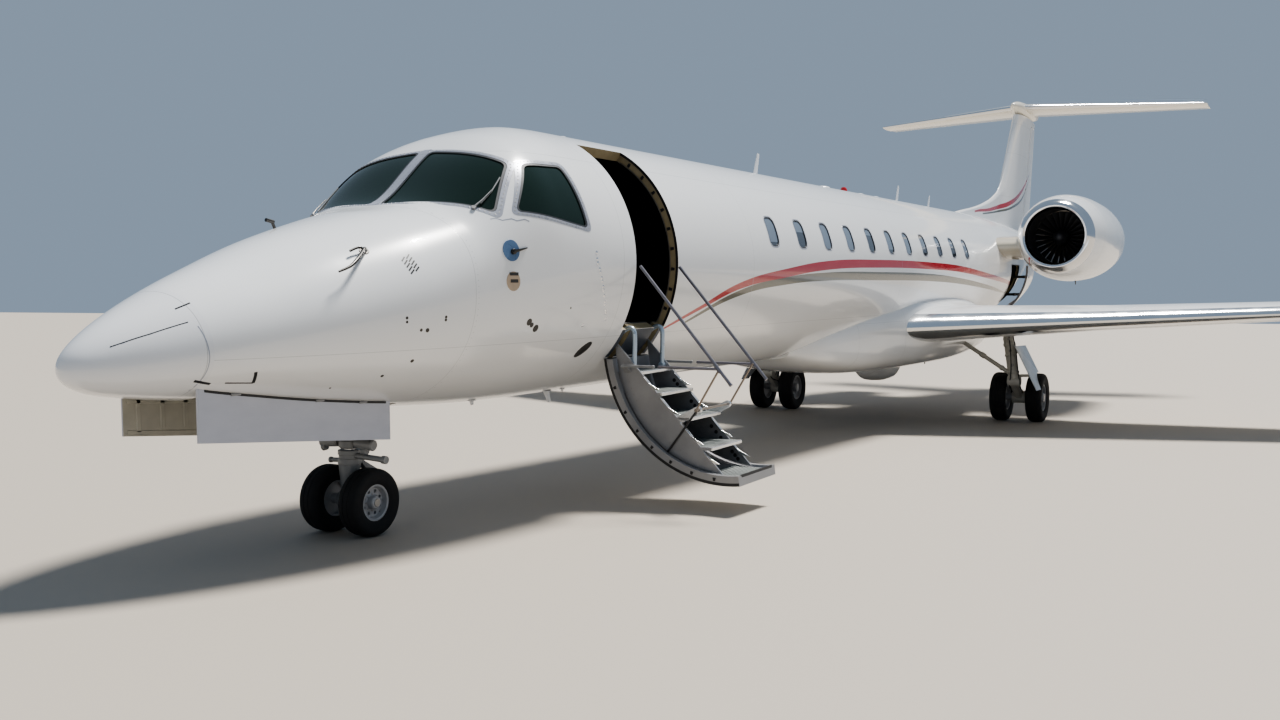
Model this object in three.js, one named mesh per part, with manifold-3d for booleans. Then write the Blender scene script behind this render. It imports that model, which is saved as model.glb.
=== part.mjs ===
// Twin-engined business jet with a T-tail, parked on its gear with the airstair door let down.
// Millimetres, +Z up, the nose towards -Y and the port side towards +X.
// The airframe is drawn level, as (x, station aft of the nose tip, height above the cabin's axis),
// and then turned nose-down to the attitude in which it stands. The gear is drawn from the ground up.
import * as THREE from "three";
import { mergeVertices } from "three/addons/utils/BufferGeometryUtils.js";
import Module from "manifold-3d";

const wasm = await Module();
wasm.setup();
const radians = THREE.MathUtils.degToRad;

// Overall sizes and fits
const CABIN_RADIUS = 1140;
const CABIN_WALL = 85;
const FIT_GAP = 0.4;
const MOVING_GAP = 8;
const NOSE_DOWN = radians(1.697);
const PIVOT_STATION = 8000;
const PIVOT_HEIGHT = 2155;
const ORIGIN_STATION = 13115.8;
const RING_SIDES = 32;

// Fuselage sections: station, half width, top and bottom line, height of the widest point,
// and how square the top half is, 2 being an ellipse
const SECTIONS = [
  { s: 0, width: 0, top: -660, bottom: -660, mid: -660, square: 2 },
  { s: 30, width: 110, top: -575, bottom: -735, mid: -657, square: 2 },
  { s: 150, width: 235, top: -462, bottom: -800, mid: -650, square: 2 },
  { s: 400, width: 395, top: -310, bottom: -848, mid: -620, square: 2 },
  { s: 950, width: 640, top: -60, bottom: -912, mid: -530, square: 2 },
  { s: 1510, width: 815, top: 155, bottom: -985, mid: -430, square: 2 },
  { s: 2100, width: 950, top: 318, bottom: -1050, mid: -320, square: 2.2 },
  { s: 2500, width: 1015, top: 410, bottom: -1085, mid: -240, square: 2.6 },
  { s: 3090, width: 1085, top: 850, bottom: -1120, mid: -130, square: 3.1 },
  { s: 3450, width: 1115, top: 1030, bottom: -1132, mid: -70, square: 2.5 },
  { s: 3900, width: 1136, top: 1125, bottom: -1139, mid: -15, square: 2.1 },
  { s: 4250, width: 1140, top: 1140, bottom: -1140, mid: 0, square: 2 },
  { s: 16300, width: 1140, top: 1140, bottom: -1140, mid: 0, square: 2 },
  { s: 17400, width: 1128, top: 1140, bottom: -1090, mid: 20, square: 2 },
  { s: 19000, width: 1030, top: 1130, bottom: -850, mid: 130, square: 2 },
  { s: 20600, width: 845, top: 1095, bottom: -480, mid: 300, square: 2 },
  { s: 22200, width: 610, top: 1030, bottom: -70, mid: 480, square: 2 },
  { s: 23500, width: 385, top: 955, bottom: 290, mid: 625, square: 2 },
  { s: 24400, width: 205, top: 885, bottom: 500, mid: 695, square: 2 },
];
const SECTION_COLUMNS = ["width", "top", "bottom", "mid", "square"];

// Fuselage shells, each a tube between two joints of the skin
const SHELLS = [
  { name: "radome", from: 0, to: 620, wall: 40 },
  { name: "nose_section", from: 620, to: 2420, wall: 55 },
  { name: "cockpit_section", from: 2420, to: 4180, wall: 70 },
  { name: "forward_cabin", from: 4180, to: 6700, wall: CABIN_WALL },
  { name: "mid_cabin", from: 6700, to: 11516, wall: CABIN_WALL },
  { name: "aft_cabin", from: 11516, to: 16300, wall: CABIN_WALL },
  { name: "baggage_section", from: 16300, to: 19900, wall: 60 },
  { name: "tail_cone", from: 19900, to: 24400, wall: 40 },
];

// Cabin windows, equal on both sides
const WINDOW = { count: 11, first: 7270, pitch: 772, width: 240, height: 325, centre: 357, round: 95 };
const WINDOW_LINING = { from: 6950, to: 15350, low: 130, high: 590, thickness: 12 };

// Airstair doorway and the door that fills it, as angles about the cabin's axis
const DOORWAY = { from: 4370, to: 5100, low: radians(-30), high: radians(61) };
const DOOR_HINGE = { x: 857, h: -660 };
const DOOR_OPEN_ANGLE = radians(143.5);
// The closed door's lower edge follows this radius about the hinge, so that it swings past the sill
const DOOR_NOSE = 164;

// The door's hinge arms swing in slots below the sill
const DOOR_ARM_STATIONS = [4495, 4975];
const DOOR_ARM_SLOT = 90;

// Side webs of the stair and its steps, as they stand with the door down
const STAIR = { lean: radians(7), halfAngle: radians(44), webs: [4455, 5000], webThickness: 15, tread: 28 };
const STEPS = [
  { back: 860, tip: 1117, h: -925 },
  { back: 900, tip: 1330, h: -1095 },
  { back: 1080, tip: 1600, h: -1290 },
  { back: 1300, tip: 1800, h: -1525 },
  { back: 1550, tip: 2060, h: -1770 },
];

// Handrails with the door down: top end at the jamb, knee on the post, lower end, and the post's foot
const RAIL = {
  top: { x: 1165, h: -40 }, knee: { x: 1882, h: -876 }, end: { x: 2000, h: -1005 }, foot: { x: 1669, h: -1222 },
  link: 1335, offset: 343, radius: 14, post: 9, pin: 9,
};

// Baggage doorway, under the port engine's pylon, and how far its door has swung out and aft
const BAGGAGE = { from: 18300, to: 19350, low: -700, high: 150, shift: [70, 1090, 0] };

// Wing stations: distance out, chord and thickness, with the leading edge on one straight line
const WING_EDGE = { s: 11400, sweep: 0.4856, h: -865, rise: 0.04 };
const WING_SECTIONS = [
  { x: 800, chord: 4200, thickness: 560, camber: 30 },
  { x: 3400, chord: 2900, thickness: 350, camber: 30 },
  { x: 10000, chord: 1150, thickness: 122, camber: 12 },
];
const WINGLET_SECTIONS = [
  { x: 10000, rise: 0, edge: 0, chord: 1150, thickness: 122, cant: 0 },
  { x: 10200, rise: 60, edge: 110, chord: 1030, thickness: 104, cant: 35 },
  { x: 10330, rise: 210, edge: 230, chord: 900, thickness: 84, cant: 68 },
  { x: 10566, rise: 1080, edge: 860, chord: 430, thickness: 40, cant: 76 },
];
const FLAP = { from: 1500, to: 6300, chord: 0.25 };
const AILERON = { from: 6420, to: 9750, chord: 0.27 };
const AILERON_SLOT = 38;
const LEG_BAY_ROOF = -800;

// Belly fairing: station, half width, top and bottom of a rounded box
const FAIRING_SECTIONS = [
  { s: 9100, width: 500, top: -880, bottom: -1120 },
  { s: 9700, width: 780, top: -690, bottom: -1270 },
  { s: 10700, width: 960, top: -480, bottom: -1400 },
  { s: 12000, width: 1090, top: -340, bottom: -1455 },
  { s: 13200, width: 1290, top: -330, bottom: -1455 },
  { s: 14800, width: 1290, top: -330, bottom: -1455 },
  { s: 16300, width: 1130, top: -470, bottom: -1370 },
  { s: 17500, width: 780, top: -760, bottom: -1160 },
];

// Fin, rudder and tailplane
const FIN_SECTIONS = [
  { h: 700, edge: 21150, chord: 3600, thickness: 330 },
  { h: 3640, edge: 23330, chord: 2080, thickness: 240 },
];
const DORSAL = [
  [18100, 1130], [18500, 1205], [19200, 1275], [20150, 1400], [21060, 1578], [21700, 1780], [22060, 2030],
  [22350, 2330], [22900, 2330], [22900, 900], [18100, 900],
];
const DORSAL_THICKNESS = 90;
const RUDDER = { low: 1080, high: 3480, chord: 0.32, slot: 62, endGap: 24 };
const TAILPLANE = { h: 3830, root: { edge: 23560, chord: 1930, thickness: 210 }, tip: { x: 3775, edge: 25260, chord: 1070, thickness: 95 } };
const ELEVATOR = { from: 260, to: 3560, chord: 0.32, slot: 38 };
const BULLET = { from: 23050, to: 25650, radius: 165, h: 3800 };

// Engines
const ENGINE = { x: 2060, h: 615, front: 17100 };
const NACELLE_PROFILE = [
  [470, 120], [500, 20], [535, 0], [575, 25], [680, 300], [765, 850], [785, 1500], [770, 2300], [700, 3300], [560, 4200],
  [535, 4200], [650, 3150], [705, 2100], [700, 1150], [480, 850],
];
const DUCT_START = 10;
const FAN = { station: 17780, tip: 462, root: 150, blades: 16, depth: 110 };
const CORE_PROFILE = [[0, 900], [330, 900], [360, 1300], [360, 2700], [300, 3300], [270, 3500], [120, 4000], [0, 4120]];
const CORE_STRUTS = 6;
const PYLON = { from: 17350, to: 20350, thickness: 430, inner: 900, outer: 1700, h: 450 };

// Landing gear, from the ground up; the tyres stand on one flat of their outline
const TYRE_SIDES = 20;
const NACELLE_SIDES = 24;
const NOSE_GEAR = { s: 2240, tyreRadius: 247.5, tyreWidth: 171, rim: 130, spread: 190, axle: 38 };
const MAIN_GEAR = { s: 14670, x: 2050, tyreRadius: 381, tyreWidth: 241, rim: 205, spread: 270, axle: 55 };
const NOSE_DOOR = { x: 335, thickness: 20, from: 610, to: 2240, lowFront: -1116, lowAft: -1284 };

const MATERIALS = {
  white: paint(0xe9eaec, 0.25, 0.1),
  fairing: paint(0xdfe1e4, 0.35, 0),
  glass: paint(0x10161c, 0.05, 0),
  metal: paint(0xb9bcc0, 0.28, 0.9),
  wing: paint(0xc9ccd0, 0.35, 0.3),
  gear: paint(0xc4c8cc, 0.4, 0.4),
  tyre: paint(0x17171a, 0.85, 0),
  dark: paint(0x2a2c30, 0.6, 0.2),
  stair: paint(0x8f9499, 0.45, 0.6),
  cream: paint(0xe2ddcf, 0.35, 0),
  inside: paint(0x6d675f, 0.8, 0),
};

function paint(color, roughness, metalness) {
  return new THREE.MeshStandardMaterial({ color, roughness, metalness });
}

// A three.js geometry with its shared corners merged, before it is moved anywhere
function closed(geometry) {
  const bare = new THREE.BufferGeometry();
  bare.setAttribute("position", geometry.getAttribute("position").clone());
  if (geometry.index) bare.setIndex(geometry.index.clone());
  return mergeVertices(bare, 1e-3);
}

// A closed geometry as a solid, and back
function toSolid(geometry) {
  const vertProperties = new Float32Array(geometry.getAttribute("position").array);
  const corners = geometry.index.array;
  const triVerts = [];
  for (let i = 0; i < corners.length; i += 3) {
    const [a, b, c] = [corners[i], corners[i + 1], corners[i + 2]];
    if (a !== b && b !== c && c !== a) triVerts.push(a, b, c);
  }
  return new wasm.Manifold(new wasm.Mesh({ numProp: 3, vertProperties, triVerts: new Uint32Array(triVerts) }));
}

function toGeometry(solid) {
  const mesh = solid.getMesh();
  const geometry = new THREE.BufferGeometry();
  geometry.setAttribute("position", new THREE.BufferAttribute(new Float32Array(mesh.vertProperties), 3));
  geometry.setIndex(new THREE.BufferAttribute(new Uint32Array(mesh.triVerts), 1));
  return geometry;
}

function mirror(solid) {
  const geometry = toGeometry(solid);
  geometry.scale(-1, 1, 1);
  const index = geometry.index;
  for (let i = 0; i < index.count; i += 3) {
    const second = index.getX(i + 1);
    index.setX(i + 1, index.getX(i + 2));
    index.setX(i + 2, second);
  }
  return toSolid(geometry);
}

function move(solid, matrix) {
  return toSolid(toGeometry(solid).applyMatrix4(matrix));
}

function join(first, ...others) {
  return others.reduce((sum, solid) => sum.add(solid), first);
}

// A closed solid through rings of points that all have the same count; both sides are faceted alike
function loft(rings) {
  const count = rings[0].length;
  const points = rings.flat();
  const faces = [];
  for (let r = 0; r + 1 < rings.length; r++) {
    for (let i = 0; i < count; i++) {
      const a = r * count + i;
      const b = r * count + ((i + 1) % count);
      if (points[a].x + points[b].x >= 0) faces.push([a, b, b + count], [a, b + count, a + count]);
      else faces.push([a, b, a + count], [b, b + count, a + count]);
    }
  }
  const last = (rings.length - 1) * count;
  for (const [a, b, c] of capFaces(rings[0])) faces.push([c, b, a]);
  for (const [a, b, c] of capFaces(rings[rings.length - 1])) faces.push([a + last, b + last, c + last]);
  let volume = 0;
  for (const [a, b, c] of faces) volume += points[a].dot(points[b].clone().cross(points[c]));
  const geometry = new THREE.BufferGeometry().setFromPoints(points);
  geometry.setIndex((volume > 0 ? faces : faces.map(([a, b, c]) => [c, b, a])).flat());
  return toSolid(closed(geometry));
}

// Triangles over a flat ring, wound the way the ring runs
function capFaces(ring) {
  const normal = new THREE.Vector3();
  ring.forEach((point, i) => normal.add(point.clone().cross(ring[(i + 1) % ring.length])));
  if (normal.length() < 1) return [];
  normal.normalize();
  const across = new THREE.Vector3().subVectors(ring[1], ring[0]).normalize();
  const up = new THREE.Vector3().crossVectors(normal, across);
  const flat = ring.map((point) => new THREE.Vector2(point.dot(across), point.dot(up)));
  return THREE.ShapeUtils.triangulateShape(flat, []);
}

// Solids from three.js shapes
function box(x0, x1, y0, y1, z0, z1) {
  const geometry = closed(new THREE.BoxGeometry(x1 - x0, y1 - y0, z1 - z0));
  geometry.translate((x0 + x1) / 2, (y0 + y1) / 2, (z0 + z1) / 2);
  return toSolid(geometry);
}

// A rounded outline, flat in its own plane, from its corners
function rounded(corners, radius) {
  const shape = new THREE.Shape();
  corners.forEach((corner, i) => {
    const before = corners[(i + corners.length - 1) % corners.length];
    const after = corners[(i + 1) % corners.length];
    const start = corner.clone().add(before.clone().sub(corner).setLength(radius));
    const end = corner.clone().add(after.clone().sub(corner).setLength(radius));
    if (i === 0) shape.moveTo(start.x, start.y);
    else shape.lineTo(start.x, start.y);
    shape.quadraticCurveTo(corner.x, corner.y, end.x, end.y);
  });
  shape.closePath();
  return shape;
}

function extrude(shape, depth, curveSegments = 1) {
  return closed(new THREE.ExtrudeGeometry(shape, { depth, bevelEnabled: false, curveSegments }));
}

// A prism through four or more points in space, along the outline's own normal
function prismOn(corners, radius, inward, outward, shrink = 0) {
  const centre = corners.reduce((sum, point) => sum.add(point), new THREE.Vector3()).divideScalar(corners.length);
  const normal = new THREE.Vector3();
  corners.forEach((point, i) => normal.add(point.clone().cross(corners[(i + 1) % corners.length])));
  normal.normalize();
  const across = corners[1].clone().sub(corners[0]).projectOnPlane(normal).normalize();
  const up = new THREE.Vector3().crossVectors(normal, across);
  const flat = corners.map((point) => {
    const arm = point.clone().sub(centre);
    arm.setLength(arm.length() - shrink);
    return new THREE.Vector2(arm.dot(across), arm.dot(up));
  });
  const geometry = extrude(rounded(flat, radius), inward + outward);
  geometry.translate(0, 0, -inward);
  const frame = new THREE.Matrix4().makeBasis(across, up, normal).setPosition(centre);
  return toSolid(geometry.applyMatrix4(frame));
}

// A prism with an outline in (station, height), running across the aircraft from x0 to x1
const SIDE_VIEW = new THREE.Matrix4().makeBasis(
  new THREE.Vector3(0, 1, 0), new THREE.Vector3(0, 0, 1), new THREE.Vector3(1, 0, 0));

function sidePrism(outline, x0, x1) {
  const shape = outline instanceof THREE.Shape ? outline : new THREE.Shape(outline.map(([s, h]) => new THREE.Vector2(s, h)));
  const geometry = extrude(shape, x1 - x0);
  geometry.translate(0, 0, x0);
  return toSolid(geometry.applyMatrix4(SIDE_VIEW));
}

// A ring sector about the cabin's axis, between two radii, two angles and two stations
function sector(inner, outer, low, high, from, to, segments = 12) {
  const shape = new THREE.Shape();
  shape.absarc(0, 0, outer, low, high, false);
  shape.absarc(0, 0, inner, high, low, true);
  shape.closePath();
  const geometry = extrude(shape, to - from, segments);
  geometry.applyMatrix4(new THREE.Matrix4().makeRotationX(Math.PI / 2));
  geometry.translate(0, to, 0);
  return toSolid(geometry);
}

function tube(from, to, radius, sides = 10) {
  const [start, end] = [new THREE.Vector3(...from), new THREE.Vector3(...to)];
  const geometry = closed(new THREE.CylinderGeometry(radius, radius, start.distanceTo(end), sides));
  const turn = new THREE.Quaternion().setFromUnitVectors(new THREE.Vector3(0, 1, 0), end.clone().sub(start).normalize());
  geometry.applyQuaternion(turn);
  geometry.translate(...start.add(end).multiplyScalar(0.5).toArray());
  return toSolid(geometry);
}

// A bar of rectangular section between two points, its width along the given direction
function bar(from, to, width, depth, widthAlong = new THREE.Vector3(1, 0, 0)) {
  const [start, end] = [new THREE.Vector3(...from), new THREE.Vector3(...to)];
  const along = end.clone().sub(start);
  const geometry = closed(new THREE.BoxGeometry(width, along.length(), depth));
  along.normalize();
  const side = widthAlong.clone().projectOnPlane(along).normalize();
  const frame = new THREE.Matrix4().makeBasis(side, along, new THREE.Vector3().crossVectors(side, along));
  frame.setPosition(start.add(end).multiplyScalar(0.5));
  return toSolid(geometry.applyMatrix4(frame));
}

// A turned solid from (radius, distance) pairs; "y" turns it about the aircraft's length, "x" about an axle
function turned(profile, centre, about, sides, phase = 0) {
  const geometry = closed(new THREE.LatheGeometry(profile.map(([r, d]) => new THREE.Vector2(r, d)), sides));
  geometry.rotateY(phase);
  if (about === "x") geometry.rotateZ(-Math.PI / 2);
  geometry.translate(...centre);
  const solid = toSolid(geometry);
  return solid.volume() > 0 ? solid : toSolid(flipped(geometry));
}

function flipped(geometry) {
  const index = Array.from(geometry.index.array);
  for (let i = 0; i < index.length; i += 3) [index[i + 1], index[i + 2]] = [index[i + 2], index[i + 1]];
  const turnedOut = geometry.clone();
  turnedOut.setIndex(index);
  return turnedOut;
}

// The fuselage skin at any station: a monotone cubic through the table, in the square root of the station
const SECTION_SLOPES = Object.fromEntries(SECTION_COLUMNS.map((column) => [column, monotoneSlopes(column)]));

function monotoneSlopes(column) {
  const at = SECTIONS.map((row) => Math.sqrt(row.s));
  const rise = [];
  for (let i = 0; i + 1 < SECTIONS.length; i++) {
    rise.push((SECTIONS[i + 1][column] - SECTIONS[i][column]) / (at[i + 1] - at[i]));
  }
  const slopes = [rise[0]];
  for (let i = 1; i < rise.length; i++) {
    const opposed = rise[i - 1] * rise[i] <= 0;
    slopes.push(opposed ? 0 : (2 * rise[i - 1] * rise[i]) / (rise[i - 1] + rise[i]));
  }
  slopes.push(rise[rise.length - 1]);
  return slopes;
}

function section(s) {
  const last = SECTIONS.length - 2;
  let i = 0;
  while (i < last && SECTIONS[i + 1].s < s) i++;
  const [a, b] = [SECTIONS[i], SECTIONS[i + 1]];
  const span = Math.sqrt(b.s) - Math.sqrt(a.s);
  const t = THREE.MathUtils.clamp((Math.sqrt(Math.max(s, 0)) - Math.sqrt(a.s)) / span, 0, 1);
  const row = {};
  for (const column of SECTION_COLUMNS) {
    const slope = SECTION_SLOPES[column];
    row[column] = (1 + 2 * t) * (1 - t) ** 2 * a[column] + t * (1 - t) ** 2 * span * slope[i]
      + t * t * (3 - 2 * t) * b[column] + t * t * (t - 1) * span * slope[i + 1];
  }
  return row;
}

// One ring of the skin, drawn in from the outside by the inset
function skinRing(s, inset) {
  const row = section(s);
  const ring = [];
  for (let i = 0; i < RING_SIDES; i++) {
    const angle = (i / RING_SIDES) * 2 * Math.PI;
    const [c, v] = [Math.cos(angle), Math.sin(angle)];
    const power = 2 / (v > 0 ? row.square : 2);
    const reach = v > 0 ? row.top - inset - row.mid : row.mid - row.bottom - inset;
    const x = (row.width - inset) * Math.sign(c) * Math.abs(c) ** power;
    ring.push(new THREE.Vector3(x, s, row.mid + reach * Math.sign(v) * Math.abs(v) ** power));
  }
  return ring;
}

// The stations that the skin is faceted at, closer together on the nose
const SKIN_STATIONS = [
  0, 15, 80, 200, 400, 620, 950, 1400, 1900, 2420, 2760, 3090, 3450, 3900, 4250,
  16300, 17400, 18500, 19900, 21200, 22600, 23600, 24400];

function hull(from, to, inset = 0) {
  const between = SKIN_STATIONS.filter((s) => s > from + 1 && s < to - 1);
  return loft([from, ...between, to].map((s) => skinRing(s, inset)));
}

// Aerofoil section as (fraction of chord, share of thickness) pairs, from the tail over the top and back
const FOIL_STEPS = [1, 0.75, 0.5, 0.3, 0.15, 0.06, 0.015];
const FOIL_TAIL = 0.02;

function foilThickness(u) {
  const shape = 1.4845 * Math.sqrt(u) - 0.63 * u - 1.758 * u ** 2 + 1.4215 * u ** 3 - 0.5075 * u ** 4;
  return Math.max(shape, FOIL_TAIL * u);
}

// The ring's points: chord along +Y from the edge, thickness along the canted direction
function foilRing({ x, edge, h, chord, thickness, camber = 0, cant = 0 }) {
  const lean = radians(cant);
  const place = (u, side) => {
    const bow = camber * 4 * u * (1 - u);
    const offset = bow + side * thickness * foilThickness(u);
    return new THREE.Vector3(x - offset * Math.sin(lean), edge + u * chord, h + offset * Math.cos(lean));
  };
  const top = FOIL_STEPS.map((u) => place(u, 1));
  const under = [...FOIL_STEPS].reverse().map((u) => place(u, -1));
  return [...top, place(0, 0), ...under];
}

// Scene graph: the airframe turned nose-down, and the gear on the ground
const group = new THREE.Group();
const attitude = new THREE.Group();
attitude.rotation.x = NOSE_DOWN;
attitude.position.set(0, PIVOT_STATION - ORIGIN_STATION, PIVOT_HEIGHT);
const airframe = new THREE.Group();
airframe.position.y = -PIVOT_STATION;
const ground = new THREE.Group();
ground.position.y = -ORIGIN_STATION;
attitude.add(airframe);
group.add(attitude, ground);

function part(name, solid, material, parent = airframe) {
  const mesh = new THREE.Mesh(toGeometry(solid), material);
  mesh.name = name;
  parent.add(mesh);
  return mesh;
}

// The same solid on both sides, drawn to port
function pair(name, solid, material, parent = airframe) {
  part(`${name}_port`, solid, material, parent);
  part(`${name}_starboard`, mirror(solid), material, parent);
}

// Fuselage shells
function shell({ from, to, wall }) {
  const nose = from === 0;
  const outer = hull(from + (nose ? 0 : FIT_GAP / 2), to - FIT_GAP / 2);
  const inner = hull(nose ? 90 : from - 5, Math.min(to + 5, 24405), wall);
  return outer.subtract(inner);
}

function cabinWindow(i, side, shrink) {
  const s = WINDOW.first + i * WINDOW.pitch;
  const angle = Math.asin(WINDOW.centre / CABIN_RADIUS);
  const centre = new THREE.Vector3(Math.cos(angle), 0, Math.sin(angle)).multiplyScalar(CABIN_RADIUS).setY(s);
  const up = new THREE.Vector3(-Math.sin(angle), 0, Math.cos(angle)).multiplyScalar(WINDOW.height / 2);
  const aft = new THREE.Vector3(0, WINDOW.width / 2, 0);
  const corners = [[-1, -1], [1, -1], [1, 1], [-1, 1]].map(([a, u]) =>
    centre.clone().addScaledVector(aft, a).addScaledVector(up, u));
  const solid = prismOn(corners, WINDOW.round, CABIN_WALL + 40, 30, shrink);
  return side > 0 ? solid : mirror(solid);
}

// Cockpit glass: corners on the skin, of the port windshield pane and side window
const WINDSHIELD = [[45, 2500, 395], [930, 2740, 330], [800, 3060, 745], [45, 3095, 835]];
const SIDE_WINDOW = [[1000, 2900, 340], [1085, 3700, 235], [880, 3640, 735], [860, 3170, 720]];
const GLASS_SHRINK = 3;

function glassCut(points, shrink) {
  return prismOn(points.map((point) => new THREE.Vector3(...point)), 60, 330, 260, shrink);
}

function glassPane(points) {
  const pane = hull(2300, 4200, 14).subtract(hull(2290, 4210, 40));
  return pane.intersect(glassCut(points, GLASS_SHRINK));
}

// Nose gear well, a closed box open below
const WELL = { half: 290, from: 700, to: 2380, roof: -400, wall: 30 };

function noseWell(grown) {
  return box(-WELL.half - grown, WELL.half + grown, WELL.from - grown, WELL.to + grown, -1300, WELL.roof + grown);
}

function makeFuselage() {
  const shells = Object.fromEntries(SHELLS.map((row) => [row.name, shell(row)]));
  const noseSkin = hull(SHELLS[1].from + FIT_GAP / 2, SHELLS[1].to - FIT_GAP / 2);
  shells.nose_section = shells.nose_section.add(noseWell(WELL.wall).intersect(noseSkin)).subtract(noseWell(0));
  for (const points of [WINDSHIELD, SIDE_WINDOW]) {
    const cut = glassCut(points, 0);
    shells.cockpit_section = shells.cockpit_section.subtract(cut).subtract(mirror(cut));
  }
  const { from, to, low, high } = DOORWAY;
  shells.forward_cabin = shells.forward_cabin.subtract(sector(900, 1250, low, high, from, to));
  for (const s of DOOR_ARM_STATIONS) {
    shells.forward_cabin = shells.forward_cabin.subtract(
      sector(1020, 1250, radians(-47), low + 0.02, s - DOOR_ARM_SLOT / 2, s + DOOR_ARM_SLOT / 2, 4));
  }
  for (let i = 0; i < WINDOW.count; i++) {
    const name = WINDOW.first + i * WINDOW.pitch < SHELLS[4].to ? "mid_cabin" : "aft_cabin";
    for (const side of [1, -1]) shells[name] = shells[name].subtract(cabinWindow(i, side, 0));
  }
  const hatch = rounded([
    new THREE.Vector2(BAGGAGE.from, BAGGAGE.low), new THREE.Vector2(BAGGAGE.to, BAGGAGE.low),
    new THREE.Vector2(BAGGAGE.to, BAGGAGE.high), new THREE.Vector2(BAGGAGE.from, BAGGAGE.high)], 90);
  shells.baggage_section = shells.baggage_section.subtract(sidePrism(hatch, 300, 1300));
  for (const { name } of SHELLS) part(name, shells[name], MATERIALS.white);
  pair("windshield", glassPane(WINDSHIELD), MATERIALS.glass);
  pair("cockpit_window", glassPane(SIDE_WINDOW), MATERIALS.glass);
  pair("cabin_windows", windowStrip(), MATERIALS.glass);
}

// The lining that carries one side's window panes
function windowStrip() {
  const { from, to, low, high, thickness } = WINDOW_LINING;
  const inside = CABIN_WALL + FIT_GAP;
  let strip = hull(from, to, inside).subtract(hull(from - 5, to + 5, inside + thickness));
  strip = strip.intersect(box(500, 1200, from, to, low, high));
  const wall = hull(from, to, 15).subtract(hull(from - 5, to + 5, inside + 2));
  for (let i = 0; i < WINDOW.count; i++) strip = strip.add(wall.intersect(cabinWindow(i, 1, GLASS_SHRINK)));
  return strip;
}

// Cabin floor, cut back at the doorway so that the closed door's steps clear it
const FLOOR = { from: 2900, to: 16200, top: -575, thickness: 50, doorEdge: 480 };

function makeInterior() {
  const inside = hull(FLOOR.from - 50, FLOOR.to + 50, CABIN_WALL + FIT_GAP);
  const slab = box(-1100, 1100, FLOOR.from, FLOOR.to, FLOOR.top - FLOOR.thickness, FLOOR.top);
  const notch = box(FLOOR.doorEdge, 1200, DOORWAY.from - 60, DOORWAY.to + 60, -700, -500);
  part("cabin_floor", slab.intersect(inside).subtract(notch), MATERIALS.inside);
  const cockpitInside = hull(2430, 4170, CABIN_WALL + 20);
  const panel = sidePrism([[2560, -300], [2560, 330], [3050, 300], [3120, 180], [2960, -300]], -800, 800);
  const pedestal = box(-180, 180, 2700, 3650, FLOOR.top + FIT_GAP, -100);
  const shelf = box(-700, 700, 2600, 2880, -900, -250);
  part("instrument_panel", join(panel, pedestal, shelf).intersect(cockpitInside), MATERIALS.dark);
  let seats = box(-500, 500, 3690, 3740, FLOOR.top + FIT_GAP, FLOOR.top + 60);
  for (const x of [480, -480]) {
    seats = join(seats,
      box(x - 140, x + 140, 3600, 3700, FLOOR.top + FIT_GAP, FLOOR.top + 60),
      box(x - 140, x + 140, 3250, 3600, FLOOR.top + FIT_GAP, -330),
      box(x - 230, x + 230, 3150, 3680, -340, -190),
      sidePrism([[3560, -230], [3700, -230], [3860, 380], [3760, 380]], x - 225, x + 225),
      sidePrism([[3770, 370], [3840, 370], [3880, 560], [3810, 560]], x - 130, x + 130));
  }
  part("pilot_seats", seats, MATERIALS.inside);
  const cabinet = box(-1000, -420, 4300, 5250, FLOOR.top + FIT_GAP, 700).intersect(hull(4200, 5300, CABIN_WALL + 3));
  part("entry_cabinet", cabinet, MATERIALS.inside);
}

// Wing, its tip, flap and aileron, drawn to port
function wingEdge(x) {
  return { edge: WING_EDGE.s + WING_EDGE.sweep * x, h: WING_EDGE.h + WING_EDGE.rise * x };
}

function wingSection(x) {
  const outer = WING_SECTIONS.findIndex((row) => row.x >= x);
  const [a, b] = [WING_SECTIONS[Math.max(outer - 1, 0)], WING_SECTIONS[Math.max(outer, 1)]];
  const t = (x - a.x) / (b.x - a.x);
  const mix = (key) => THREE.MathUtils.lerp(a[key], b[key], t);
  return { x, ...wingEdge(x), chord: mix("chord"), thickness: mix("thickness"), camber: mix("camber") };
}

// A block behind a hinge line at a share of the chord, for cutting a moving surface out of the wing
function wingBlock(from, to, share, ahead) {
  const corner = (x, back) => {
    const row = wingSection(x);
    return back ? row.edge + row.chord + 60 : row.edge + row.chord * (1 - share) - ahead;
  };
  const ring = (x) => [[corner(x, false), -1500], [corner(x, true), -1500], [corner(x, true), 200], [corner(x, false), 200]]
    .map(([s, h]) => new THREE.Vector3(x, s, h));
  const middle = from < 3400 && to > 3400 ? [ring(3400)] : [];
  return loft([ring(from), ...middle, ring(to)]);
}

function fairingSolid(grown) {
  return loft(FAIRING_SECTIONS.map((row, i) => {
    const end = i === 0 ? -grown : grown;
    const [middle, reach] = [(row.top + row.bottom) / 2, (row.top - row.bottom) / 2 + grown];
    const ring = [];
    for (let k = 0; k < 24; k++) {
      const angle = (k / 24) * 2 * Math.PI;
      const [c, v] = [Math.cos(angle), Math.sin(angle)];
      const power = 2 / 3.2;
      ring.push(new THREE.Vector3((row.width + grown) * Math.sign(c) * Math.abs(c) ** power,
        row.s + (i === 0 || i === FAIRING_SECTIONS.length - 1 ? end : 0), middle + reach * Math.sign(v) * Math.abs(v) ** power));
    }
    return ring;
  }));
}

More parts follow.
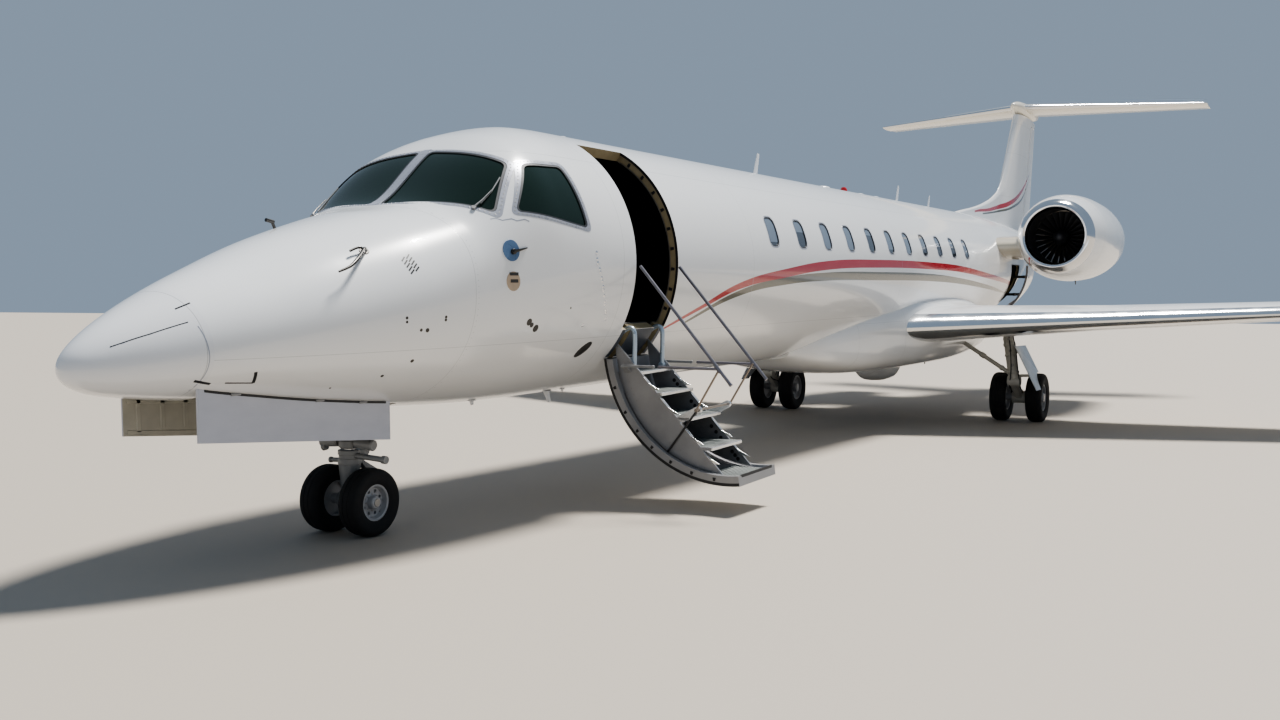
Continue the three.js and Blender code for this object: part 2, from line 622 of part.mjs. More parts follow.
function makeWings() {
  const fuselage = hull(8900, 17600, -FIT_GAP);
  const cradle = fairingSolid(0).subtract(fuselage);
  part("wing_fairing", cradle, MATERIALS.fairing);
  const bare = loft(WING_SECTIONS.map((row) => foilRing(wingSection(row.x))));
  const wing = bare.subtract(fairingSolid(FIT_GAP)).subtract(fuselage).subtract(box(9999.8, 10100, 15000, 18000, -900, 0));
  const legBay = box(1600, 2190, 14060, 14600, -1500, LEG_BAY_ROOF);
  const flap = wing.intersect(wingBlock(FLAP.from, FLAP.to, FLAP.chord, 0));
  const aileron = wing.intersect(wingBlock(AILERON.from, AILERON.to, AILERON.chord, 0));
  const fixed = wing.subtract(legBay)
    .subtract(wingBlock(FLAP.from - MOVING_GAP, FLAP.to + MOVING_GAP, FLAP.chord, FIT_GAP))
    .subtract(wingBlock(AILERON.from - 2 * MOVING_GAP, AILERON.to + 2 * MOVING_GAP, AILERON.chord, AILERON_SLOT));
  pair("wing", fixed, MATERIALS.wing);
  pair("flap", flap, MATERIALS.wing);
  pair("aileron", aileron, MATERIALS.wing);
  const tip = wingEdge(10000);
  const winglet = loft(WINGLET_SECTIONS.map((row) => foilRing({
    ...row, edge: tip.edge + row.edge, h: tip.h + row.rise, camber: row.cant ? 0 : 12,
    x: row.x + (row.cant ? 0 : FIT_GAP) })));
  pair("winglet", winglet, MATERIALS.white);
  return { roof: LEG_BAY_ROOF, wing: bare.subtract(legBay) };
}

// Tail
function finRing(row) {
  return foilRing({ ...row, x: 0, cant: 0 }).map((point) => new THREE.Vector3(point.z - row.h, point.y, row.h));
}

function finSection(h) {
  const [a, b] = FIN_SECTIONS;
  const t = (h - a.h) / (b.h - a.h);
  const mix = (key) => THREE.MathUtils.lerp(a[key], b[key], t);
  return { h, edge: mix("edge"), chord: mix("chord"), thickness: mix("thickness") };
}

function rudderBlock(low, high, ahead) {
  const ring = (h) => {
    const row = finSection(h);
    const hinge = row.edge + row.chord * (1 - RUDDER.chord) - ahead;
    return [[-400, hinge], [400, hinge], [400, row.edge + row.chord + 80], [-400, row.edge + row.chord + 80]]
      .map(([x, s]) => new THREE.Vector3(x, s, h));
  };
  return loft([ring(low), ring(high)]);
}

function tailSection(x) {
  const { root, tip, h } = TAILPLANE;
  const t = x / tip.x;
  const mix = (key) => THREE.MathUtils.lerp(root[key], tip[key], t);
  return { x, edge: mix("edge"), h, chord: mix("chord"), thickness: mix("thickness") };
}

function elevatorBlock(from, to, ahead) {
  const ring = (x) => {
    const row = tailSection(x);
    const hinge = row.edge + row.chord * (1 - ELEVATOR.chord) - ahead;
    return [[hinge, 3500], [row.edge + row.chord + 60, 3500], [row.edge + row.chord + 60, 4200], [hinge, 4200]]
      .map(([s, h]) => new THREE.Vector3(x, s, h));
  };
  return loft([ring(from), ring(to)]);
}

function makeTail() {
  const { from, to, radius, h } = BULLET;
  const bulletProfile = [[0, from], [70, from + 90], [130, from + 380], [radius, from + 900], [radius, to - 900], [90, to - 250], [0, to]];
  const bullet = turned(bulletProfile, [0, 0, h], "y", 20);
  const blade = loft(FIN_SECTIONS.map(finRing));
  const dorsal = sidePrism(DORSAL, -DORSAL_THICKNESS / 2, DORSAL_THICKNESS / 2);
  const tailSkin = hull(18000, 24400, -FIT_GAP);
  const fin = blade.add(dorsal).subtract(tailSkin).subtract(box(-500, 500, 24400 - FIT_GAP, 26500, 0, 1000));
  part("rudder", fin.intersect(rudderBlock(RUDDER.low, RUDDER.high, 0)), MATERIALS.white);
  const cut = rudderBlock(RUDDER.low - RUDDER.endGap, RUDDER.high + RUDDER.endGap, RUDDER.slot);
  part("fin", fin.subtract(cut).subtract(box(-400, 400, 22000, 26500, 3635, 4500)), MATERIALS.white);
  const span = loft([-1, 1].map((side) => foilRing({ ...tailSection(TAILPLANE.tip.x), x: side * TAILPLANE.tip.x }))
    .toSpliced(1, 0, foilRing(tailSection(0))));
  const port = span.intersect(box(0, 4000, 23000, 27000, 3500, 4200));
  const elevator = port.intersect(elevatorBlock(ELEVATOR.from, ELEVATOR.to, 0));
  const gap = elevatorBlock(ELEVATOR.from - 2 * MOVING_GAP, ELEVATOR.to + 2 * MOVING_GAP, ELEVATOR.slot);
  const centre = span.subtract(gap).subtract(mirror(gap)).add(bullet);
  part("tailplane", centre.subtract(box(-400, 400, 22000, 26500, 3000, 3635 + FIT_GAP)), MATERIALS.cream);
  pair("elevator", elevator, MATERIALS.cream);
}

// Engines, drawn to port
function fanSolid() {
  const { station, tip, root, blades, depth } = FAN;
  let fan = turned([[0, -260], [60, -235], [120, -130], [root, 0], [root, depth], [0, depth]],
    [ENGINE.x, station, ENGINE.h], "y", 16);
  for (let i = 0; i < blades; i++) {
    const blade = closed(new THREE.BoxGeometry(78, 9, tip - root + 20));
    blade.rotateZ(radians(38));
    blade.translate(0, depth / 2, (tip + root - 20) / 2);
    blade.rotateY((i / blades) * 2 * Math.PI);
    blade.translate(ENGINE.x, station, ENGINE.h);
    fan = fan.add(toSolid(blade));
  }
  return fan;
}

function makeEngines() {
  const at = [ENGINE.x, ENGINE.front, ENGINE.h];
  const nacelle = turned([...NACELLE_PROFILE, NACELLE_PROFILE[0]], at, "y", NACELLE_SIDES);
  pair("nacelle", nacelle, MATERIALS.fairing);
  pair("fan", fanSolid(), MATERIALS.metal);
  const duct = NACELLE_PROFILE.slice(DUCT_START).map(([r, d]) => [r - FIT_GAP, d]).toReversed();
  const bore = turned([[0, duct[0][1]], ...duct, [0, duct.at(-1)[1]]], at, "y", NACELLE_SIDES);
  let core = turned(CORE_PROFILE, at, "y", 16);
  for (let i = 0; i < CORE_STRUTS; i++) {
    const strut = closed(new THREE.BoxGeometry(40, 180, 420));
    strut.translate(0, 1400, 300 + 210);
    strut.rotateY(((i + 0.5) / CORE_STRUTS) * 2 * Math.PI);
    strut.translate(...at);
    core = core.add(toSolid(strut).intersect(bore));
  }
  pair("engine_core", core, MATERIALS.dark);
  const chord = PYLON.to - PYLON.from;
  const ring = (x) => foilRing({ x, edge: PYLON.from, h: PYLON.h, chord, thickness: PYLON.thickness });
  const envelope = turned([[0, 0], ...NACELLE_PROFILE.slice(3, DUCT_START).map(([r, d]) => [r + FIT_GAP, d]), [0, 4200]], at, "y", NACELLE_SIDES);
  const pylon = loft([ring(PYLON.inner), ring(PYLON.outer)]).subtract(envelope).subtract(hull(16400, 21800, -FIT_GAP));
  pair("pylon", pylon, MATERIALS.white);
}

// Gear: every wheel and leg stands in the ground's own frame
const FLAT = Math.cos(Math.PI / TYRE_SIDES);

function axleHeight(gear) {
  return gear.tyreRadius * FLAT;
}

function tyreSolid(gear, x) {
  const { tyreRadius: r, tyreWidth: w, rim } = gear;
  const half = w / 2;
  const profile = [[rim + 2, -half * 0.8], [r * 0.8, -half], [r * 0.96, -half * 0.8], [r, -half * 0.45],
    [r, half * 0.45], [r * 0.96, half * 0.8], [r * 0.8, half], [rim + 2, half * 0.8]];
  return turned([...profile, profile[0]], [x, gear.s, axleHeight(gear)], "x", TYRE_SIDES, Math.PI / TYRE_SIDES);
}

// Two wheels on the axle that carries them, which turns in its own bearing
function wheelPair(gear, x) {
  const { rim, tyreWidth, spread, axle } = gear;
  const half = tyreWidth * 0.38;
  const side = [
    [0, spread + half * 1.15], [rim * 0.36, spread + half * 1.15], [rim * 0.42, spread + half * 0.4], [rim - 14, spread + half * 0.3],
    [rim - 14, spread + half], [rim + 1.4, spread + half], [rim + 1.4, spread - half], [rim - 14, spread - half],
    [axle, spread - half * 0.6]];
  const profile = [...side, ...side.toReversed().map(([r, d]) => [r, -d])];
  return turned(profile, [x, gear.s, axleHeight(gear)], "x", TYRE_SIDES, Math.PI / TYRE_SIDES);
}

// Airframe coordinates turned into the ground's frame
const TO_GROUND = new THREE.Matrix4().makeTranslation(0, PIVOT_STATION, PIVOT_HEIGHT)
  .multiply(new THREE.Matrix4().makeRotationX(NOSE_DOWN))
  .multiply(new THREE.Matrix4().makeTranslation(0, -PIVOT_STATION, 0));

function below(height) {
  return move(box(-6000, 6000, 0, 24000, -4000, height - FIT_GAP), TO_GROUND);
}

function addGear(prefix, gear, x) {
  part(`${prefix}_wheels`, wheelPair(gear, x), MATERIALS.gear, ground);
  for (const [place, side] of [["outer", Math.sign(x) || 1], ["inner", -(Math.sign(x) || 1)]]) {
    part(`${prefix}_tyre_${place}`, tyreSolid(gear, x + side * gear.spread), MATERIALS.tyre, ground);
  }
}

function makeNoseGear() {
  const { s, spread, tyreRadius, axle } = NOSE_GEAR;
  const z = axleHeight(NOSE_GEAR);
  const [collar, top] = [620, 1800];
  const leg = join(
    tube([0, s, collar], [0, s, top], 72, 16),
    box(-WELL.half + 2, WELL.half - 2, s - 60, s + 60, 1380, 1480),
    tube([0, s - 30, collar + 150], [0, s - 950, top], 30),
    tube([-110, s - 88, collar + 110], [110, s - 88, collar + 110], 46, 12))
    .subtract(tube([0, s, collar - 10], [0, s, collar + 220], 51, 16))
    .intersect(below(WELL.roof));
  part("nose_leg", leg, MATERIALS.gear, ground);
  const fork = join(
    tube([0, s, z - 50], [0, s, collar + 200], 46, 16),
    tube([0, s, collar - 120], [0, s, collar - MOVING_GAP], 84, 16),
    tube([-85, s, z], [85, s, z], axle + 24, 16),
    bar([0, s + 60, collar - 70], [0, s + 200, 430], 90, 26),
    bar([0, s + 200, 442], [0, s + 30, z + 20], 90, 26))
    .subtract(tube([-300, s, z], [300, s, z], axle + 2, 16));
  part("nose_fork", fork, MATERIALS.gear, ground);
  addGear("nose", NOSE_GEAR, 0);
  const { x, thickness, from, to, lowFront, lowAft } = NOSE_DOOR;
  const plate = sidePrism([[from, lowFront], [to, lowAft], [to, -500], [from, -500]], x, x + thickness);
  pair("nose_door", plate.subtract(hull(500, 2700, -FIT_GAP)), MATERIALS.white);
}

function makeMainGear(bay) {
  const { s, x, axle } = MAIN_GEAR;
  const z = axleHeight(MAIN_GEAR);
  const knee = [x, s - 390, 640];
  const leg = join(
    tube([x - 170, s - 350, 1750], knee, 80, 14),
    tube([knee[0] - 95, knee[1], knee[2]], [knee[0] + 95, knee[1], knee[2]], 82, 14),
    bar(knee, [x, s, z], 120, 130),
    tube([x - 100, s, z], [x + 100, s, z], axle + 42, 16),
    tube([x - 20, s - 60, z + 110], [x - 150, s - 330, 1300], 48, 12),
    tube([x - 70, s - 380, 760], [x - 960, s - 380, 1330], 36),
    bar([x + 60, s - 300, 1180], [x + 390, s - 300, 520], 700, 18, new THREE.Vector3(0, 1, 0)),
    tube([x - 60, s - 370, 1080], [x + 110, s - 370, 1090], 24),
    tube([x - 20, s - 385, 720], [x + 290, s - 385, 735], 24))
    .subtract(tube([x - 300, s, z], [x + 300, s, z], axle + 2, 16))
    .subtract(tube([x + 150, s, z], [x + 700, s, z], MAIN_GEAR.tyreRadius + 14, TYRE_SIDES))
    .subtract(move(fairingSolid(FIT_GAP), TO_GROUND))
    .subtract(move(bay.wing, TO_GROUND))
    .intersect(below(bay.roof));
  pair("main_leg", leg, MATERIALS.gear, ground);
  addGear("main_port", MAIN_GEAR, x);
  addGear("main_starboard", MAIN_GEAR, -x);
}

// The airstair in the door's closed place, then let down about its hinge
const OPEN = new THREE.Matrix4().makeTranslation(DOOR_HINGE.x, 0, DOOR_HINGE.h)
  .multiply(new THREE.Matrix4().makeRotationY(DOOR_OPEN_ANGLE))
  .multiply(new THREE.Matrix4().makeTranslation(-DOOR_HINGE.x, 0, -DOOR_HINGE.h));

function makeAirstair() {
  const { from, to, low, high } = DOORWAY;
  const slack = MOVING_GAP / CABIN_RADIUS;
  const inner = CABIN_RADIUS - CABIN_WALL;
  const shellSolid = sector(inner, CABIN_RADIUS, low + slack, high - slack, from + MOVING_GAP, to - MOVING_GAP)
    .subtract(tube([DOOR_HINGE.x, from, DOOR_HINGE.h], [DOOR_HINGE.x, to, DOOR_HINGE.h], DOOR_NOSE, 72));
  const webShape = new THREE.Shape();
  webShape.absarc(0, 0, inner + 5, STAIR.lean - STAIR.halfAngle, STAIR.lean + STAIR.halfAngle, false);
  webShape.closePath();
  const across = new THREE.Matrix4().makeRotationX(Math.PI / 2);
  const webs = STAIR.webs.map((s) => toSolid(extrude(webShape, STAIR.webThickness, 8).applyMatrix4(across)
    .translate(0, s + STAIR.webThickness, 0)));
  let door = move(join(shellSolid, ...webs), OPEN);
  const centre = new THREE.Vector3(0, 0, 0).applyMatrix4(OPEN);
  const drum = toSolid(closed(new THREE.CylinderGeometry(inner + 5, inner + 5, to - from, 48)).translate(centre.x, (from + to) / 2, centre.z));
  const [webFrom, webTo] = [STAIR.webs[0], STAIR.webs[1] + STAIR.webThickness];
  for (const { back, tip, h } of STEPS) {
    door = door.add(box(back, tip, webFrom, webTo, h - STAIR.tread, h).intersect(drum));
  }
  for (const s of DOOR_ARM_STATIONS) {
    door = join(door,
      bar([DOOR_HINGE.x, s, DOOR_HINGE.h], [910, s, -950], 36, 46, new THREE.Vector3(0, 1, 0)),
      tube([DOOR_HINGE.x, s - DOOR_ARM_SLOT / 2 + FIT_GAP, DOOR_HINGE.h], [DOOR_HINGE.x, s + DOOR_ARM_SLOT / 2 - FIT_GAP, DOOR_HINGE.h], 16));
  }
  const middle = (from + to) / 2;
  for (const side of [-1, 1]) {
    const web = middle + side * (middle - STAIR.webs[0] - STAIR.webThickness / 2);
    const railPlane = middle + side * RAIL.offset;
    const thickness = new THREE.Vector3(0, 1, 0);
    door = join(door,
      bar([1430, web, -1350], [RAIL.foot.x, web, RAIL.foot.h], STAIR.webThickness, 70, thickness),
      bar([1000, railPlane, RAIL.knee.h], [RAIL.link - 42, railPlane, RAIL.knee.h], 20, 22, thickness),
      bar([1000, railPlane, RAIL.knee.h], [1000, web, -930], 60, 24));
    for (const s of [web]) {
      door = door.subtract(tube([RAIL.foot.x, s - 40, RAIL.foot.h], [RAIL.foot.x, s + 40, RAIL.foot.h], RAIL.pin + 1.5, 12));
    }
    const { top, knee, end, link, radius } = RAIL;
    part(`handrail_${side < 0 ? "forward" : "aft"}`, join(
      tube([top.x, railPlane, top.h], [knee.x, railPlane, knee.h], radius),
      tube([knee.x, railPlane, knee.h], [end.x, railPlane, end.h], radius),
      tube([knee.x, railPlane, knee.h], [link, railPlane, knee.h], radius - 2)), MATERIALS.metal);
  }
  const postPlane = RAIL.offset - RAIL.radius - 5 - RAIL.post;
  const post = (side) => tube([RAIL.foot.x, middle + side * postPlane, RAIL.foot.h], [RAIL.knee.x, middle + side * postPlane, RAIL.knee.h], RAIL.post);
  const pinEnd = RAIL.offset - RAIL.radius - FIT_GAP;
  const knuckle = (side) => tube([RAIL.knee.x, middle + side * pinEnd, RAIL.knee.h], [RAIL.knee.x, middle + side * (postPlane - 8), RAIL.knee.h], 8);
  part("handrail_posts", join(post(-1), post(1), knuckle(-1), knuckle(1),
    tube([RAIL.foot.x, middle - postPlane, RAIL.foot.h], [RAIL.foot.x, middle + postPlane, RAIL.foot.h], RAIL.pin)), MATERIALS.metal);
  part("airstair_door", door, MATERIALS.stair);
}

function makeBaggageDoor() {
  const { from, to, low, high, shift } = BAGGAGE;
  const skin = hull(from - 50, to + 50).subtract(hull(from - 55, to + 55, 40));
  const edge = sidePrism([[from + MOVING_GAP, low + MOVING_GAP], [to - MOVING_GAP, low + MOVING_GAP],
    [to - MOVING_GAP, high - MOVING_GAP], [from + MOVING_GAP, high - MOVING_GAP]], 300, 1300);
  let door = move(skin.intersect(edge), new THREE.Matrix4().makeTranslation(...shift));
  for (const h of [-80, -420]) {
    const x = section(to).width * Math.sqrt(1 - ((h - section(to).mid) / (section(to).mid - section(to).bottom)) ** 2);
    door = join(door,
      box(x - 120, x + 110, to - 60, to - FIT_GAP, h - 30, h + 30),
      box(x + 40, x + 190, to - 60, to - FIT_GAP, h - 30, h + 30),
      box(x + 90, x + 190, to - 60, to + 330, h - 30, h + 30));
  }
  part("baggage_door", door, MATERIALS.white);
}

makeFuselage();
makeInterior();
const bay = makeWings();
makeTail();
makeEngines();
makeNoseGear();
makeMainGear(bay);
makeAirstair();
makeBaggageDoor();

export default group;
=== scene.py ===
# %% [markdown]
# A business jet parked on its gear, with its airstair down. The CAD frame holds the places, sizes and
# joints. This notebook dresses it: every smooth skin is made again from the formula that the solids
# follow, only finer, and the small fittings that the solids leave out are added on top.
# %% Load the frame
from contextlib import contextmanager
from functools import partial, reduce
from math import asin, atan2, ceil, cos, degrees, exp, hypot, pi, radians, sin

import bmesh
import bpy
import numpy as np
from mathutils import Matrix, Vector


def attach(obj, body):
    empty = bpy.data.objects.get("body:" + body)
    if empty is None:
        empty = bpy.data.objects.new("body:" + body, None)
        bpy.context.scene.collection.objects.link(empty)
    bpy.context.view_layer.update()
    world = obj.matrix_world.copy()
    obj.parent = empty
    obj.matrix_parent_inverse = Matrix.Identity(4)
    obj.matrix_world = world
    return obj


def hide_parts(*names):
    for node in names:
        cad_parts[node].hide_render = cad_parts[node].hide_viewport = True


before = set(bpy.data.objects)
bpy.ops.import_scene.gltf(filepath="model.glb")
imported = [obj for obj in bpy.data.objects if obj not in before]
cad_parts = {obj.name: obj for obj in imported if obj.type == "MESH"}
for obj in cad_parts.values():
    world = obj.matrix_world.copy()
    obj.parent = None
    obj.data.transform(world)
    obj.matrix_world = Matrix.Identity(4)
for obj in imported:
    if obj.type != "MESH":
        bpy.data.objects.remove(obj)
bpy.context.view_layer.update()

# %% [markdown]
# Aircraft drawings give each point as a distance out from the middle, a station aft of the nose tip and
# a height above the cabin's axis. The jet stands nose-down by under two degrees, so one matrix turns
# drawing coordinates into the frame. The gear stands on the ground, and only needs the shift.
# %% Drawing coordinates
NOSE_DOWN = radians(1.697)
ORIGIN_STATION = 13.1158
PIVOT_STATION = 8.0
PIVOT_HEIGHT = 2.155
CABIN_RADIUS = 1.14
AIR = (Matrix.Translation((0, PIVOT_STATION - ORIGIN_STATION, PIVOT_HEIGHT))
       @ Matrix.Rotation(NOSE_DOWN, 4, "X") @ Matrix.Translation((0, -PIVOT_STATION, 0)))
GROUND = Matrix.Translation((0, -ORIGIN_STATION, 0))
MIRROR = Matrix.Diagonal((-1, 1, 1, 1))
SIDES = ((1, "port"), (-1, "starboard"))


def vec(*xyz):
    return Vector(xyz)


def turns(count):
    """Angles evenly spaced round a circle."""
    return np.linspace(0, 2 * pi, count, endpoint=False)


def linked(name, data):
    """A new object in the scene."""
    obj = bpy.data.objects.new(name, data)
    bpy.context.scene.collection.objects.link(obj)
    return obj


# %% [markdown]
# The camera comes before anything it looks at. Its place was solved from the photograph, using the known
# sizes of the real aircraft, so it stands at the photographer's height off the port side of the nose.
# %% Camera
CAMERA_PLACE = (6.0108, -17.0004, 1.6038)
CAMERA_YAW, CAMERA_PITCH, CAMERA_ROLL = (radians(a) for a in (30.314, -2.245, 0.5205))
CAMERA_LENS = 32.42


def camera_axes(yaw, pitch, roll):
    forward = vec(-sin(yaw) * cos(pitch), cos(yaw) * cos(pitch), sin(pitch))
    level = vec(cos(yaw), sin(yaw), 0)
    above = level.cross(forward)
    right = cos(roll) * level + sin(roll) * above
    up = cos(roll) * above - sin(roll) * level
    return Matrix((right, up, -forward)).transposed()


camera = linked("camera", bpy.data.cameras.new("camera"))
camera.data.lens = CAMERA_LENS
camera.data.sensor_width = 36
camera.data.clip_end = 2000
camera.matrix_world = (Matrix.Translation(CAMERA_PLACE)
                       @ camera_axes(CAMERA_YAW, CAMERA_PITCH, CAMERA_ROLL).to_4x4())
bpy.context.scene.camera = camera

# %% [markdown]
# Gloss paint shows what is around it, so the stage matters as much as the paint. It is a plain studio:
# a pale floor, pale surroundings of one colour and one broad soft light, high and a little behind, on
# the side that the shadows in the photograph come from.
# %% Light and floor
FLOOR_RADIUS = 600
FLOOR_PALE = (0.42, 0.375, 0.32)
SURROUND = (0.52, 0.66, 0.84, 1)
SURROUND_STRENGTH = 0.45
KEY_PLACE = (2, 15, 30)
KEY_STRENGTH = 6.2
KEY_COLOR = (1, 0.97, 0.92)
KEY_ANGLE = radians(12)


key = linked("key", bpy.data.lights.new("key", "SUN"))
key.data.energy, key.data.angle, key.data.color = KEY_STRENGTH, KEY_ANGLE, KEY_COLOR
key.location = KEY_PLACE
key.rotation_euler = (-Vector(KEY_PLACE)).to_track_quat("-Z", "Y").to_euler()

world = bpy.data.worlds.new("studio")
bpy.context.scene.world = world
world.use_nodes = True
sky = world.node_tree
sky.nodes.clear()


def put(tree, kind, inputs=None, **settings):
    """Adds one node, sets it and fills or links its inputs."""
    node = tree.nodes.new(kind)
    for key, value in settings.items():
        setattr(node, key, value)
    for key, value in (inputs or {}).items():
        if isinstance(value, bpy.types.NodeSocket):
            tree.links.new(value, node.inputs[key])
        else:
            node.inputs[key].default_value = value
    return node


def maths(tree, operation, *values, clamp=False):
    node = put(tree, "ShaderNodeMath", dict(enumerate(values)), operation=operation)
    node.use_clamp = clamp
    return node.outputs[0]


def ramp(tree, factor, stops):
    node = put(tree, "ShaderNodeValToRGB", {"Fac": factor})
    elements = node.color_ramp.elements
    while len(elements) < len(stops):
        elements.new(0.5)
    for element, (position, color) in zip(elements, stops):
        element.position = position
        element.color = color
    return node.outputs["Color"]


bpy.context.scene.view_settings.look = "AgX - Medium High Contrast"
background = put(sky, "ShaderNodeBackground", {"Color": SURROUND, "Strength": SURROUND_STRENGTH})
put(sky, "ShaderNodeOutputWorld", {"Surface": background.outputs[0]})

# %% [markdown]
# Every material starts from the same few steps: a Principled shader whose plain numbers sit on its own
# sockets, and links only for what changes over the surface. A helper keeps each finish to a few lines.
# %% Material helper
def finish(name, color, roughness=0.5, metallic=0.0, **sockets):
    material = bpy.data.materials.new(name)
    material.use_nodes = True
    tree = material.node_tree
    tree.nodes.clear()
    shader = put(tree, "ShaderNodeBsdfPrincipled", {
        "Base Color": (*color, 1), "Roughness": roughness, "Metallic": metallic, **sockets})
    put(tree, "ShaderNodeOutputMaterial", {"Surface": shader.outputs[0]})
    return material, tree, shader


def mix_color(tree, factor, first, second):
    return put(tree, "ShaderNodeMix", {0: factor, 6: first, 7: second}, data_type="RGBA").outputs[2]


def object_point(tree):
    return put(tree, "ShaderNodeTexCoord").outputs["Object"]


def noise(tree, point, scale, detail=3.0, roughness=0.55, stretch=(1, 1, 1)):
    placed = put(tree, "ShaderNodeMapping", {"Vector": point, "Scale": stretch}).outputs[0]
    return put(tree, "ShaderNodeTexNoise", {
        "Vector": placed, "Scale": scale, "Detail": detail, "Roughness": roughness}).outputs["Fac"]


def bump(tree, shader, height, strength, distance):
    node = put(tree, "ShaderNodeBump", {"Height": height, "Strength": strength, "Distance": distance})
    tree.links.new(node.outputs[0], shader.inputs["Normal"])


floor = linked("floor", bpy.data.meshes.new("floor"))
floor.data.from_pydata([(FLOOR_RADIUS * cos(a), FLOOR_RADIUS * sin(a), 0) for a in turns(64)], [],
                       [range(64)])
floor.data.materials.append(finish("floor", FLOOR_PALE, 0.7)[0])

# %% [markdown]
# Two lists describe a mesh here, its points and its faces. Small functions return such pairs, already
# closed, and `piece` lays one in the frame and marks its sharp edges. Building from plain lists keeps
# every face where the formula puts it.
# %% Mesh helpers
SHARP_ANGLE = radians(32)


def loft(rings, caps=True):
    """Quads between rings of equal length, closed with flat ends."""
    rings = np.asarray(rings, float)
    rows, count = rings.shape[:2]
    faces = [(r + i, r + (i + 1) % count, r + count + (i + 1) % count, r + count + i)
             for r in range(0, (rows - 1) * count, count) for i in range(count)]
    if caps:
        faces += [tuple(range(count))[::-1], tuple(range((rows - 1) * count, rows * count))]
    return rings.reshape(-1, 3), faces


def joined(*shapes):
    points, faces = [], []
    for shape_points, shape_faces in shapes:
        offset = sum(map(len, points))
        points.append(np.asarray(shape_points, float).reshape(-1, 3))
        faces += [tuple(i + offset for i in face) for face in shape_faces]
    return np.vstack(points), faces


def mirrored(shape):
    return np.asarray(shape[0], float) * (-1, 1, 1), [face[::-1] for face in shape[1]]


def shifted(shape, *by):
    return np.asarray(shape[0], float) + by, shape[1]


@contextmanager
def editing(mesh):
    edit = bmesh.new()
    edit.from_mesh(mesh)
    yield edit
    edit.to_mesh(mesh)
    edit.free()


def mark_sharp(mesh, angle=SHARP_ANGLE):
    with editing(mesh) as edit:
        for edge in edit.edges:
            edge.smooth = len(edge.link_faces) == 2 and edge.calc_face_angle(0) < angle
        for face in edit.faces:
            face.smooth = True


def raw_object(name, shape, place=AIR):
    """An object with its faces turned outwards and its doubles merged, placed in its mesh."""
    mesh = bpy.data.meshes.new(name)
    mesh.from_pydata([tuple(p) for p in shape[0]], [], shape[1])
    with editing(mesh) as edit:
        bmesh.ops.remove_doubles(edit, verts=edit.verts, dist=1e-6)
        bmesh.ops.dissolve_degenerate(edit, edges=edit.edges, dist=1e-6)
        bmesh.ops.recalc_face_normals(edit, faces=edit.faces)
    mesh.transform(place)
    return linked(name, mesh)


def bake(obj):
    """Applies the modifiers by swapping in the evaluated mesh."""
    bpy.context.view_layer.update()
    mesh = bpy.data.meshes.new_from_object(obj.evaluated_get(bpy.context.evaluated_depsgraph_get()))
    obj.modifiers.clear()
    obj.data = mesh
    return obj


def modified(obj, kind, **settings):
    modifier = obj.modifiers.new("work", kind)
    for key, value in settings.items():
        setattr(modifier, key, value)
    return bake(obj)


def cut(obj, tool, operation="DIFFERENCE", place=AIR):
    """Takes a shape or an object away from an object, or keeps only what both share."""
    if isinstance(tool, tuple):
        tool = raw_object("tool", tool, place)
    modified(obj, "BOOLEAN", operation=operation, object=tool, solver="MANIFOLD")
    bpy.data.objects.remove(tool)
    return obj


def dress(obj, body, material, slot, replaces=(), angle=SHARP_ANGLE):
    """The last steps of every piece: edges, material, body and the nodes it stands for; the slot is not used.
    """
    if angle:
        mark_sharp(obj.data, angle)
    obj.data.materials.clear()
    obj.data.materials.append(material)
    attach(obj, body)
    if replaces:
        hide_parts(*replaces)
    return obj


def soften(obj, width, segments=2):
    """Rounds the sharp edges a little, because a real edge always catches some light."""
    return modified(obj, "BEVEL", width=width, segments=segments, limit_method="ANGLE",
                    angle_limit=radians(40), use_clamp_overlap=True)


def paint_faces(obj, extra, choose):
    """Adds materials; a rule picks one for each face from its centre and normal in drawing coordinates."""
    back = AIR.inverted()
    turn = back.to_3x3()
    for material in extra:
        obj.data.materials.append(material)
    for polygon in obj.data.polygons:
        polygon.material_index = choose(back @ polygon.center, turn @ polygon.normal)


def piece(name, shape, body, material, slot, replaces=(), place=AIR, bevel=0.0, angle=SHARP_ANGLE):
    obj = raw_object(name, shape, place)
    if bevel:
        soften(obj, bevel)
    return dress(obj, body, material, slot, replaces, angle)


# %% [markdown]
# Solid primitives for fittings. Each is a closed shape of its own: a rod with rounded ends, a plate, a
# bar, a turned form and a tube along a path.
# %% Primitive shapes
AXES = {"x": (2, 0, 1), "y": (0, 2, 1), "z": (0, 1, 2)}


def circle(radius, sides):
    a = turns(sides)
    return np.stack([radius * np.cos(a), radius * np.sin(a), np.zeros(sides)], axis=1)


def rod(start, end, radius, sides=20, end_radius=None, chamfer=0.12):
    """A round bar whose ends have a small chamfer."""
    way = Vector(end) - Vector(start)
    length, turn = way.length, np.array(way.to_track_quat("Z", "Y").to_matrix())
    last = end_radius or radius
    lip = min(chamfer * radius, length / 4)
    return loft([(circle(r, sides) + (0, 0, z)) @ turn.T + np.array(start)
                 for z, r in ((0, radius - lip), (lip, radius), (length - lip, last), (length, last - lip))])


def rods(rows, origin=(0, 0, 0)):
    """Rods from rows of start, end, radius and number of sides, all measured from an origin."""
    origin = np.array(origin)
    return [rod(origin + row[:3], origin + row[3:6], *row[6:]) for row in rows]


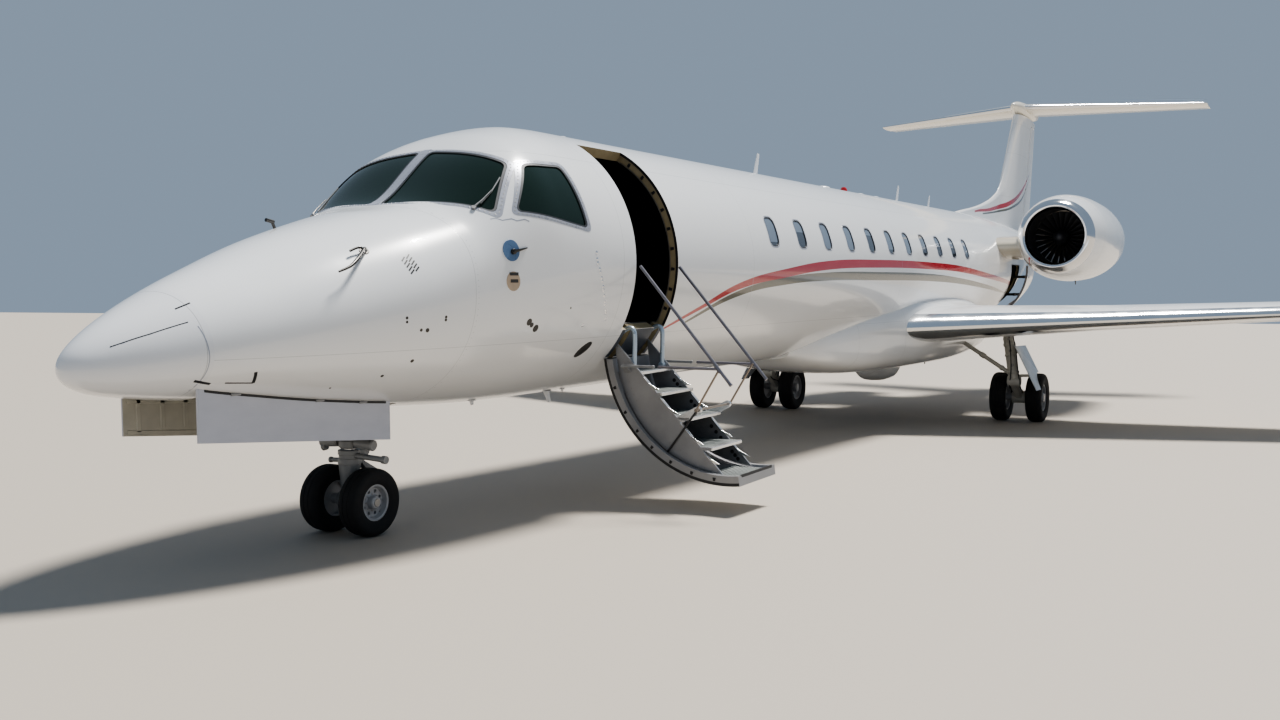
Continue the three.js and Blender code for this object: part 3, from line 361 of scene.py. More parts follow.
def bar_between(start, end, wide, thick, across=(1, 0, 0), chamfer=0.004):
    """A rectangular bar with eased long edges, its width along the given direction."""
    start, end, across = Vector(start), Vector(end), Vector(across)
    heading = (end - start).normalized()
    side = (across - heading * heading.dot(across)).normalized()
    other = heading.cross(side)
    w, t = wide / 2, thick / 2
    outline = [(w, t - chamfer), (w - chamfer, t)]
    outline += [(-u, v) for u, v in outline[::-1]]
    outline += [(-u, -v) for u, v in outline]
    return loft([[tuple(point + side * u + other * v) for u, v in outline] for point in (start, end)])


def lathe(profile, centre, axis="y", sides=48, closed=False):
    """Turns (radius, distance) pairs about a line through the centre, along x, y or z."""
    rings = [(circle(max(radius, 1e-7), sides) + (0, 0, distance))[:, AXES[axis]] + centre
             for radius, distance in profile]
    return loft([*rings, rings[0]] if closed else rings, caps=not closed)


def plate(low, high):
    (x0, y0, z0), (x1, y1, z1) = low, high
    return loft([[(x0, y0, z), (x1, y0, z), (x1, y1, z), (x0, y1, z)] for z in (z0, z1)])


def extruded(outline, first, last, axis="x"):
    """A flat outline of two coordinates, carried along the third axis."""
    return loft([np.array([(a, b, at) for a, b in outline])[:, AXES[axis]] for at in (first, last)])


def pipe(path, radius, sides=12):
    """A tube that follows points, with its section carried along without twist."""
    path = [Vector(p) for p in path]
    rings, turn = [], None
    for i, point in enumerate(path):
        heading = (path[min(i + 1, len(path) - 1)] - path[max(i - 1, 0)]).normalized()
        if turn is None:
            turn = heading.to_track_quat("Z", "Y").to_matrix()
        else:
            turn = turn.col[2].rotation_difference(heading).to_matrix() @ turn
        size = radius[i] if hasattr(radius, "__len__") else radius
        rings.append(circle(size, sides) @ np.array(turn).T + np.array(point))
    return loft(rings)


def smooth_curve(corners, steps):
    """A Catmull-Rom curve through the rows of a table."""
    table = np.array([tuple(c) for c in corners], float)
    line = np.vstack([2 * table[0] - table[1], table, 2 * table[-1] - table[-2]])
    path = [0.5 * (2 * b + (c - a) * t + (2 * a - 5 * b + 4 * c - d) * t ** 2
                   + (3 * b - a - 3 * c + d) * t ** 3)
            for a, b, c, d in zip(line, line[1:], line[2:], line[3:]) for t in np.arange(steps) / steps]
    return np.array([*path, table[-1]])


def smooth_path(corners, steps=8):
    return [Vector(p) for p in smooth_curve(corners, steps)]


def rounded_outline(corners, radius, steps=10):
    """A closed outline with each corner turned into a curve."""
    outline = []
    for before, corner, after in zip([corners[-1], *corners], corners, [*corners[1:], corners[0]]):
        start = corner + (before - corner).normalized() * radius
        end = corner + (after - corner).normalized() * radius
        outline += [(1 - t) ** 2 * start + 2 * t * (1 - t) * corner + t ** 2 * end
                    for t in (k / steps for k in range(steps + 1))]
    return outline


def window_prism(corners, radius, inward, outward, shrink=0.0):
    """A rounded prism across the skin, along the normal of the window's own corners."""
    corners = [Vector(c) for c in corners]
    centre = sum(corners, Vector()) / len(corners)
    normal = sum((a.cross(b) for a, b in zip(corners, corners[1:] + corners[:1])), Vector()).normalized()
    flat = []
    for corner in corners:
        arm = corner - centre
        arm -= normal * arm.dot(normal)
        flat.append(centre + arm * (1 - shrink / arm.length))
    outline = rounded_outline(flat, radius)
    return loft([[tuple(p + normal * d) for p in outline] for d in (-inward, outward)])


# %% [markdown]
# The fuselage is one formula. Five measures are known at a few stations: half width, top line, bottom
# line, height of the widest point, and how square the upper half is. A monotone cubic carries each
# measure between stations, so no bulge appears that the table doesn't ask for. Spacing the curve by the
# square root of the station keeps the nose round.
# %% Fuselage formula
# station, half width, top, bottom, widest height, squareness of the top (2 is an ellipse)
SECTIONS = np.array([
    (0, 0, -0.66, -0.66, -0.66, 2), (0.03, 0.11, -0.575, -0.735, -0.657, 2),
    (0.15, 0.235, -0.462, -0.8, -0.65, 2), (0.4, 0.395, -0.31, -0.848, -0.62, 2),
    (0.95, 0.64, -0.06, -0.912, -0.53, 2), (1.51, 0.815, 0.155, -0.985, -0.43, 2),
    (2.1, 0.95, 0.318, -1.05, -0.32, 2.2), (2.5, 1.015, 0.41, -1.085, -0.24, 2.6),
    (3.09, 1.085, 0.85, -1.12, -0.13, 3.1), (3.45, 1.115, 1.03, -1.132, -0.07, 2.5),
    (3.9, 1.136, 1.125, -1.139, -0.015, 2.1), (4.25, 1.14, 1.14, -1.14, 0, 2),
    (16.3, 1.14, 1.14, -1.14, 0, 2), (17.4, 1.128, 1.14, -1.09, 0.02, 2),
    (19.0, 1.03, 1.13, -0.85, 0.13, 2), (20.6, 0.845, 1.095, -0.48, 0.3, 2),
    (22.2, 0.61, 1.03, -0.07, 0.48, 2), (23.5, 0.385, 0.955, 0.29, 0.625, 2),
    (24.4, 0.205, 0.885, 0.5, 0.695, 2)])
SKIN_SIDES = 160


def monotone(at, values):
    """Slopes for a cubic that never overshoots its table."""
    rise = np.diff(values) / np.diff(at)
    inner = [0.0 if a * b <= 0 else 2 * a * b / (a + b) for a, b in zip(rise, rise[1:])]
    return np.array([rise[0], *inner, rise[-1]])


def cubic(t, span, start, end, start_slope, end_slope):
    return ((1 + 2 * t) * (1 - t) ** 2 * start + t * (1 - t) ** 2 * span * start_slope
            + t * t * (3 - 2 * t) * end + t * t * (t - 1) * span * end_slope)


SECTION_ROOTS = np.sqrt(SECTIONS[:, 0])
SECTION_SLOPES = [monotone(SECTION_ROOTS, column) for column in SECTIONS.T[1:]]


def section(s):
    """The five measures at any stations, as rows of an array."""
    root = np.sqrt(np.clip(np.asarray(s, float), 0, SECTIONS[-1, 0]))
    i = np.clip(np.searchsorted(SECTION_ROOTS, root, side="right") - 1, 0, len(SECTIONS) - 2)
    span = SECTION_ROOTS[i + 1] - SECTION_ROOTS[i]
    t = (root - SECTION_ROOTS[i]) / span
    return np.array([cubic(t, span, column[i], column[i + 1], slopes[i], slopes[i + 1])
                     for column, slopes in zip(SECTIONS.T[1:], SECTION_SLOPES)])


def skin_point(s, angle, inset=0.0):
    """Points on the skin, or under it by the inset, at stations and angles from port upwards."""
    width, top, bottom, mid, square = section(s)
    c, v = np.cos(angle), np.sin(angle)
    power = np.where(v > 0, 2 / square, 1.0)
    reach = np.where(v > 0, top - mid, mid - bottom) - inset
    x = np.maximum(width - inset, 1e-5) * np.sign(c) * np.abs(c) ** power
    h = mid + np.maximum(reach, 1e-5) * np.sign(v) * np.abs(v) ** power
    return np.stack(np.broadcast_arrays(x, np.asarray(s, float) + 0 * x, h), axis=-1)


def skin_field(p):
    """Less than 1 inside the skin and more than 1 outside it."""
    width, top, bottom, mid, square = section(p[:, 1])
    above = p[:, 2] > mid
    reach = np.where(above, top - mid, mid - bottom)
    power = np.where(above, square, 2.0)
    return (np.abs(p[:, 0]) / np.maximum(width, 1e-4)) ** power + (
        np.abs(p[:, 2] - mid) / np.maximum(reach, 1e-4)) ** power


def skin_normal(points, step=2e-4):
    """The outward normal of the skin at points near it, from the gradient of its own equation."""
    points = np.atleast_2d(np.asarray(points, float))
    gradient = np.stack([skin_field(points + a) - skin_field(points - a) for a in step * np.eye(3)], axis=1)
    return gradient / np.maximum(np.linalg.norm(gradient, axis=1, keepdims=True), 1e-12)


def onto_skin(points, direction, reach=0.4):
    """Slides points along a direction, inwards or outwards, until they lie on the skin."""
    points, direction = np.atleast_2d(np.asarray(points, float)), np.asarray(direction, float)
    low, high = np.full(len(points), -reach), np.full(len(points), reach)
    for _ in range(40):
        middle = (low + high) / 2
        outside = skin_field(points + middle[:, None] * direction) > 1
        low, high = np.where(outside, low, middle), np.where(outside, middle, high)
    return points + ((low + high) / 2)[:, None] * direction


def side_point(s, h, side=1):
    """The point of the skin at a station and height, on the port side, or on the other with side -1."""
    return onto_skin([[0.7 * side, s, h]], (side, 0, 0), reach=0.69)[0]


def skin_rings(stations, inset=0.0):
    return [skin_point(np.full(SKIN_SIDES, s), turns(SKIN_SIDES), inset) for s in stations]


def spaced(first, last, step):
    return np.linspace(first, last, max(2, ceil((last - first) / step)))


def hull(first, last, inset=0.0, step=0.08):
    stations = spaced(first, last, step) if first else last * np.linspace(0.004, 1, int(last / 0.02)) ** 2
    return loft(skin_rings(stations, inset))


def shell(first, last, wall, step=0.08, outer=0.0):
    """A tube of the skin with a wall, as two lofts joined at both ends."""
    stations = spaced(first, last, step)
    outside, inside = skin_rings(stations, outer), skin_rings(stations, outer + wall)
    return loft([*outside, *inside[::-1], outside[0]], caps=False)


def read_all(rows, key, width=3, kind=float):
    """One property of every row of a mesh, as an array."""
    values = np.empty(len(rows) * width, kind)
    rows.foreach_get(key, values)
    return values.reshape(-1, width) if width > 1 else values


def follow_skin(obj, tolerance=0.9, lining=None, jamb=None):
    """Gives the outside of a cut skin the formula's own normals, so that no cut shows in the gloss."""
    mesh = obj.data
    back = np.array(AIR.inverted())
    turn = np.array(AIR)[:3, :3].T
    exact = skin_normal(read_all(mesh.vertices, "co") @ back[:3, :3].T + back[:3, 3]) @ turn
    corner_normals = read_all(mesh.corner_normals, "vector")
    vertex = read_all(mesh.loops, "vertex_index", 1, int)
    owner = np.repeat(np.arange(len(mesh.polygons)), read_all(mesh.polygons, "loop_total", 1, int))
    facing = np.sum(read_all(mesh.polygons, "normal")[owner] * exact[vertex], axis=1)
    corner_normals[facing > tolerance] = exact[vertex][facing > tolerance]
    corner_normals[facing < -tolerance] = -exact[vertex][facing < -tolerance]
    if lining:
        mesh.materials.append(lining)
        mesh.materials.append(jamb)
        least = np.full(len(mesh.polygons), 1.0)
        np.minimum.at(least, owner, facing)
        for polygon, way in zip(mesh.polygons, least):
            polygon.material_index = 1 if way < -0.6 else 2 if way < 0.6 else 0
    mesh.normals_split_custom_set([tuple(n) for n in corner_normals])

# %% [markdown]
# Paint is most of what shows. On a clean white jet the eye still finds faint seams where the skins
# meet, rows of flush rivets, a little road film low down, and the two long stripes. One group turns the
# frame's coordinates back into drawing coordinates, so that every paint can ask for a station or height.
# %% Shared shader groups
def new_group(name, inputs, outputs):
    """A shader node group, with its inputs' outputs and its output's inputs."""
    group = bpy.data.node_groups.new(name, "ShaderNodeTree")
    for way, sockets in (("INPUT", inputs), ("OUTPUT", dict.fromkeys(outputs))):
        for socket_name, value in sockets.items():
            kind = "NodeSocketVector" if socket_name in ("Point", "Stretch") else "NodeSocketFloat"
            socket = group.interface.new_socket(socket_name, in_out=way, socket_type=kind)
            if value is not None:
                socket.default_value = value
    return group, group.nodes.new("NodeGroupInput").outputs, group.nodes.new("NodeGroupOutput").inputs


def use(tree, group, inputs=None):
    """Places a group in a material's tree and returns its outputs."""
    return put(tree, "ShaderNodeGroup", inputs, node_tree=group).outputs


DRAWING, _, result = new_group("drawing coordinates", {}, ("Point", "Out", "Station", "Height"))
inverse = AIR.inverted()
turned_back = put(DRAWING, "ShaderNodeMapping", {
    "Vector": object_point(DRAWING), "Location": inverse.translation,
    "Rotation": inverse.to_euler()}).outputs[0]
split = put(DRAWING, "ShaderNodeSeparateXYZ", {0: turned_back})
DRAWING.links.new(turned_back, result["Point"])
for socket, source in (("Out", "X"), ("Station", "Y"), ("Height", "Z")):
    DRAWING.links.new(split.outputs[source], result[socket])


def band(tree, value, centre, half_width, soft=0.0015):
    """1 where a value is within half a width of a centre, with a soft edge."""
    away = maths(tree, "ABSOLUTE", maths(tree, "SUBTRACT", value, centre))
    return maths(tree, "DIVIDE", maths(tree, "SUBTRACT", maths(tree, "ADD", half_width, soft), away), soft,
                 clamp=True)


SEAM, source, result = new_group("skin seam", {"Value": 0.0, "Place": 0.0, "Half width": 0.0015}, ["Mask"])
SEAM.links.new(band(SEAM, source["Value"], source["Place"], source["Half width"]), result["Mask"])

RIVETS, source, result = new_group(
    "rivet row", {"Across": 0.0, "Place": 0.0, "Along": 0.0, "Pitch": 0.04, "Radius": 0.0035}, ["Mask"])
do = partial(maths, RIVETS)
across = do("SUBTRACT", source["Across"], source["Place"])
along = do("WRAP", source["Along"], do("MULTIPLY", source["Pitch"], 0.5),
           do("MULTIPLY", source["Pitch"], -0.5))
away = do("SQRT", do("ADD", do("POWER", across, 2.0), do("POWER", along, 2.0)))
RIVETS.links.new(do("LESS_THAN", away, source["Radius"]), result["Mask"])

FILM, source, result = new_group(
    "road film", {"Point": None, "Scale": 3.0, "Amount": 0.3, "Stretch": (1, 0.25, 1)}, ["Mask"])
stretched = put(FILM, "ShaderNodeVectorMath", {0: source["Point"], 1: source["Stretch"]},
                operation="MULTIPLY")
coarse = put(FILM, "ShaderNodeTexNoise", {
    "Vector": stretched.outputs[0], "Scale": source["Scale"], "Detail": 6.0,
    "Roughness": 0.62}).outputs["Fac"]
spread = maths(FILM, "MULTIPLY_ADD", coarse, 2.2, -0.85, clamp=True)
FILM.links.new(maths(FILM, "MULTIPLY", spread, source["Amount"]), result["Mask"])

WEAR, source, result = new_group("edge wear", {"Radius": 0.004, "Point": None}, ["Mask"])
do = partial(maths, WEAR)
rounded = put(WEAR, "ShaderNodeBevel", {"Radius": source["Radius"]}, samples=4).outputs[0]
flat = put(WEAR, "ShaderNodeNewGeometry").outputs["Normal"]
turned_edge = put(WEAR, "ShaderNodeVectorMath", {0: rounded, 1: flat},
                  operation="DOT_PRODUCT").outputs["Value"]
worn = do("MULTIPLY", do("SUBTRACT", 1.0, turned_edge), 6.0, clamp=True)
patchy = put(WEAR, "ShaderNodeTexNoise", {
    "Vector": source["Point"], "Scale": 60.0, "Detail": 4.0}).outputs["Fac"]
WEAR.links.new(do("MULTIPLY", worn, do("MULTIPLY_ADD", patchy, 1.6, -0.3, clamp=True)), result["Mask"])

# %% [markdown]
# The stripes run along both sides from below the door to the tail. Each is a curve of height against
# station and a curve of half width, which a Float Curve node can hold, scaled to 0 to 1 both ways.
# %% Stripe group
# station, height of the middle, half width
RED_STRIPE = [(5.0, -0.63, 0.0), (5.14, -0.58, 0.012), (5.68, -0.41, 0.02), (6.42, -0.21, 0.032),
              (7.62, -0.07, 0.045), (8.79, 0.02, 0.05), (10.57, 0.06, 0.05), (12.81, 0.06, 0.05),
              (14.45, 0.03, 0.048), (16.42, -0.08, 0.042), (17.99, -0.18, 0.035), (19.0, -0.25, 0.03)]
GREY_STRIPE = [(5.0, -0.74, 0.0), (5.5, -0.535, 0.012), (6.47, -0.275, 0.028), (7.65, -0.155, 0.04),
               (8.81, -0.11, 0.047), (10.58, -0.1, 0.052), (12.83, -0.11, 0.052), (14.5, -0.16, 0.045),
               (16.56, -0.275, 0.032), (17.8, -0.36, 0.012), (19.0, -0.4, 0.0)]
FIN_RED = [(19.5, 1.22, 0.0), (19.69, 1.25, 0.016), (21.02, 1.363, 0.035), (22.48, 1.6, 0.05),
           (23.4, 1.87, 0.045), (23.9, 2.06, 0.03), (24.39, 2.271, 0.012), (24.8, 2.45, 0.0)]
FIN_GREY = [(19.9, 1.2, 0.0), (20.34, 1.235, 0.012), (21.6, 1.35, 0.02), (22.49, 1.48, 0.026),
            (23.58, 1.745, 0.026), (24.19, 2.03, 0.014), (24.6, 2.26, 0.0)]


def curve_node(tree, factor, pairs):
    node = put(tree, "ShaderNodeFloatCurve", {"Value": factor})
    points = node.mapping.curves[0].points
    points[0].location, points[1].location = pairs[:2]
    for pair in pairs[2:]:
        points.new(*pair)
    node.mapping.update()
    return node.outputs[0]


def stripe_mask(tree, station, height, rows):
    do = partial(maths, tree)
    start, length = rows[0][0], rows[-1][0] - rows[0][0]
    along = do("DIVIDE", do("SUBTRACT", station, start), length, clamp=True)
    middle = curve_node(tree, along, [((s - start) / length, (h + 1) / 4) for s, h, _ in rows])
    middle = do("MULTIPLY_ADD", middle, 4.0, -1.0)
    half = do("MULTIPLY", curve_node(tree, along, [((s - start) / length, w * 10) for s, _, w in rows]), 0.1)
    inside = band(tree, height, middle, half, soft=0.003)
    return do("MULTIPLY", inside, do("GREATER_THAN", station, rows[1][0] - 0.05))


def stripe_group(name, **stripes):
    group, source, result = new_group(name, {"Station": 0.0, "Height": 0.0}, stripes)
    for socket, rows in stripes.items():
        group.links.new(stripe_mask(group, source["Station"], source["Height"], rows), result[socket])
    return group


STRIPES = stripe_group("stripes", Red=RED_STRIPE, Grey=GREY_STRIPE)
FIN_STRIPES = stripe_group("fin stripes", Red=FIN_RED, Grey=FIN_GREY)

# %% [markdown]
# White aircraft paint is a hard glossy enamel: almost neutral, with a clear layer on top. Seams are
# lines about a millimetre wide, filled with sealant that has gone grey, so they are a faint colour and a
# faint dip rather than black drawn lines.
# %% Airframe paints
WHITE = (0.83, 0.84, 0.85)
SEAM_GREY = (0.42, 0.43, 0.44, 1)
FILM_TAN = (0.55, 0.5, 0.43, 1)
STRIPE_RED = (0.46, 0.008, 0.018, 1)
STRIPE_GREY = (0.12, 0.115, 0.085, 1)


def airframe_paint(name, color, seams=(), rivets=(), film=0.16, stripes=None, roughness=0.22):
    """Gloss paint. Seams are (coordinate, places, half width); rivets (across, place, along, pitch)."""
    material, tree, shader = finish(name, color, roughness, **{
        "Coat Weight": 0.6, "Coat Roughness": 0.04, "Specular IOR Level": 0.5})
    do = partial(maths, tree)
    drawing = use(tree, DRAWING)
    base = (*color, 1)
    if stripes:
        masks = use(tree, stripes, {"Station": drawing["Station"], "Height": drawing["Height"]})
        base = mix_color(tree, masks["Grey"], base, STRIPE_GREY)
        base = mix_color(tree, masks["Red"], base, STRIPE_RED)
    low_down = do("MULTIPLY_ADD", drawing["Height"], -0.8, 0.15, clamp=True)
    dirt = use(tree, FILM, {"Point": drawing["Point"], "Scale": 2.2, "Amount": film})[0]
    base = mix_color(tree, do("MULTIPLY", dirt, do("ADD", low_down, 0.25)), base, FILM_TAN)
    marks = [use(tree, SEAM, {"Value": drawing[coordinate], "Place": place, "Half width": half})[0]
             for coordinate, places, half in seams for place in places]
    marks += [use(tree, RIVETS, {"Across": drawing[across], "Place": place, "Along": drawing[along],
                                 "Pitch": pitch})[0]
              for across, place, along, pitch in rivets]
    height = do("MULTIPLY", noise(tree, drawing["Point"], 1.3, detail=2), 0.35)
    if marks:
        lines = reduce(partial(do, "MAXIMUM"), marks)
        base = mix_color(tree, do("MULTIPLY", lines, 0.6), base, SEAM_GREY)
        height = do("SUBTRACT", height, lines)
    tree.links.new(base, shader.inputs["Base Color"])
    bump(tree, shader, height, 0.18, 0.0015)
    return material


def rivet_rows(*places, pitch):
    return [("Station", place, "Height", pitch) for place in places]


FIN_SEAMS = [("Height", (1.7, 2.7, 3.4), 0.0012)]
PAINT_CABIN = airframe_paint("cabin paint", WHITE, [
    ("Station", (2.42, 4.18, 6.7, 11.516, 16.3, 19.9), 0.0012), ("Height", (-0.62, 0.82), 0.0008)],
    rivet_rows(2.445, 16.33, pitch=0.04), stripes=STRIPES)
PAINT_NOSE = airframe_paint("radome paint", (0.8, 0.81, 0.83), [("Station", (0.585,), 0.0018)])
PAINT_FAIRING = airframe_paint("fairing paint", (0.8, 0.81, 0.82), [
    ("Station", (10.42, 11.9, 13.3, 14.95), 0.0014), ("Height", (-0.72,), 0.001)],
    [*rivet_rows(10.45, pitch=0.035), ("Height", -0.745, "Station", 0.045)], film=0.24)
PAINT_WING = airframe_paint("wing paint", (0.74, 0.75, 0.76), [
    ("Out", (-8.2, -6.4, -5.1, -3.7, -2.4, 2.4, 3.7, 5.1, 6.4, 8.2), 0.0012)], film=0.2, roughness=0.3)
PAINT_TAIL = airframe_paint("fin paint", WHITE, FIN_SEAMS)
PAINT_FIN = airframe_paint("fin and rudder paint", WHITE, FIN_SEAMS, stripes=FIN_STRIPES)
# The pylons are a darker beige than the airframe: painted shade for the shaded pylon face beside the nacelle.
PYLON_SHADE_PAINT = airframe_paint("pylon paint with painted shade", (0.52, 0.47, 0.38), [("Out", (-1.35, 1.35), 0.0012)])
# The tailplane's cream is painted reflection: the warm light that the ground throws on its underside.
CREAM_GROUND_LIGHT_PAINT = airframe_paint("tailplane cream with painted ground light", (0.8, 0.75, 0.64), [("Out", (-1.9, -0.6, 0.6, 1.9), 0.0012)])
PAINT_NACELLE = airframe_paint("nacelle paint", (0.82, 0.83, 0.84), [
    ("Station", (17.72, 18.93, 19.85), 0.002)], rivet_rows(17.75, 18.9, pitch=0.05), film=0.18)
DOOR_SKIN = airframe_paint("stair door paint", WHITE)


# %% [markdown]
# Metals differ by what made them. A leading edge is polished by hand and mirrors the sky; a gear leg is
# cast or machined, painted a pale grey and oily in its corners; chrome shows only on the sliding tubes.
# %% Metals and rubber
def plain_finish(name, color, roughness, metallic=0.0, variation=0.25, scale=14.0, grain=0.0, wear=None,
                 **sockets):
    """A finish whose colour and roughness drift a little, with worn edges if asked."""
    material, tree, shader = finish(name, color, roughness, metallic, **sockets)
    point = object_point(tree)
    drift = noise(tree, point, scale, detail=5)
    base = mix_color(tree, drift, (*(c * (1 - variation) for c in color), 1), (*color, 1))
    if wear:
        base = mix_color(tree, use(tree, WEAR, {"Point": point, "Radius": 0.004})[0], base, (*wear, 1))
    tree.links.new(base, shader.inputs["Base Color"])
    tree.links.new(maths(tree, "MULTIPLY_ADD", drift, 0.25, roughness - 0.12, clamp=True),
                   shader.inputs["Roughness"])
    if grain:
        bump(tree, shader, noise(tree, point, scale * 12, detail=3), grain, 0.001)
    return material


# name, colour, roughness, metal share, variation, scale of the drift, grain, colour of worn edges
POLISHED = plain_finish("polished skin", (0.8, 0.81, 0.82), 0.14, 1.0, 0.06, 3)
INTAKE_LIP = plain_finish("intake lip", (0.78, 0.78, 0.79), 0.12, 1.0, 0.08, 5)
CHROME = plain_finish("sliding tube chrome", (0.82, 0.83, 0.84), 0.1, 1.0, 0.1)
LEG_PAINT = plain_finish("main leg enamel", (0.62, 0.6, 0.54), 0.42, 0.1, 0.3, 14, 0.06)
GEAR_PAINT = plain_finish("gear enamel", (0.33, 0.335, 0.34), 0.42, 0.1, 0.35, 18, 0.08, (0.5, 0.5, 0.49))
STEEL = plain_finish("bare steel", (0.42, 0.41, 0.4), 0.38, 0.9, 0.4, 30, 0.05)
FRAME_ENAMEL = plain_finish("window frame enamel", (0.4, 0.42, 0.48), 0.3, 0.25, 0.12, 20)
HOSE = plain_finish("hose rubber", (0.03, 0.03, 0.032), 0.6, 0, 0.3)
SEAL = plain_finish("window seal", (0.055, 0.06, 0.07), 0.55, 0, 0.3, 40)
RUBBER = plain_finish("tyre rubber", (0.013, 0.013, 0.014), 0.78, 0, 0.4, 22, 0.25)
HUB_PAINT = plain_finish("wheel enamel", (0.38, 0.39, 0.41), 0.35, 0.15, 0.2, 25, 0, (0.45, 0.44, 0.43))
# The jamb primer is golden tan, set lighter than its own tone: painted light for the shade on the jamb faces.
PRIMER = plain_finish("door jamb primer lightened for shade", (0.4, 0.33, 0.2), 0.55, 0.1, 0.45, 16, 0.08)
BLACK_TRIM = plain_finish("black trim", (0.02, 0.02, 0.022), 0.4, 0, 0.3)
# The stair's grey metal is set lighter than its own tone: painted light for the shade on the pan between the
# treads.
STAIR_WEB = plain_finish("stair web lightened for shade", (0.4, 0.4, 0.41), 0.36, 0.55, 0.3, 7, 0.04, (0.75, 0.76, 0.77))
STAIR_BRIGHT = plain_finish("stair edge trim", (0.86, 0.87, 0.88), 0.22, 0.85, 0.1)
TREAD = plain_finish("stair tread", (0.24, 0.26, 0.25), 0.6, 0.4, 0.3, 35, 0.25)
RAIL_TUBE = plain_finish("handrail tube", (0.26, 0.25, 0.28), 0.34, 0.7, 0.18, 9)
POST_METAL = plain_finish("rail post metal", (0.34, 0.29, 0.25), 0.35, 0.7)
ARM_METAL = plain_finish("hinge arm metal", (0.52, 0.62, 0.72), 0.3, 0.55, 0.15)
# The sill plate's dark blue is partly painted shade, for the shade that falls under the sill.
SILL_PLATE_AND_SHADE = plain_finish("sill scuff plate and painted shade", (0.085, 0.1, 0.125), 0.4, 0.4, 0.3, 9)
PAN_GREY = plain_finish("door pan primer", (0.52, 0.52, 0.56), 0.5, 0.1, 0.3, 12, 0.06)
# The cabin lining is near black: painted shade for the dark inside of the cabin and the baggage bay.
SHADE_LINING = plain_finish("cabin lining painted as shade", (0.035, 0.03, 0.028), 0.75, 0, 0.4)
WELL_PRIMER = plain_finish("well primer", (0.56, 0.54, 0.47), 0.6, 0, 0.35, 9)
LEATHER = plain_finish("seat leather", (0.2, 0.16, 0.12), 0.5, 0, 0.3, 30, 0.3)
PANEL_BLACK = plain_finish("instrument panel", (0.03, 0.03, 0.033), 0.5, 0, 0.3, 30, 0.1)
WALNUT = plain_finish("cabinet veneer", (0.16, 0.09, 0.05), 0.3, 0, 0.5, 8)
CARPET = plain_finish("cabin carpet", (0.12, 0.1, 0.085), 0.95, 0, 0.4, 60, 0.4)
FAN_TITANIUM = plain_finish("fan titanium", (0.055, 0.055, 0.06), 0.45, 0.6, 0.3)
DUCT_LINER = plain_finish("duct liner", (0.025, 0.026, 0.03), 0.6, 0.2, 0.3, 12)
HOT_METAL = plain_finish("exhaust metal", (0.3, 0.26, 0.22), 0.4, 0.9, 0.45, 5)
BEACON_RED = plain_finish("beacon lens", (0.55, 0.02, 0.02), 0.12, 0, 0.1, **{"Coat Weight": 1.0})
GREEN_LENS = plain_finish("green lens", (0.02, 0.32, 0.1), 0.12, 0, 0.1, **{"Coat Weight": 1.0})
PROBE_BLUE = plain_finish("vane disc blue", (0.13, 0.22, 0.38), 0.3, 0, 0.3, 25)
PROBE_TAN = plain_finish("port disc tan", (0.6, 0.47, 0.35), 0.38, 0.6, 0.3, 25)
PROBE_DARK = plain_finish("probe nickel", (0.1, 0.095, 0.09), 0.35, 0.85, 0.3)


def drifting(name, between, roughness, scale, detail=3.0, stretch=(1, 1, 1), **sockets):
    """A smooth finish whose colour wanders between two colours."""
    color, low, high = between
    material, tree, shader = finish(name, color, roughness, **sockets)
    drift = noise(tree, object_point(tree), scale, detail, stretch=stretch)
    tree.links.new(ramp(tree, drift, [(0.3, (*low, 1)), (0.7, (*high, 1))]), shader.inputs["Base Color"])
    return material


DOOR_PAINT = drifting("door paint", ((0.42, 0.44, 0.5), (0.46, 0.48, 0.55), (0.5, 0.52, 0.59)), 0.34, 5.0, 6,
                      (1, 1, 3), **{"Coat Weight": 0.3, "Coat Roughness": 0.15})
LEG_DOOR = drifting(
    "leg door paint", ((0.7, 0.74, 0.8), (0.63, 0.68, 0.75), (0.74, 0.78, 0.84)), 0.25, 4.0, 5,
    **{"Coat Weight": 0.5, "Coat Roughness": 0.08})
SCREEN = drifting("display glass", ((0.012, 0.016, 0.022), (0.008, 0.012, 0.018), (0.02, 0.028, 0.038)), 0.06,
                  30.0, **{"Coat Weight": 1.0})

# %% [markdown]
# Cockpit glass is thick and almost black from outside, with a faint green body. It stays a real glass,
# so that the panel and seats show through it. The cabin panes are small and backed by shades, which
# makes them a flat grey-blue in daylight.
# %% Glass
COCKPIT_GLASS = finish("cockpit glass", (0.02, 0.045, 0.035), 0.01, **{
    "Transmission Weight": 0.5, "IOR": 1.45, "Specular IOR Level": 0.3})[0]
PANE, tree, shader = finish("cabin pane", (0.1, 0.13, 0.17), 0.08,
                            **{"Coat Weight": 1.0, "Coat Roughness": 0.03})
do = partial(maths, tree)
drawing = use(tree, DRAWING)
number = do("FLOOR", do("DIVIDE", do("SUBTRACT", drawing["Station"], 6.884), 0.772))
shade_drop = put(tree, "ShaderNodeTexWhiteNoise", {"W": number}, noise_dimensions="1D").outputs["Value"]
shaded = do("GREATER_THAN", drawing["Height"], do("SUBTRACT", 0.42, do("MULTIPLY", shade_drop, 0.3)))
tree.links.new(mix_color(tree, shaded, (0.045, 0.055, 0.07, 1), (0.17, 0.21, 0.27, 1)),
               shader.inputs["Base Color"])

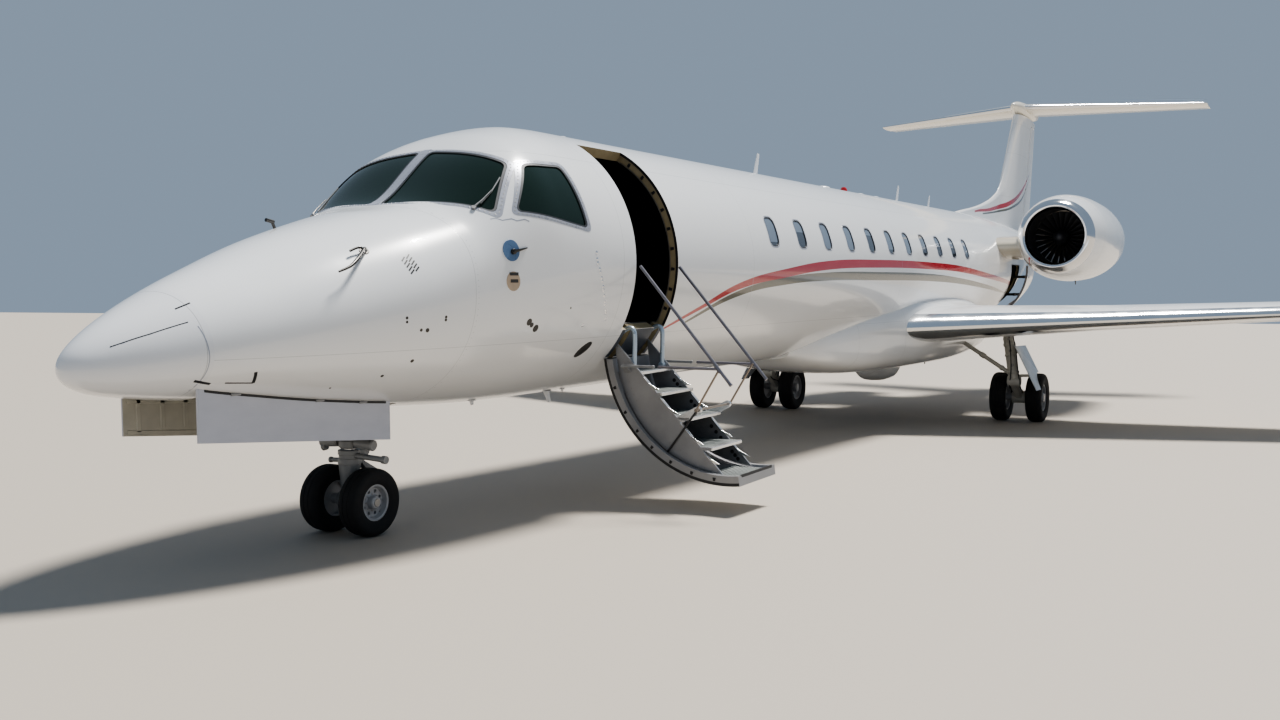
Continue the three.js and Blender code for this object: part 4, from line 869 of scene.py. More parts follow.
# %% [markdown]
# The fuselage is eight lengths of one tube. Each is lofted finely from the formula with its wall, its
# openings are cut, and the formula's own normals go back onto the outside, since a boolean leaves long
# thin faces that would show as facets in gloss paint.
# %% Fuselage sizes
SHELLS = {"radome": (0.0, 0.62, 0.04), "nose_section": (0.62, 2.42, 0.055),
          "cockpit_section": (2.42, 4.18, 0.07), "forward_cabin": (4.18, 6.7, 0.085),
          "mid_cabin": (6.7, 11.516, 0.085), "aft_cabin": (11.516, 16.3, 0.085),
          "baggage_section": (16.3, 19.9, 0.06), "tail_cone": (19.9, 24.4, 0.04)}
WINDOW = {"count": 11, "first": 7.27, "pitch": 0.772, "width": 0.24, "height": 0.325, "centre": 0.357,
          "round": 0.095}
WINDSHIELD = [(0.045, 2.5, 0.395), (0.93, 2.74, 0.33), (0.8, 3.06, 0.745), (0.045, 3.095, 0.835)]
SIDE_WINDOW = [(1.0, 2.9, 0.34), (1.085, 3.7, 0.235), (0.88, 3.64, 0.735), (0.86, 3.17, 0.72)]
DOORWAY = {"from": 4.37, "to": 5.1, "low": radians(-30), "high": radians(61)}
ARM_STATIONS = (4.495, 4.975)
HATCH = {"from": 18.3, "to": 19.35, "low": -0.7, "high": 0.15, "shift": (0.07, 1.09, 0.0)}
WELL = {"half": 0.29, "from": 0.7, "to": 2.38, "roof": -0.4, "wall": 0.03}


def sector(inner, outer, low, high, first, last, steps=40):
    """A ring sector about the cabin's axis."""
    angles = np.linspace(low, high, steps)
    arc = [(outer * cos(a), outer * sin(a)) for a in angles]
    arc += [(inner * cos(a), inner * sin(a)) for a in angles[::-1]]
    return loft([[(x, s, h) for x, h in arc] for s in (first, last)])


def window_corners(i, grow=0.0):
    """The corners of a cabin window, tangent to the cabin at its middle."""
    s = WINDOW["first"] + i * WINDOW["pitch"]
    angle = asin(WINDOW["centre"] / CABIN_RADIUS)
    centre = vec(cos(angle), 0, sin(angle)) * CABIN_RADIUS + vec(0, s, 0)
    up = vec(-sin(angle), 0, cos(angle)) * (WINDOW["height"] / 2 + grow)
    aft = vec(0, WINDOW["width"] / 2 + grow, 0)
    return [centre - aft - up, centre + aft - up, centre + aft + up, centre - aft + up]


def hatch_prism(grow, x0, x1):
    """The baggage hatch's rounded outline, pushed through the skin."""
    low = [vec(0, HATCH["from"] - grow, HATCH["low"] - grow), vec(0, HATCH["to"] + grow, HATCH["low"] - grow),
           vec(0, HATCH["to"] + grow, HATCH["high"] + grow),
           vec(0, HATCH["from"] - grow, HATCH["high"] + grow)]
    outline = rounded_outline(low, 0.09)
    return loft([[(x, p.y, p.z) for p in outline] for x in (x0, x1)])


def well_box(grown):
    half = WELL["half"] + grown
    return plate((-half, WELL["from"] - grown, -1.3), (half, WELL["to"] + grown, WELL["roof"] + grown))


cuts = {name: [] for name in SHELLS}
for i in range(WINDOW["count"]):
    s = WINDOW["first"] + i * WINDOW["pitch"]
    opening = window_prism(window_corners(i), WINDOW["round"], 0.125, 0.03)
    cuts["mid_cabin" if s < 11.516 else "aft_cabin"] += [opening, mirrored(opening)]
for corners in (WINDSHIELD, SIDE_WINDOW):
    opening = window_prism(corners, 0.06, 0.33, 0.26)
    cuts["cockpit_section"] += [opening, mirrored(opening)]
cuts["forward_cabin"].append(sector(0.9, 1.25, DOORWAY["low"], DOORWAY["high"], DOORWAY["from"],
                                    DOORWAY["to"]))
for s in ARM_STATIONS:
    cuts["forward_cabin"].append(
        sector(1.02, 1.25, radians(-47), DOORWAY["low"] + 0.02, s - 0.045, s + 0.045, steps=8))
cuts["baggage_section"].append(hatch_prism(0.0, 0.3, 1.3))
cuts["nose_section"].append(well_box(0.0))

for name, (first, last, wall) in SHELLS.items():
    if name == "radome":
        skin = raw_object(name + "_skin", hull(first, last))
    else:
        skin = raw_object(name + "_skin", shell(first, last, wall))
    for opening in cuts[name]:
        cut(skin, opening)
    dress(skin, "airframe", PAINT_NOSE if name == "radome" else PAINT_CABIN, "cabin_paint", (name,))
    if name == "radome":
        follow_skin(skin)
    else:
        # Inner faces take the near-black lining, which is painted shade, or the well primer in the nose.
        follow_skin(skin, lining=WELL_PRIMER if name == "nose_section" else SHADE_LINING,
                    jamb=PRIMER if name in ("forward_cabin", "baggage_section") else SEAL)
print("fuselage shells", len(SHELLS), "with", sum(map(len, cuts.values())), "cuts")

# %% [markdown]
# Each cockpit pane lies a little under the skin, held by a dark seal and a frame of countersunk screws.
# All three are patches of the same formula: a thin length of skin, cut to a rounded outline. The screws
# are Geometry Nodes, because a row of equal things along a path is what they do best: points carry the
# direction they face, and one small head is copied onto each.
# %% Fasteners by Geometry Nodes
def new_tree(name, *inputs):
    """An empty geometry tree with the given inputs between its geometry and its material."""
    tree = bpy.data.node_groups.new(name, "GeometryNodeTree")
    for title, kind, value in (("Geometry", "Geometry", None), *inputs, ("Material", "Material", None)):
        socket = tree.interface.new_socket(title, in_out="INPUT", socket_type="NodeSocket" + kind)
        if value is not None:
            socket.default_value = value
    tree.interface.new_socket("Geometry", in_out="OUTPUT", socket_type="NodeSocketGeometry")
    return tree, tree.nodes.new("NodeGroupInput").outputs


def copied(tree, source, points, shape, turn):
    """Ends a tree with a shape on every point, turned, made real and given its material."""
    copies = put(tree, "GeometryNodeInstanceOnPoints",
                 {"Points": points, "Instance": shape, "Rotation": turn})
    solid = put(tree, "GeometryNodeRealizeInstances", {"Geometry": copies.outputs[0]})
    finished = put(tree, "GeometryNodeSetMaterial",
                   {"Geometry": solid.outputs[0], "Material": source["Material"]})
    tree.links.new(finished.outputs[0], tree.nodes.new("NodeGroupOutput").inputs[0])
    return tree


def fastener_tree():
    """Points to small round heads, each turned to face along the point's own direction."""
    tree, source = new_tree("fasteners", ("Radius", "Float", 0.005), ("Height", "Float", 0.002),
                            ("Sides", "Int", 10))
    heads = put(tree, "GeometryNodeMeshCone", {
        "Vertices": source["Sides"], "Radius Bottom": source["Radius"], "Depth": source["Height"],
        "Radius Top": maths(tree, "MULTIPLY", source["Radius"], 0.72)})
    facing = put(tree, "GeometryNodeInputNamedAttribute", data_type="FLOAT_VECTOR")
    facing.inputs["Name"].default_value = "out"
    turn = put(tree, "FunctionNodeAlignRotationToVector", {"Vector": facing.outputs["Attribute"]}, axis="Z")
    points = put(tree, "GeometryNodeMeshToPoints", {"Mesh": source["Geometry"]})
    return copied(tree, source, points.outputs[0], heads.outputs["Mesh"], turn.outputs[0])


FASTENERS = fastener_tree()


def socket_key(tree, name):
    return next(s.identifier for s in tree.interface.items_tree if s.name == name and s.in_out == "INPUT")


def grown(obj, tree, inputs):
    """Runs a tree on an object and keeps the plain mesh that comes out."""
    modifier = obj.modifiers.new("nodes", "NODES")
    modifier.node_group = tree
    for key, value in inputs.items():
        modifier[socket_key(tree, key)] = value
    return bake(obj)


def fasteners(name, points, normals, body, material, radius=0.005, height=0.0016, sides=10, place=AIR):
    """One small head on each point, facing along that point's normal."""
    mesh = bpy.data.meshes.new(name)
    mesh.from_pydata([tuple(place @ Vector(p)) for p in points], [], [])
    facing = np.asarray(normals, float) @ np.array(place.to_3x3()).T
    mesh.attributes.new("out", "FLOAT_VECTOR", "POINT").data.foreach_set("vector", facing.ravel())
    obj = grown(linked(name, mesh), FASTENERS, {
        "Radius": radius, "Height": height, "Sides": sides, "Material": material})
    mark_sharp(obj.data, radians(50))
    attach(obj, body)
    return obj


def along_outline(outline, pitch):
    """Evenly spaced points along a closed outline."""
    points = np.array([tuple(p) for p in outline] + [tuple(outline[0])])
    lengths = np.linalg.norm(np.diff(points, axis=0), axis=1)
    ends = np.concatenate([[0], np.cumsum(lengths)])
    wanted = np.linspace(0, ends[-1], max(4, int(ends[-1] / pitch)), endpoint=False)
    return np.stack([np.interp(wanted, ends, points[:, k]) for k in range(3)], axis=1)


# %% [markdown]
# The cockpit panes. The patch helper cuts a thin length of skin to an outline and, for a ring, takes a
# smaller outline away again. Port pieces are mirrored for the other side.
# %% Cockpit windows
def skin_patch(name, first, last, prism, outer, inner, hole=None, step=0.03):
    obj = raw_object(name, shell(first, last, inner - outer, step, outer))
    cut(obj, prism, "INTERSECT")
    return obj if hole is None else cut(obj, hole)


def mirror_copy(obj, name):
    mesh = obj.data.copy()
    mesh.transform(MIRROR)
    mesh.flip_normals()
    return linked(name, mesh)


def both_sides(obj, name, material, slot, replaces="", body="airframe"):
    """Dresses a port piece and its mirror image; both follow the skin's normals."""
    twin = mirror_copy(obj, name + "_starboard")
    for side, thing in (("port", obj), ("starboard", twin)):
        thing.name = f"{name}_{side}"
        dress(thing, body, material, slot, (f"{replaces}_{side}",) if replaces else ())
        follow_skin(thing)


def outline_frame(corners, radius, shrink):
    """A window's rounded outline and its normal, for placing things round it."""
    points, _ = window_prism(corners, radius, 0.0, 0.001, shrink)
    half = len(points) // 2
    normal = Vector(points[half] - points[0]).normalized()
    return [Vector(p) for p in points[:half]], normal


for name, corners, first, last in (("windshield", WINDSHIELD, 2.4, 3.25),
                                   ("cockpit_window", SIDE_WINDOW, 2.8, 3.8)):
    pane = skin_patch(name + "_pane", first, last, window_prism(corners, 0.06, 0.33, 0.26, 0.003), 0.01,
                      0.034)
    both_sides(pane, name + "_pane", COCKPIT_GLASS, "glazing", name)
    seal = skin_patch(name + "_seal", first, last, window_prism(corners, 0.06, 0.33, 0.26, 0.003), 0.001,
                      0.009, window_prism(corners, 0.05, 0.34, 0.27, 0.024))
    both_sides(seal, name + "_seal", SEAL, "cabin_paint")
    rim = skin_patch(name + "_rim", first - 0.05, last + 0.05,
                     window_prism(corners, 0.07, 0.33, 0.26, -0.052), -0.0016, 0.002,
                     window_prism(corners, 0.06, 0.34, 0.27, -0.001))
    both_sides(rim, name + "_rim", FRAME_ENAMEL, "cabin_paint")
    outline, facing = outline_frame(corners, 0.065, -0.027)
    screws = onto_skin(along_outline(outline, 0.036), facing)
    for side, flip in (("port", (1, 1, 1)), ("starboard", (-1, 1, 1))):
        normals = skin_normal(screws) * flip
        fasteners(f"{name}_screws_{side}", screws * flip + normals * 0.0016, normals, "airframe", STEEL,
                  radius=0.0055)
print("cockpit screws each side", len(screws))
post_rings = []
for s in np.linspace(2.46, 3.115, 16):
    across = onto_skin([[x, s, 0.7] for x in (-0.04, -0.014, 0.014, 0.04)], (0, 0, 1), reach=0.69)
    facing = skin_normal(across)
    post_rings.append([*(across + facing * 0.003), *(across - facing * 0.002)[::-1]])
piece("windshield_post", loft(post_rings), "airframe", FRAME_ENAMEL, "cabin_paint")

# %% [markdown]
# A wiper parks up the outer edge of each windshield: an arm from a small fairing on the sill, and a
# blade that lies on the glass. They follow the pane by mixing its four corners and sliding the result
# onto the skin.
# %% Wipers
def on_windshield(across, up, lift):
    a, b, c, d = (np.array(p) for p in WINDSHIELD)
    flat = (1 - up) * ((1 - across) * a + across * b) + up * ((1 - across) * d + across * c)
    point = onto_skin([flat], tuple(outline_frame(WINDSHIELD, 0.06, 0)[1]))[0]
    return point + skin_normal([point])[0] * lift


arm = pipe([on_windshield(0.84, -0.02, 0.012), on_windshield(0.88, 0.12, 0.016),
            on_windshield(0.93, 0.36, 0.008)],
           [0.009, 0.006, 0.004])
blade = pipe([on_windshield(0.875, 0.1, -0.004), on_windshield(0.93, 0.36, -0.003),
              on_windshield(0.965, 0.66, -0.004)], 0.006)
knuckle = rod(on_windshield(0.84, -0.03, -0.004), on_windshield(0.84, -0.03, 0.02), 0.018)
for side, turn in (("port", lambda shape: shape), ("starboard", mirrored)):
    piece(f"wiper_arm_{side}", turn(joined(arm, knuckle)), "airframe", STEEL, "gear_metal")
    piece(f"wiper_blade_{side}", turn(blade), "airframe", GEAR_PAINT, "gear_metal")

# %% [markdown]
# A cabin window is a small double pane in a rubber ring. The outer pane is nearly flush. Eleven a side
# are joined into one object each, which stands for the strip of lining that carries them.
# %% Cabin windows
def window_parts(shrink_out, shrink_in, outer, inner):
    """All the windows of the port side as one mesh, solid or as rings."""
    rows = []
    for i in range(WINDOW["count"]):
        s = WINDOW["first"] + i * WINDOW["pitch"]
        hole = None
        if shrink_in is not None:
            hole = window_prism(window_corners(i), WINDOW["round"] * 0.85, 0.14, 0.04, shrink_in)
        rows.append(skin_patch(f"cabin_part_{i}", s - 0.25, s + 0.25,
                               window_prism(window_corners(i), WINDOW["round"], 0.125, 0.03, shrink_out),
                               outer, inner, hole))
    mesh = bmesh.new()
    for row in rows:
        mesh.from_mesh(row.data)
        bpy.data.objects.remove(row)
    strip = bpy.data.meshes.new("cabin_windows")
    mesh.to_mesh(strip)
    mesh.free()
    return linked("cabin_windows", strip)


both_sides(window_parts(0.003, None, 0.008, 0.026), "cabin_panes", PANE, "glazing", "cabin_windows")
both_sides(window_parts(0.001, 0.014, 0.0008, 0.012), "cabin_window_seals", SEAL, "cabin_paint")
both_sides(window_parts(-0.016, -0.0005, -0.0012, 0.002), "cabin_window_rims", FRAME_ENAMEL, "cabin_paint")

# %% [markdown]
# A wing is one aerofoil section carried along a swept line, so the section comes first: a round nose, the
# thickest point a third of the way back, and a thin tail. The flap and the aileron are cut out of the
# same solid by blocks behind their hinge lines, so their surfaces stay flush with the wing.
# %% Aerofoil sections
FOIL_TAIL = 0.02


def foil_half(u):
    """Half thickness at a share of the chord, as a share of the full thickness."""
    shape = 1.4845 * np.sqrt(u) - 0.63 * u - 1.758 * u ** 2 + 1.4215 * u ** 3 - 0.5075 * u ** 4
    return np.maximum(shape, FOIL_TAIL * u)


def foil_ring(row, count=30):
    """One section, from the tail over the top to the nose and back below."""
    steps = 1 - np.cos(np.linspace(0, pi / 2, count))
    lean = radians(row.get("cant", 0))
    ring = []
    for u, side in [(u, 1) for u in steps[::-1]] + [(u, -1) for u in steps[1:]]:
        offset = row.get("camber", 0) * 4 * u * (1 - u) + side * row["thickness"] * foil_half(u)
        ring.append((row["x"] - offset * sin(lean), row["edge"] + u * row["chord"],
                     row["h"] + offset * cos(lean)))
    return ring


def mixed(rows, key, value):
    """Interpolates every column of a table at one value of its key."""
    at = [row[key] for row in rows]
    return {name: float(np.interp(value, at, [row[name] for row in rows])) for name in rows[0]}


def smooth_rows(rows, steps=6):
    """More rows on a smooth curve through the columns of a short table."""
    return [dict(zip(rows[0], values)) for values in smooth_curve([row.values() for row in rows], steps)]


def skin_object(obj, body, material, slot, replaces, extra=(), choose=None):
    """Dresses a cut aerofoil, with its large faces in charge of the shading."""
    mark_sharp(obj.data)
    modified(obj, "WEIGHTED_NORMAL", keep_sharp=True)
    dress(obj, body, material, slot, replaces, angle=0)
    if choose:
        paint_faces(obj, extra, choose)
    return obj


def skin_pair(node, obj, material, slot="wing_paint", bodies="airframe", **dressing):
    """Dresses a port aerofoil and its mirror image."""
    twin = mirror_copy(obj, node + "_starboard")
    for side, thing in (("port", obj), ("starboard", twin)):
        thing.name = f"{node}_skin_{side}"
        skin_object(thing, bodies.format(side), material, slot, (f"{node}_{side}",), **dressing)


# %% [markdown]
# The wing sits low, with its root in a long belly fairing and its tip turned up into a winglet. The
# leading edge is bare metal, warmed in flight to shed ice, so it is polished and never painted.
# %% Wing, flap and aileron
WING_TABLE = [{"x": 0.8, "chord": 4.2, "thickness": 0.56, "camber": 0.03},
              {"x": 3.4, "chord": 2.9, "thickness": 0.35, "camber": 0.03},
              {"x": 10.0, "chord": 1.15, "thickness": 0.122, "camber": 0.012}]
TIP_TABLE = [dict(zip(("x", "rise", "edge", "chord", "thickness", "cant", "camber"), row)) for row in (
    (10.0004, 0, 0, 1.15, 0.122, 0, 0.012), (10.2, 0.06, 0.11, 1.03, 0.104, 35, 0),
    (10.33, 0.21, 0.23, 0.9, 0.084, 68, 0), (10.566, 1.08, 0.86, 0.43, 0.04, 76, 0))]
FLAP = {"from": 1.5, "to": 6.3, "chord": 0.25}
AILERON = {"from": 6.42, "to": 9.75, "chord": 0.27, "slot": 0.038, "end": 0.016}
MOVING_GAP = 0.008


def wing_row(x):
    return {**mixed(WING_TABLE, "x", x), "x": x, "edge": 11.4 + 0.4856 * x, "h": -0.865 + 0.04 * x}


def wing_block(first, last, share, ahead):
    """A block behind a hinge line at a share of the chord."""
    rings = []
    for x in [first, *([3.4] if first < 3.4 < last else []), last]:
        row = wing_row(x)
        front, back = row["edge"] + row["chord"] * (1 - share) - ahead, row["edge"] + row["chord"] + 0.06
        rings.append([(x, front, -1.5), (x, back, -1.5), (x, back, 0.2), (x, front, 0.2)])
    return loft(rings)


def bare_wing():
    return raw_object("wing", loft([foil_ring(wing_row(x)) for x in (1.0, 2.0, 3.4, 5.0, 6.7, 8.3, 9.9996)]))


def on_leading_edge(point, normal):
    row = wing_row(abs(point.x))
    share = (point.y - row["edge"]) / row["chord"]
    return 1 if share < 0.065 and abs(point.x) > 1.06 else 0


wing = bare_wing()
cut(wing, wing_block(FLAP["from"] - MOVING_GAP, FLAP["to"] + MOVING_GAP, FLAP["chord"], 0.0004))
cut(wing, wing_block(AILERON["from"] - AILERON["end"], AILERON["to"] + AILERON["end"], AILERON["chord"],
                     AILERON["slot"]))
cut(wing, plate((1.6, 14.06, -1.5), (2.19, 14.6, -0.8)))
skin_pair("wing", wing, PAINT_WING, extra=(POLISHED,), choose=on_leading_edge)
for panel, row, bodies in (("flap", FLAP, "airframe"), ("aileron", AILERON, "{}_aileron")):
    block = wing_block(row["from"], row["to"], row["chord"], 0)
    skin_pair(panel, cut(bare_wing(), block, "INTERSECT"), PAINT_WING, bodies=bodies)

tip_root = wing_row(10.0)
tip_rings = [foil_ring({**row, "edge": tip_root["edge"] + row["edge"], "h": tip_root["h"] + row["rise"]}, 24)
             for row in smooth_rows(TIP_TABLE, 7)]
skin_pair("winglet", raw_object("winglet", loft(tip_rings)), PAINT_TAIL)
print("wing panels made, tip sections", len(tip_rings))

# %% [markdown]
# The belly fairing is a soft rounded box that swallows the wing's root. Its sections are superellipses,
# squarer than an ellipse and rounder than a box, and the fuselage is taken out of its middle.
# %% Belly fairing
# station, half width, top and bottom
FAIRING = [(9.1, 0.5, -0.88, -1.12), (9.7, 0.78, -0.69, -1.27), (10.7, 0.96, -0.48, -1.4),
           (12, 1.09, -0.34, -1.455), (13.2, 1.29, -0.33, -1.455), (14.8, 1.29, -0.33, -1.455),
           (16.3, 1.13, -0.47, -1.37), (17.5, 0.78, -0.76, -1.16)]
FAIRING_POWER = 3.2


def superellipse(width, low, high, power, sides=72):
    angle = turns(sides)
    c, v = np.cos(angle), np.sin(angle)
    x = width * np.sign(c) * np.abs(c) ** (2 / power)
    h = (low + high) / 2 + (high - low) / 2 * np.sign(v) * np.abs(v) ** (2 / power)
    return x, h


def fairing_shape():
    rings = []
    for s, width, top, bottom in smooth_curve(FAIRING, 6):
        x, h = superellipse(width, bottom, top, FAIRING_POWER)
        rings.append(np.stack([x, np.full_like(x, s), h], axis=1))
    return loft(rings)


fairing = raw_object("wing_fairing_skin", fairing_shape())
cut(fairing, hull(8.9, 17.7, -0.0004, step=0.2))
skin_object(fairing, "airframe", PAINT_FAIRING, "composite_paint", ("wing_fairing",))

# %% [markdown]
# The fin grows out of a long dorsal fillet. A stack of sections does both: each is the fin's own
# aerofoil, with a thin nose stretched forward to the fillet's curved edge and melted into it by a smooth
# maximum. The rudder is then cut out behind its swept hinge line.
# %% Fin and rudder
FIN_TABLE = [{"h": 0.7, "edge": 21.15, "chord": 3.6, "thickness": 0.33},
             {"h": 3.64, "edge": 23.33, "chord": 2.08, "thickness": 0.24}]
DORSAL = [(0.7, 18.0), (1.13, 18.1), (1.205, 18.5), (1.275, 19.2), (1.4, 20.15), (1.578, 21.06), (1.78, 21.7),
          (2.03, 22.06), (2.33, 22.35), (2.5, 22.49)]
DORSAL_HALF = 0.045
RUDDER = {"low": 1.08, "high": 3.48, "chord": 0.32, "slot": 0.062, "end": 0.024}


def fin_ring(h, count=46):
    row = mixed(FIN_TABLE, "h", h)
    nose = row["edge"]
    if h < DORSAL[-1][0]:
        nose = min(nose, float(np.interp(h, [p[0] for p in DORSAL], [p[1] for p in DORSAL])))
    tail = row["edge"] + row["chord"]
    s = nose + (tail - nose) * (1 - np.cos(np.linspace(0, pi / 2, count)))
    blade = row["thickness"] * foil_half(np.clip((s - row["edge"]) / row["chord"], 0, 1))
    fade = np.clip((2.5 - h) / 0.35, 0, 1)
    thin = (DORSAL_HALF * fade * np.sqrt(np.clip((s - nose) / 0.25, 0, 1))
            * np.clip((row["edge"] + 1.4 - s) / 0.8, 0, 1))
    half = (blade ** 4 + thin ** 4) ** 0.25
    half[0] = 0
    right = [(v, y, h) for v, y in zip(half[::-1], s[::-1])]
    left = [(-v, y, h) for v, y in zip(half[1:], s[1:])]
    return right + left


def rudder_block(low, high, ahead):
    rings = []
    for h in (low, high):
        row = mixed(FIN_TABLE, "h", h)
        hinge = row["edge"] + row["chord"] * (1 - RUDDER["chord"]) - ahead
        back = row["edge"] + row["chord"] + 0.08
        rings.append([(-0.4, hinge, h), (0.4, hinge, h), (0.4, back, h), (-0.4, back, h)])
    return loft(rings)


def bare_fin():
    heights = [0.75, 0.95, *np.linspace(1.05, 2.5, 24), *np.linspace(2.65, 3.6346, 6)]
    fin = raw_object("fin", loft([fin_ring(h) for h in heights]))
    cut(fin, hull(18.0, 24.3999, -0.0004, step=0.2))
    return cut(fin, plate((-0.5, 24.3996, 0), (0.5, 26.5, 1.0)))


fin = bare_fin()
cut(fin, rudder_block(RUDDER["low"] - RUDDER["end"], RUDDER["high"] + RUDDER["end"], RUDDER["slot"]))
skin_object(fin, "airframe", PAINT_FIN, "tail_paint", ("fin",))
rudder = cut(bare_fin(), rudder_block(RUDDER["low"], RUDDER["high"], 0), "INTERSECT")
rudder.name = "rudder_skin"
skin_object(rudder, "rudder_panel", PAINT_FIN, "tail_paint", ("rudder",))

# %% [markdown]
# The tailplane crosses the top of the fin in a slim bullet. Its sections run straight from tip to tip,
# with a small rounded cap at each end, and the elevators are cut out like the ailerons.
# %% Tailplane, elevators and bullet
TAIL_ROOT = {"edge": 23.56, "chord": 1.93, "thickness": 0.21}
TAIL_TIP = {"x": 3.775, "edge": 25.26, "chord": 1.07, "thickness": 0.095}
TAIL_HEIGHT = 3.83
ELEVATOR = {"from": 0.26, "to": 3.56, "chord": 0.32, "slot": 0.038, "end": 0.016}
# share of the thickness left, and share of the chord, close to the tip
TIP_CAP = [(3.7, 1.0, 1.0), (3.74, 0.93, 0.995), (3.763, 0.7, 0.98), (3.775, 0.3, 0.955)]


def tail_row(x, flat=1.0, narrow=1.0):
    t = abs(x) / TAIL_TIP["x"]
    row = {key: (1 - t) * TAIL_ROOT[key] + t * TAIL_TIP[key] for key in TAIL_ROOT}
    lost = row["chord"] * (1 - narrow)
    return {"x": x, "h": TAIL_HEIGHT, "edge": row["edge"] + 0.7 * lost, "chord": row["chord"] - lost,
            "thickness": row["thickness"] * flat}


def elevator_block(first, last, ahead):
    rings = []
    for x in (first, last):
        row = tail_row(x)
        front = row["edge"] + row["chord"] * (1 - ELEVATOR["chord"]) - ahead
        back = row["edge"] + row["chord"] + 0.06
        rings.append([(x, front, 3.5), (x, back, 3.5), (x, back, 4.2), (x, front, 4.2)])
    return loft(rings)


def bare_tailplane():
    outward = [(0, 1, 1), (0.6, 1, 1), (1.9, 1, 1), *TIP_CAP]
    rows = [tail_row(-x, flat, narrow) for x, flat, narrow in outward[:0:-1]]
    rows += [tail_row(*place) for place in outward]
    return raw_object("tailplane", loft([foil_ring(row) for row in rows]))


tailplane = bare_tailplane()
elevator_gap = elevator_block(ELEVATOR["from"] - ELEVATOR["end"], ELEVATOR["to"] + ELEVATOR["end"],
                              ELEVATOR["slot"])
for gap in (elevator_gap, mirrored(elevator_gap)):
    cut(tailplane, gap)
tailplane.name = "tailplane_skin"


def on_tail_edge(point, normal):
    return 1 if point.y < tail_row(point.x)["edge"] + 0.07 and abs(point.x) > 0.3 else 0


# The cream on the tailplane, elevators and bullet is painted ground light.
skin_object(tailplane, "airframe", CREAM_GROUND_LIGHT_PAINT, "tail_paint", ("tailplane",), extra=(POLISHED,),
            choose=on_tail_edge)
elevator = cut(bare_tailplane(), elevator_block(ELEVATOR["from"], ELEVATOR["to"], 0), "INTERSECT")
skin_pair("elevator", elevator, CREAM_GROUND_LIGHT_PAINT, "tail_paint", "{}_elevator")
BULLET_LINE = [(0.0, 23.05), (0.045, 23.09), (0.085, 23.2), (0.13, 23.43), (0.155, 23.7), (0.165, 24.0),
               (0.165, 24.6), (0.15, 24.95), (0.09, 25.4), (0.04, 25.58), (0.0, 25.65)]
bullet_profile = [(max(p.x, 0), p.y) for p in smooth_path([(r, d, 0) for r, d in BULLET_LINE], 5)]
piece("tail_bullet", lathe(bullet_profile, (0, 0, 3.8), "y", 48), "airframe", CREAM_GROUND_LIGHT_PAINT, "tail_paint",
      angle=radians(50))

# %% [markdown]
# An engine is turned work: the nacelle's profile goes out over the polished lip, back to the nozzle and
# forward again along the duct. A monotone curve through the profile's few points keeps it smooth without
# a bulge. Blades, struts and wheel bolts stand in rings, so one tree copies a shape round an axis.
# %% Rings by Geometry Nodes
def ring_tree():
    """Copies the object's own mesh round an axis, the given number of times."""
    tree, source = new_tree("ring", ("Count", "Int", 12), ("Centre", "Vector", None),
                            ("Axis", "Vector", None))
    points = put(tree, "GeometryNodePoints", {"Count": source["Count"], "Position": source["Centre"]})
    share = maths(tree, "DIVIDE", put(tree, "GeometryNodeInputIndex").outputs[0], source["Count"])
    turn = put(tree, "FunctionNodeAxisAngleToRotation", {
        "Axis": source["Axis"], "Angle": maths(tree, "MULTIPLY", share, 2 * pi)})
    return copied(tree, source, points.outputs[0], source["Geometry"], turn.outputs[0])


RING = ring_tree()


def ringed(name, shape, centre, axis, count, body, material, slot, place=AIR, angle=SHARP_ANGLE):
    """A shape drawn about the origin, copied round the axis through the centre."""
    turn = place.to_3x3()
    obj = grown(raw_object(name, shape, turn.to_4x4()), RING, {
        "Count": count, "Centre": tuple(place @ Vector(centre)), "Axis": tuple(turn @ Vector(axis)),
        "Material": material})
    return dress(obj, body, material, slot, angle=angle)


def smooth_profile(pairs, steps=6):
    """A curve through a turned profile that keeps its highs and lows."""
    table = np.array(pairs, float)
    at = np.concatenate([[0], np.cumsum(np.sqrt(np.linalg.norm(np.diff(table, axis=0), axis=1)))])
    t = np.arange(steps) / steps
    columns = []
    for values in table.T:
        slopes = monotone(at, values)
        spans = zip(np.diff(at), values, values[1:], slopes, slopes[1:])
        columns.append([*np.concatenate([cubic(t, *span) for span in spans]), values[-1]])
    return [tuple(p) for p in np.array(columns).T]


# %% [markdown]
# The nacelle, with its lip of bare metal, the paint behind it and the dark acoustic lining inside. Seen
# from the front the duct is nearly black, with only the spinner and the blade edges catching light.
# %% Nacelles
ENGINE = {"x": 2.06, "h": 0.615, "front": 17.1}
LIP_PROFILE = [(0.47, 0.12), (0.5, 0.02), (0.535, 0.0), (0.575, 0.025)]
OUTER_PROFILE = [(0.575, 0.025), (0.68, 0.3), (0.765, 0.85), (0.785, 1.5), (0.77, 2.3), (0.7, 3.3),
                 (0.56, 4.2)]
DUCT_PROFILE = [(0.535, 4.2), (0.65, 3.15), (0.705, 2.1), (0.7, 1.15), (0.48, 0.85), (0.47, 0.12)]
LIP_DEPTH = 0.2
NACELLE_SIDES = 96


def engine_at(side):
    return (side * ENGINE["x"], ENGINE["front"], ENGINE["h"])


def nacelle_face(point, normal, side):
    """Paint outside, bare metal at the lip, lining inside and burnt metal in the nozzle."""
    depth = point.y - ENGINE["front"]
    radius = hypot(point.x - side * ENGINE["x"], point.z - ENGINE["h"])
    inward = normal.x * (point.x - side * ENGINE["x"]) + normal.z * (point.z - ENGINE["h"]) < 0
    if depth < LIP_DEPTH and not (inward and depth > 0.13):
        return 1
    if radius < np.interp(depth, [d for _, d in OUTER_PROFILE],
                          [r for r, _ in OUTER_PROFILE]) - 0.02 and inward:
        return 2 if depth < 1.0 else 3
    return 0


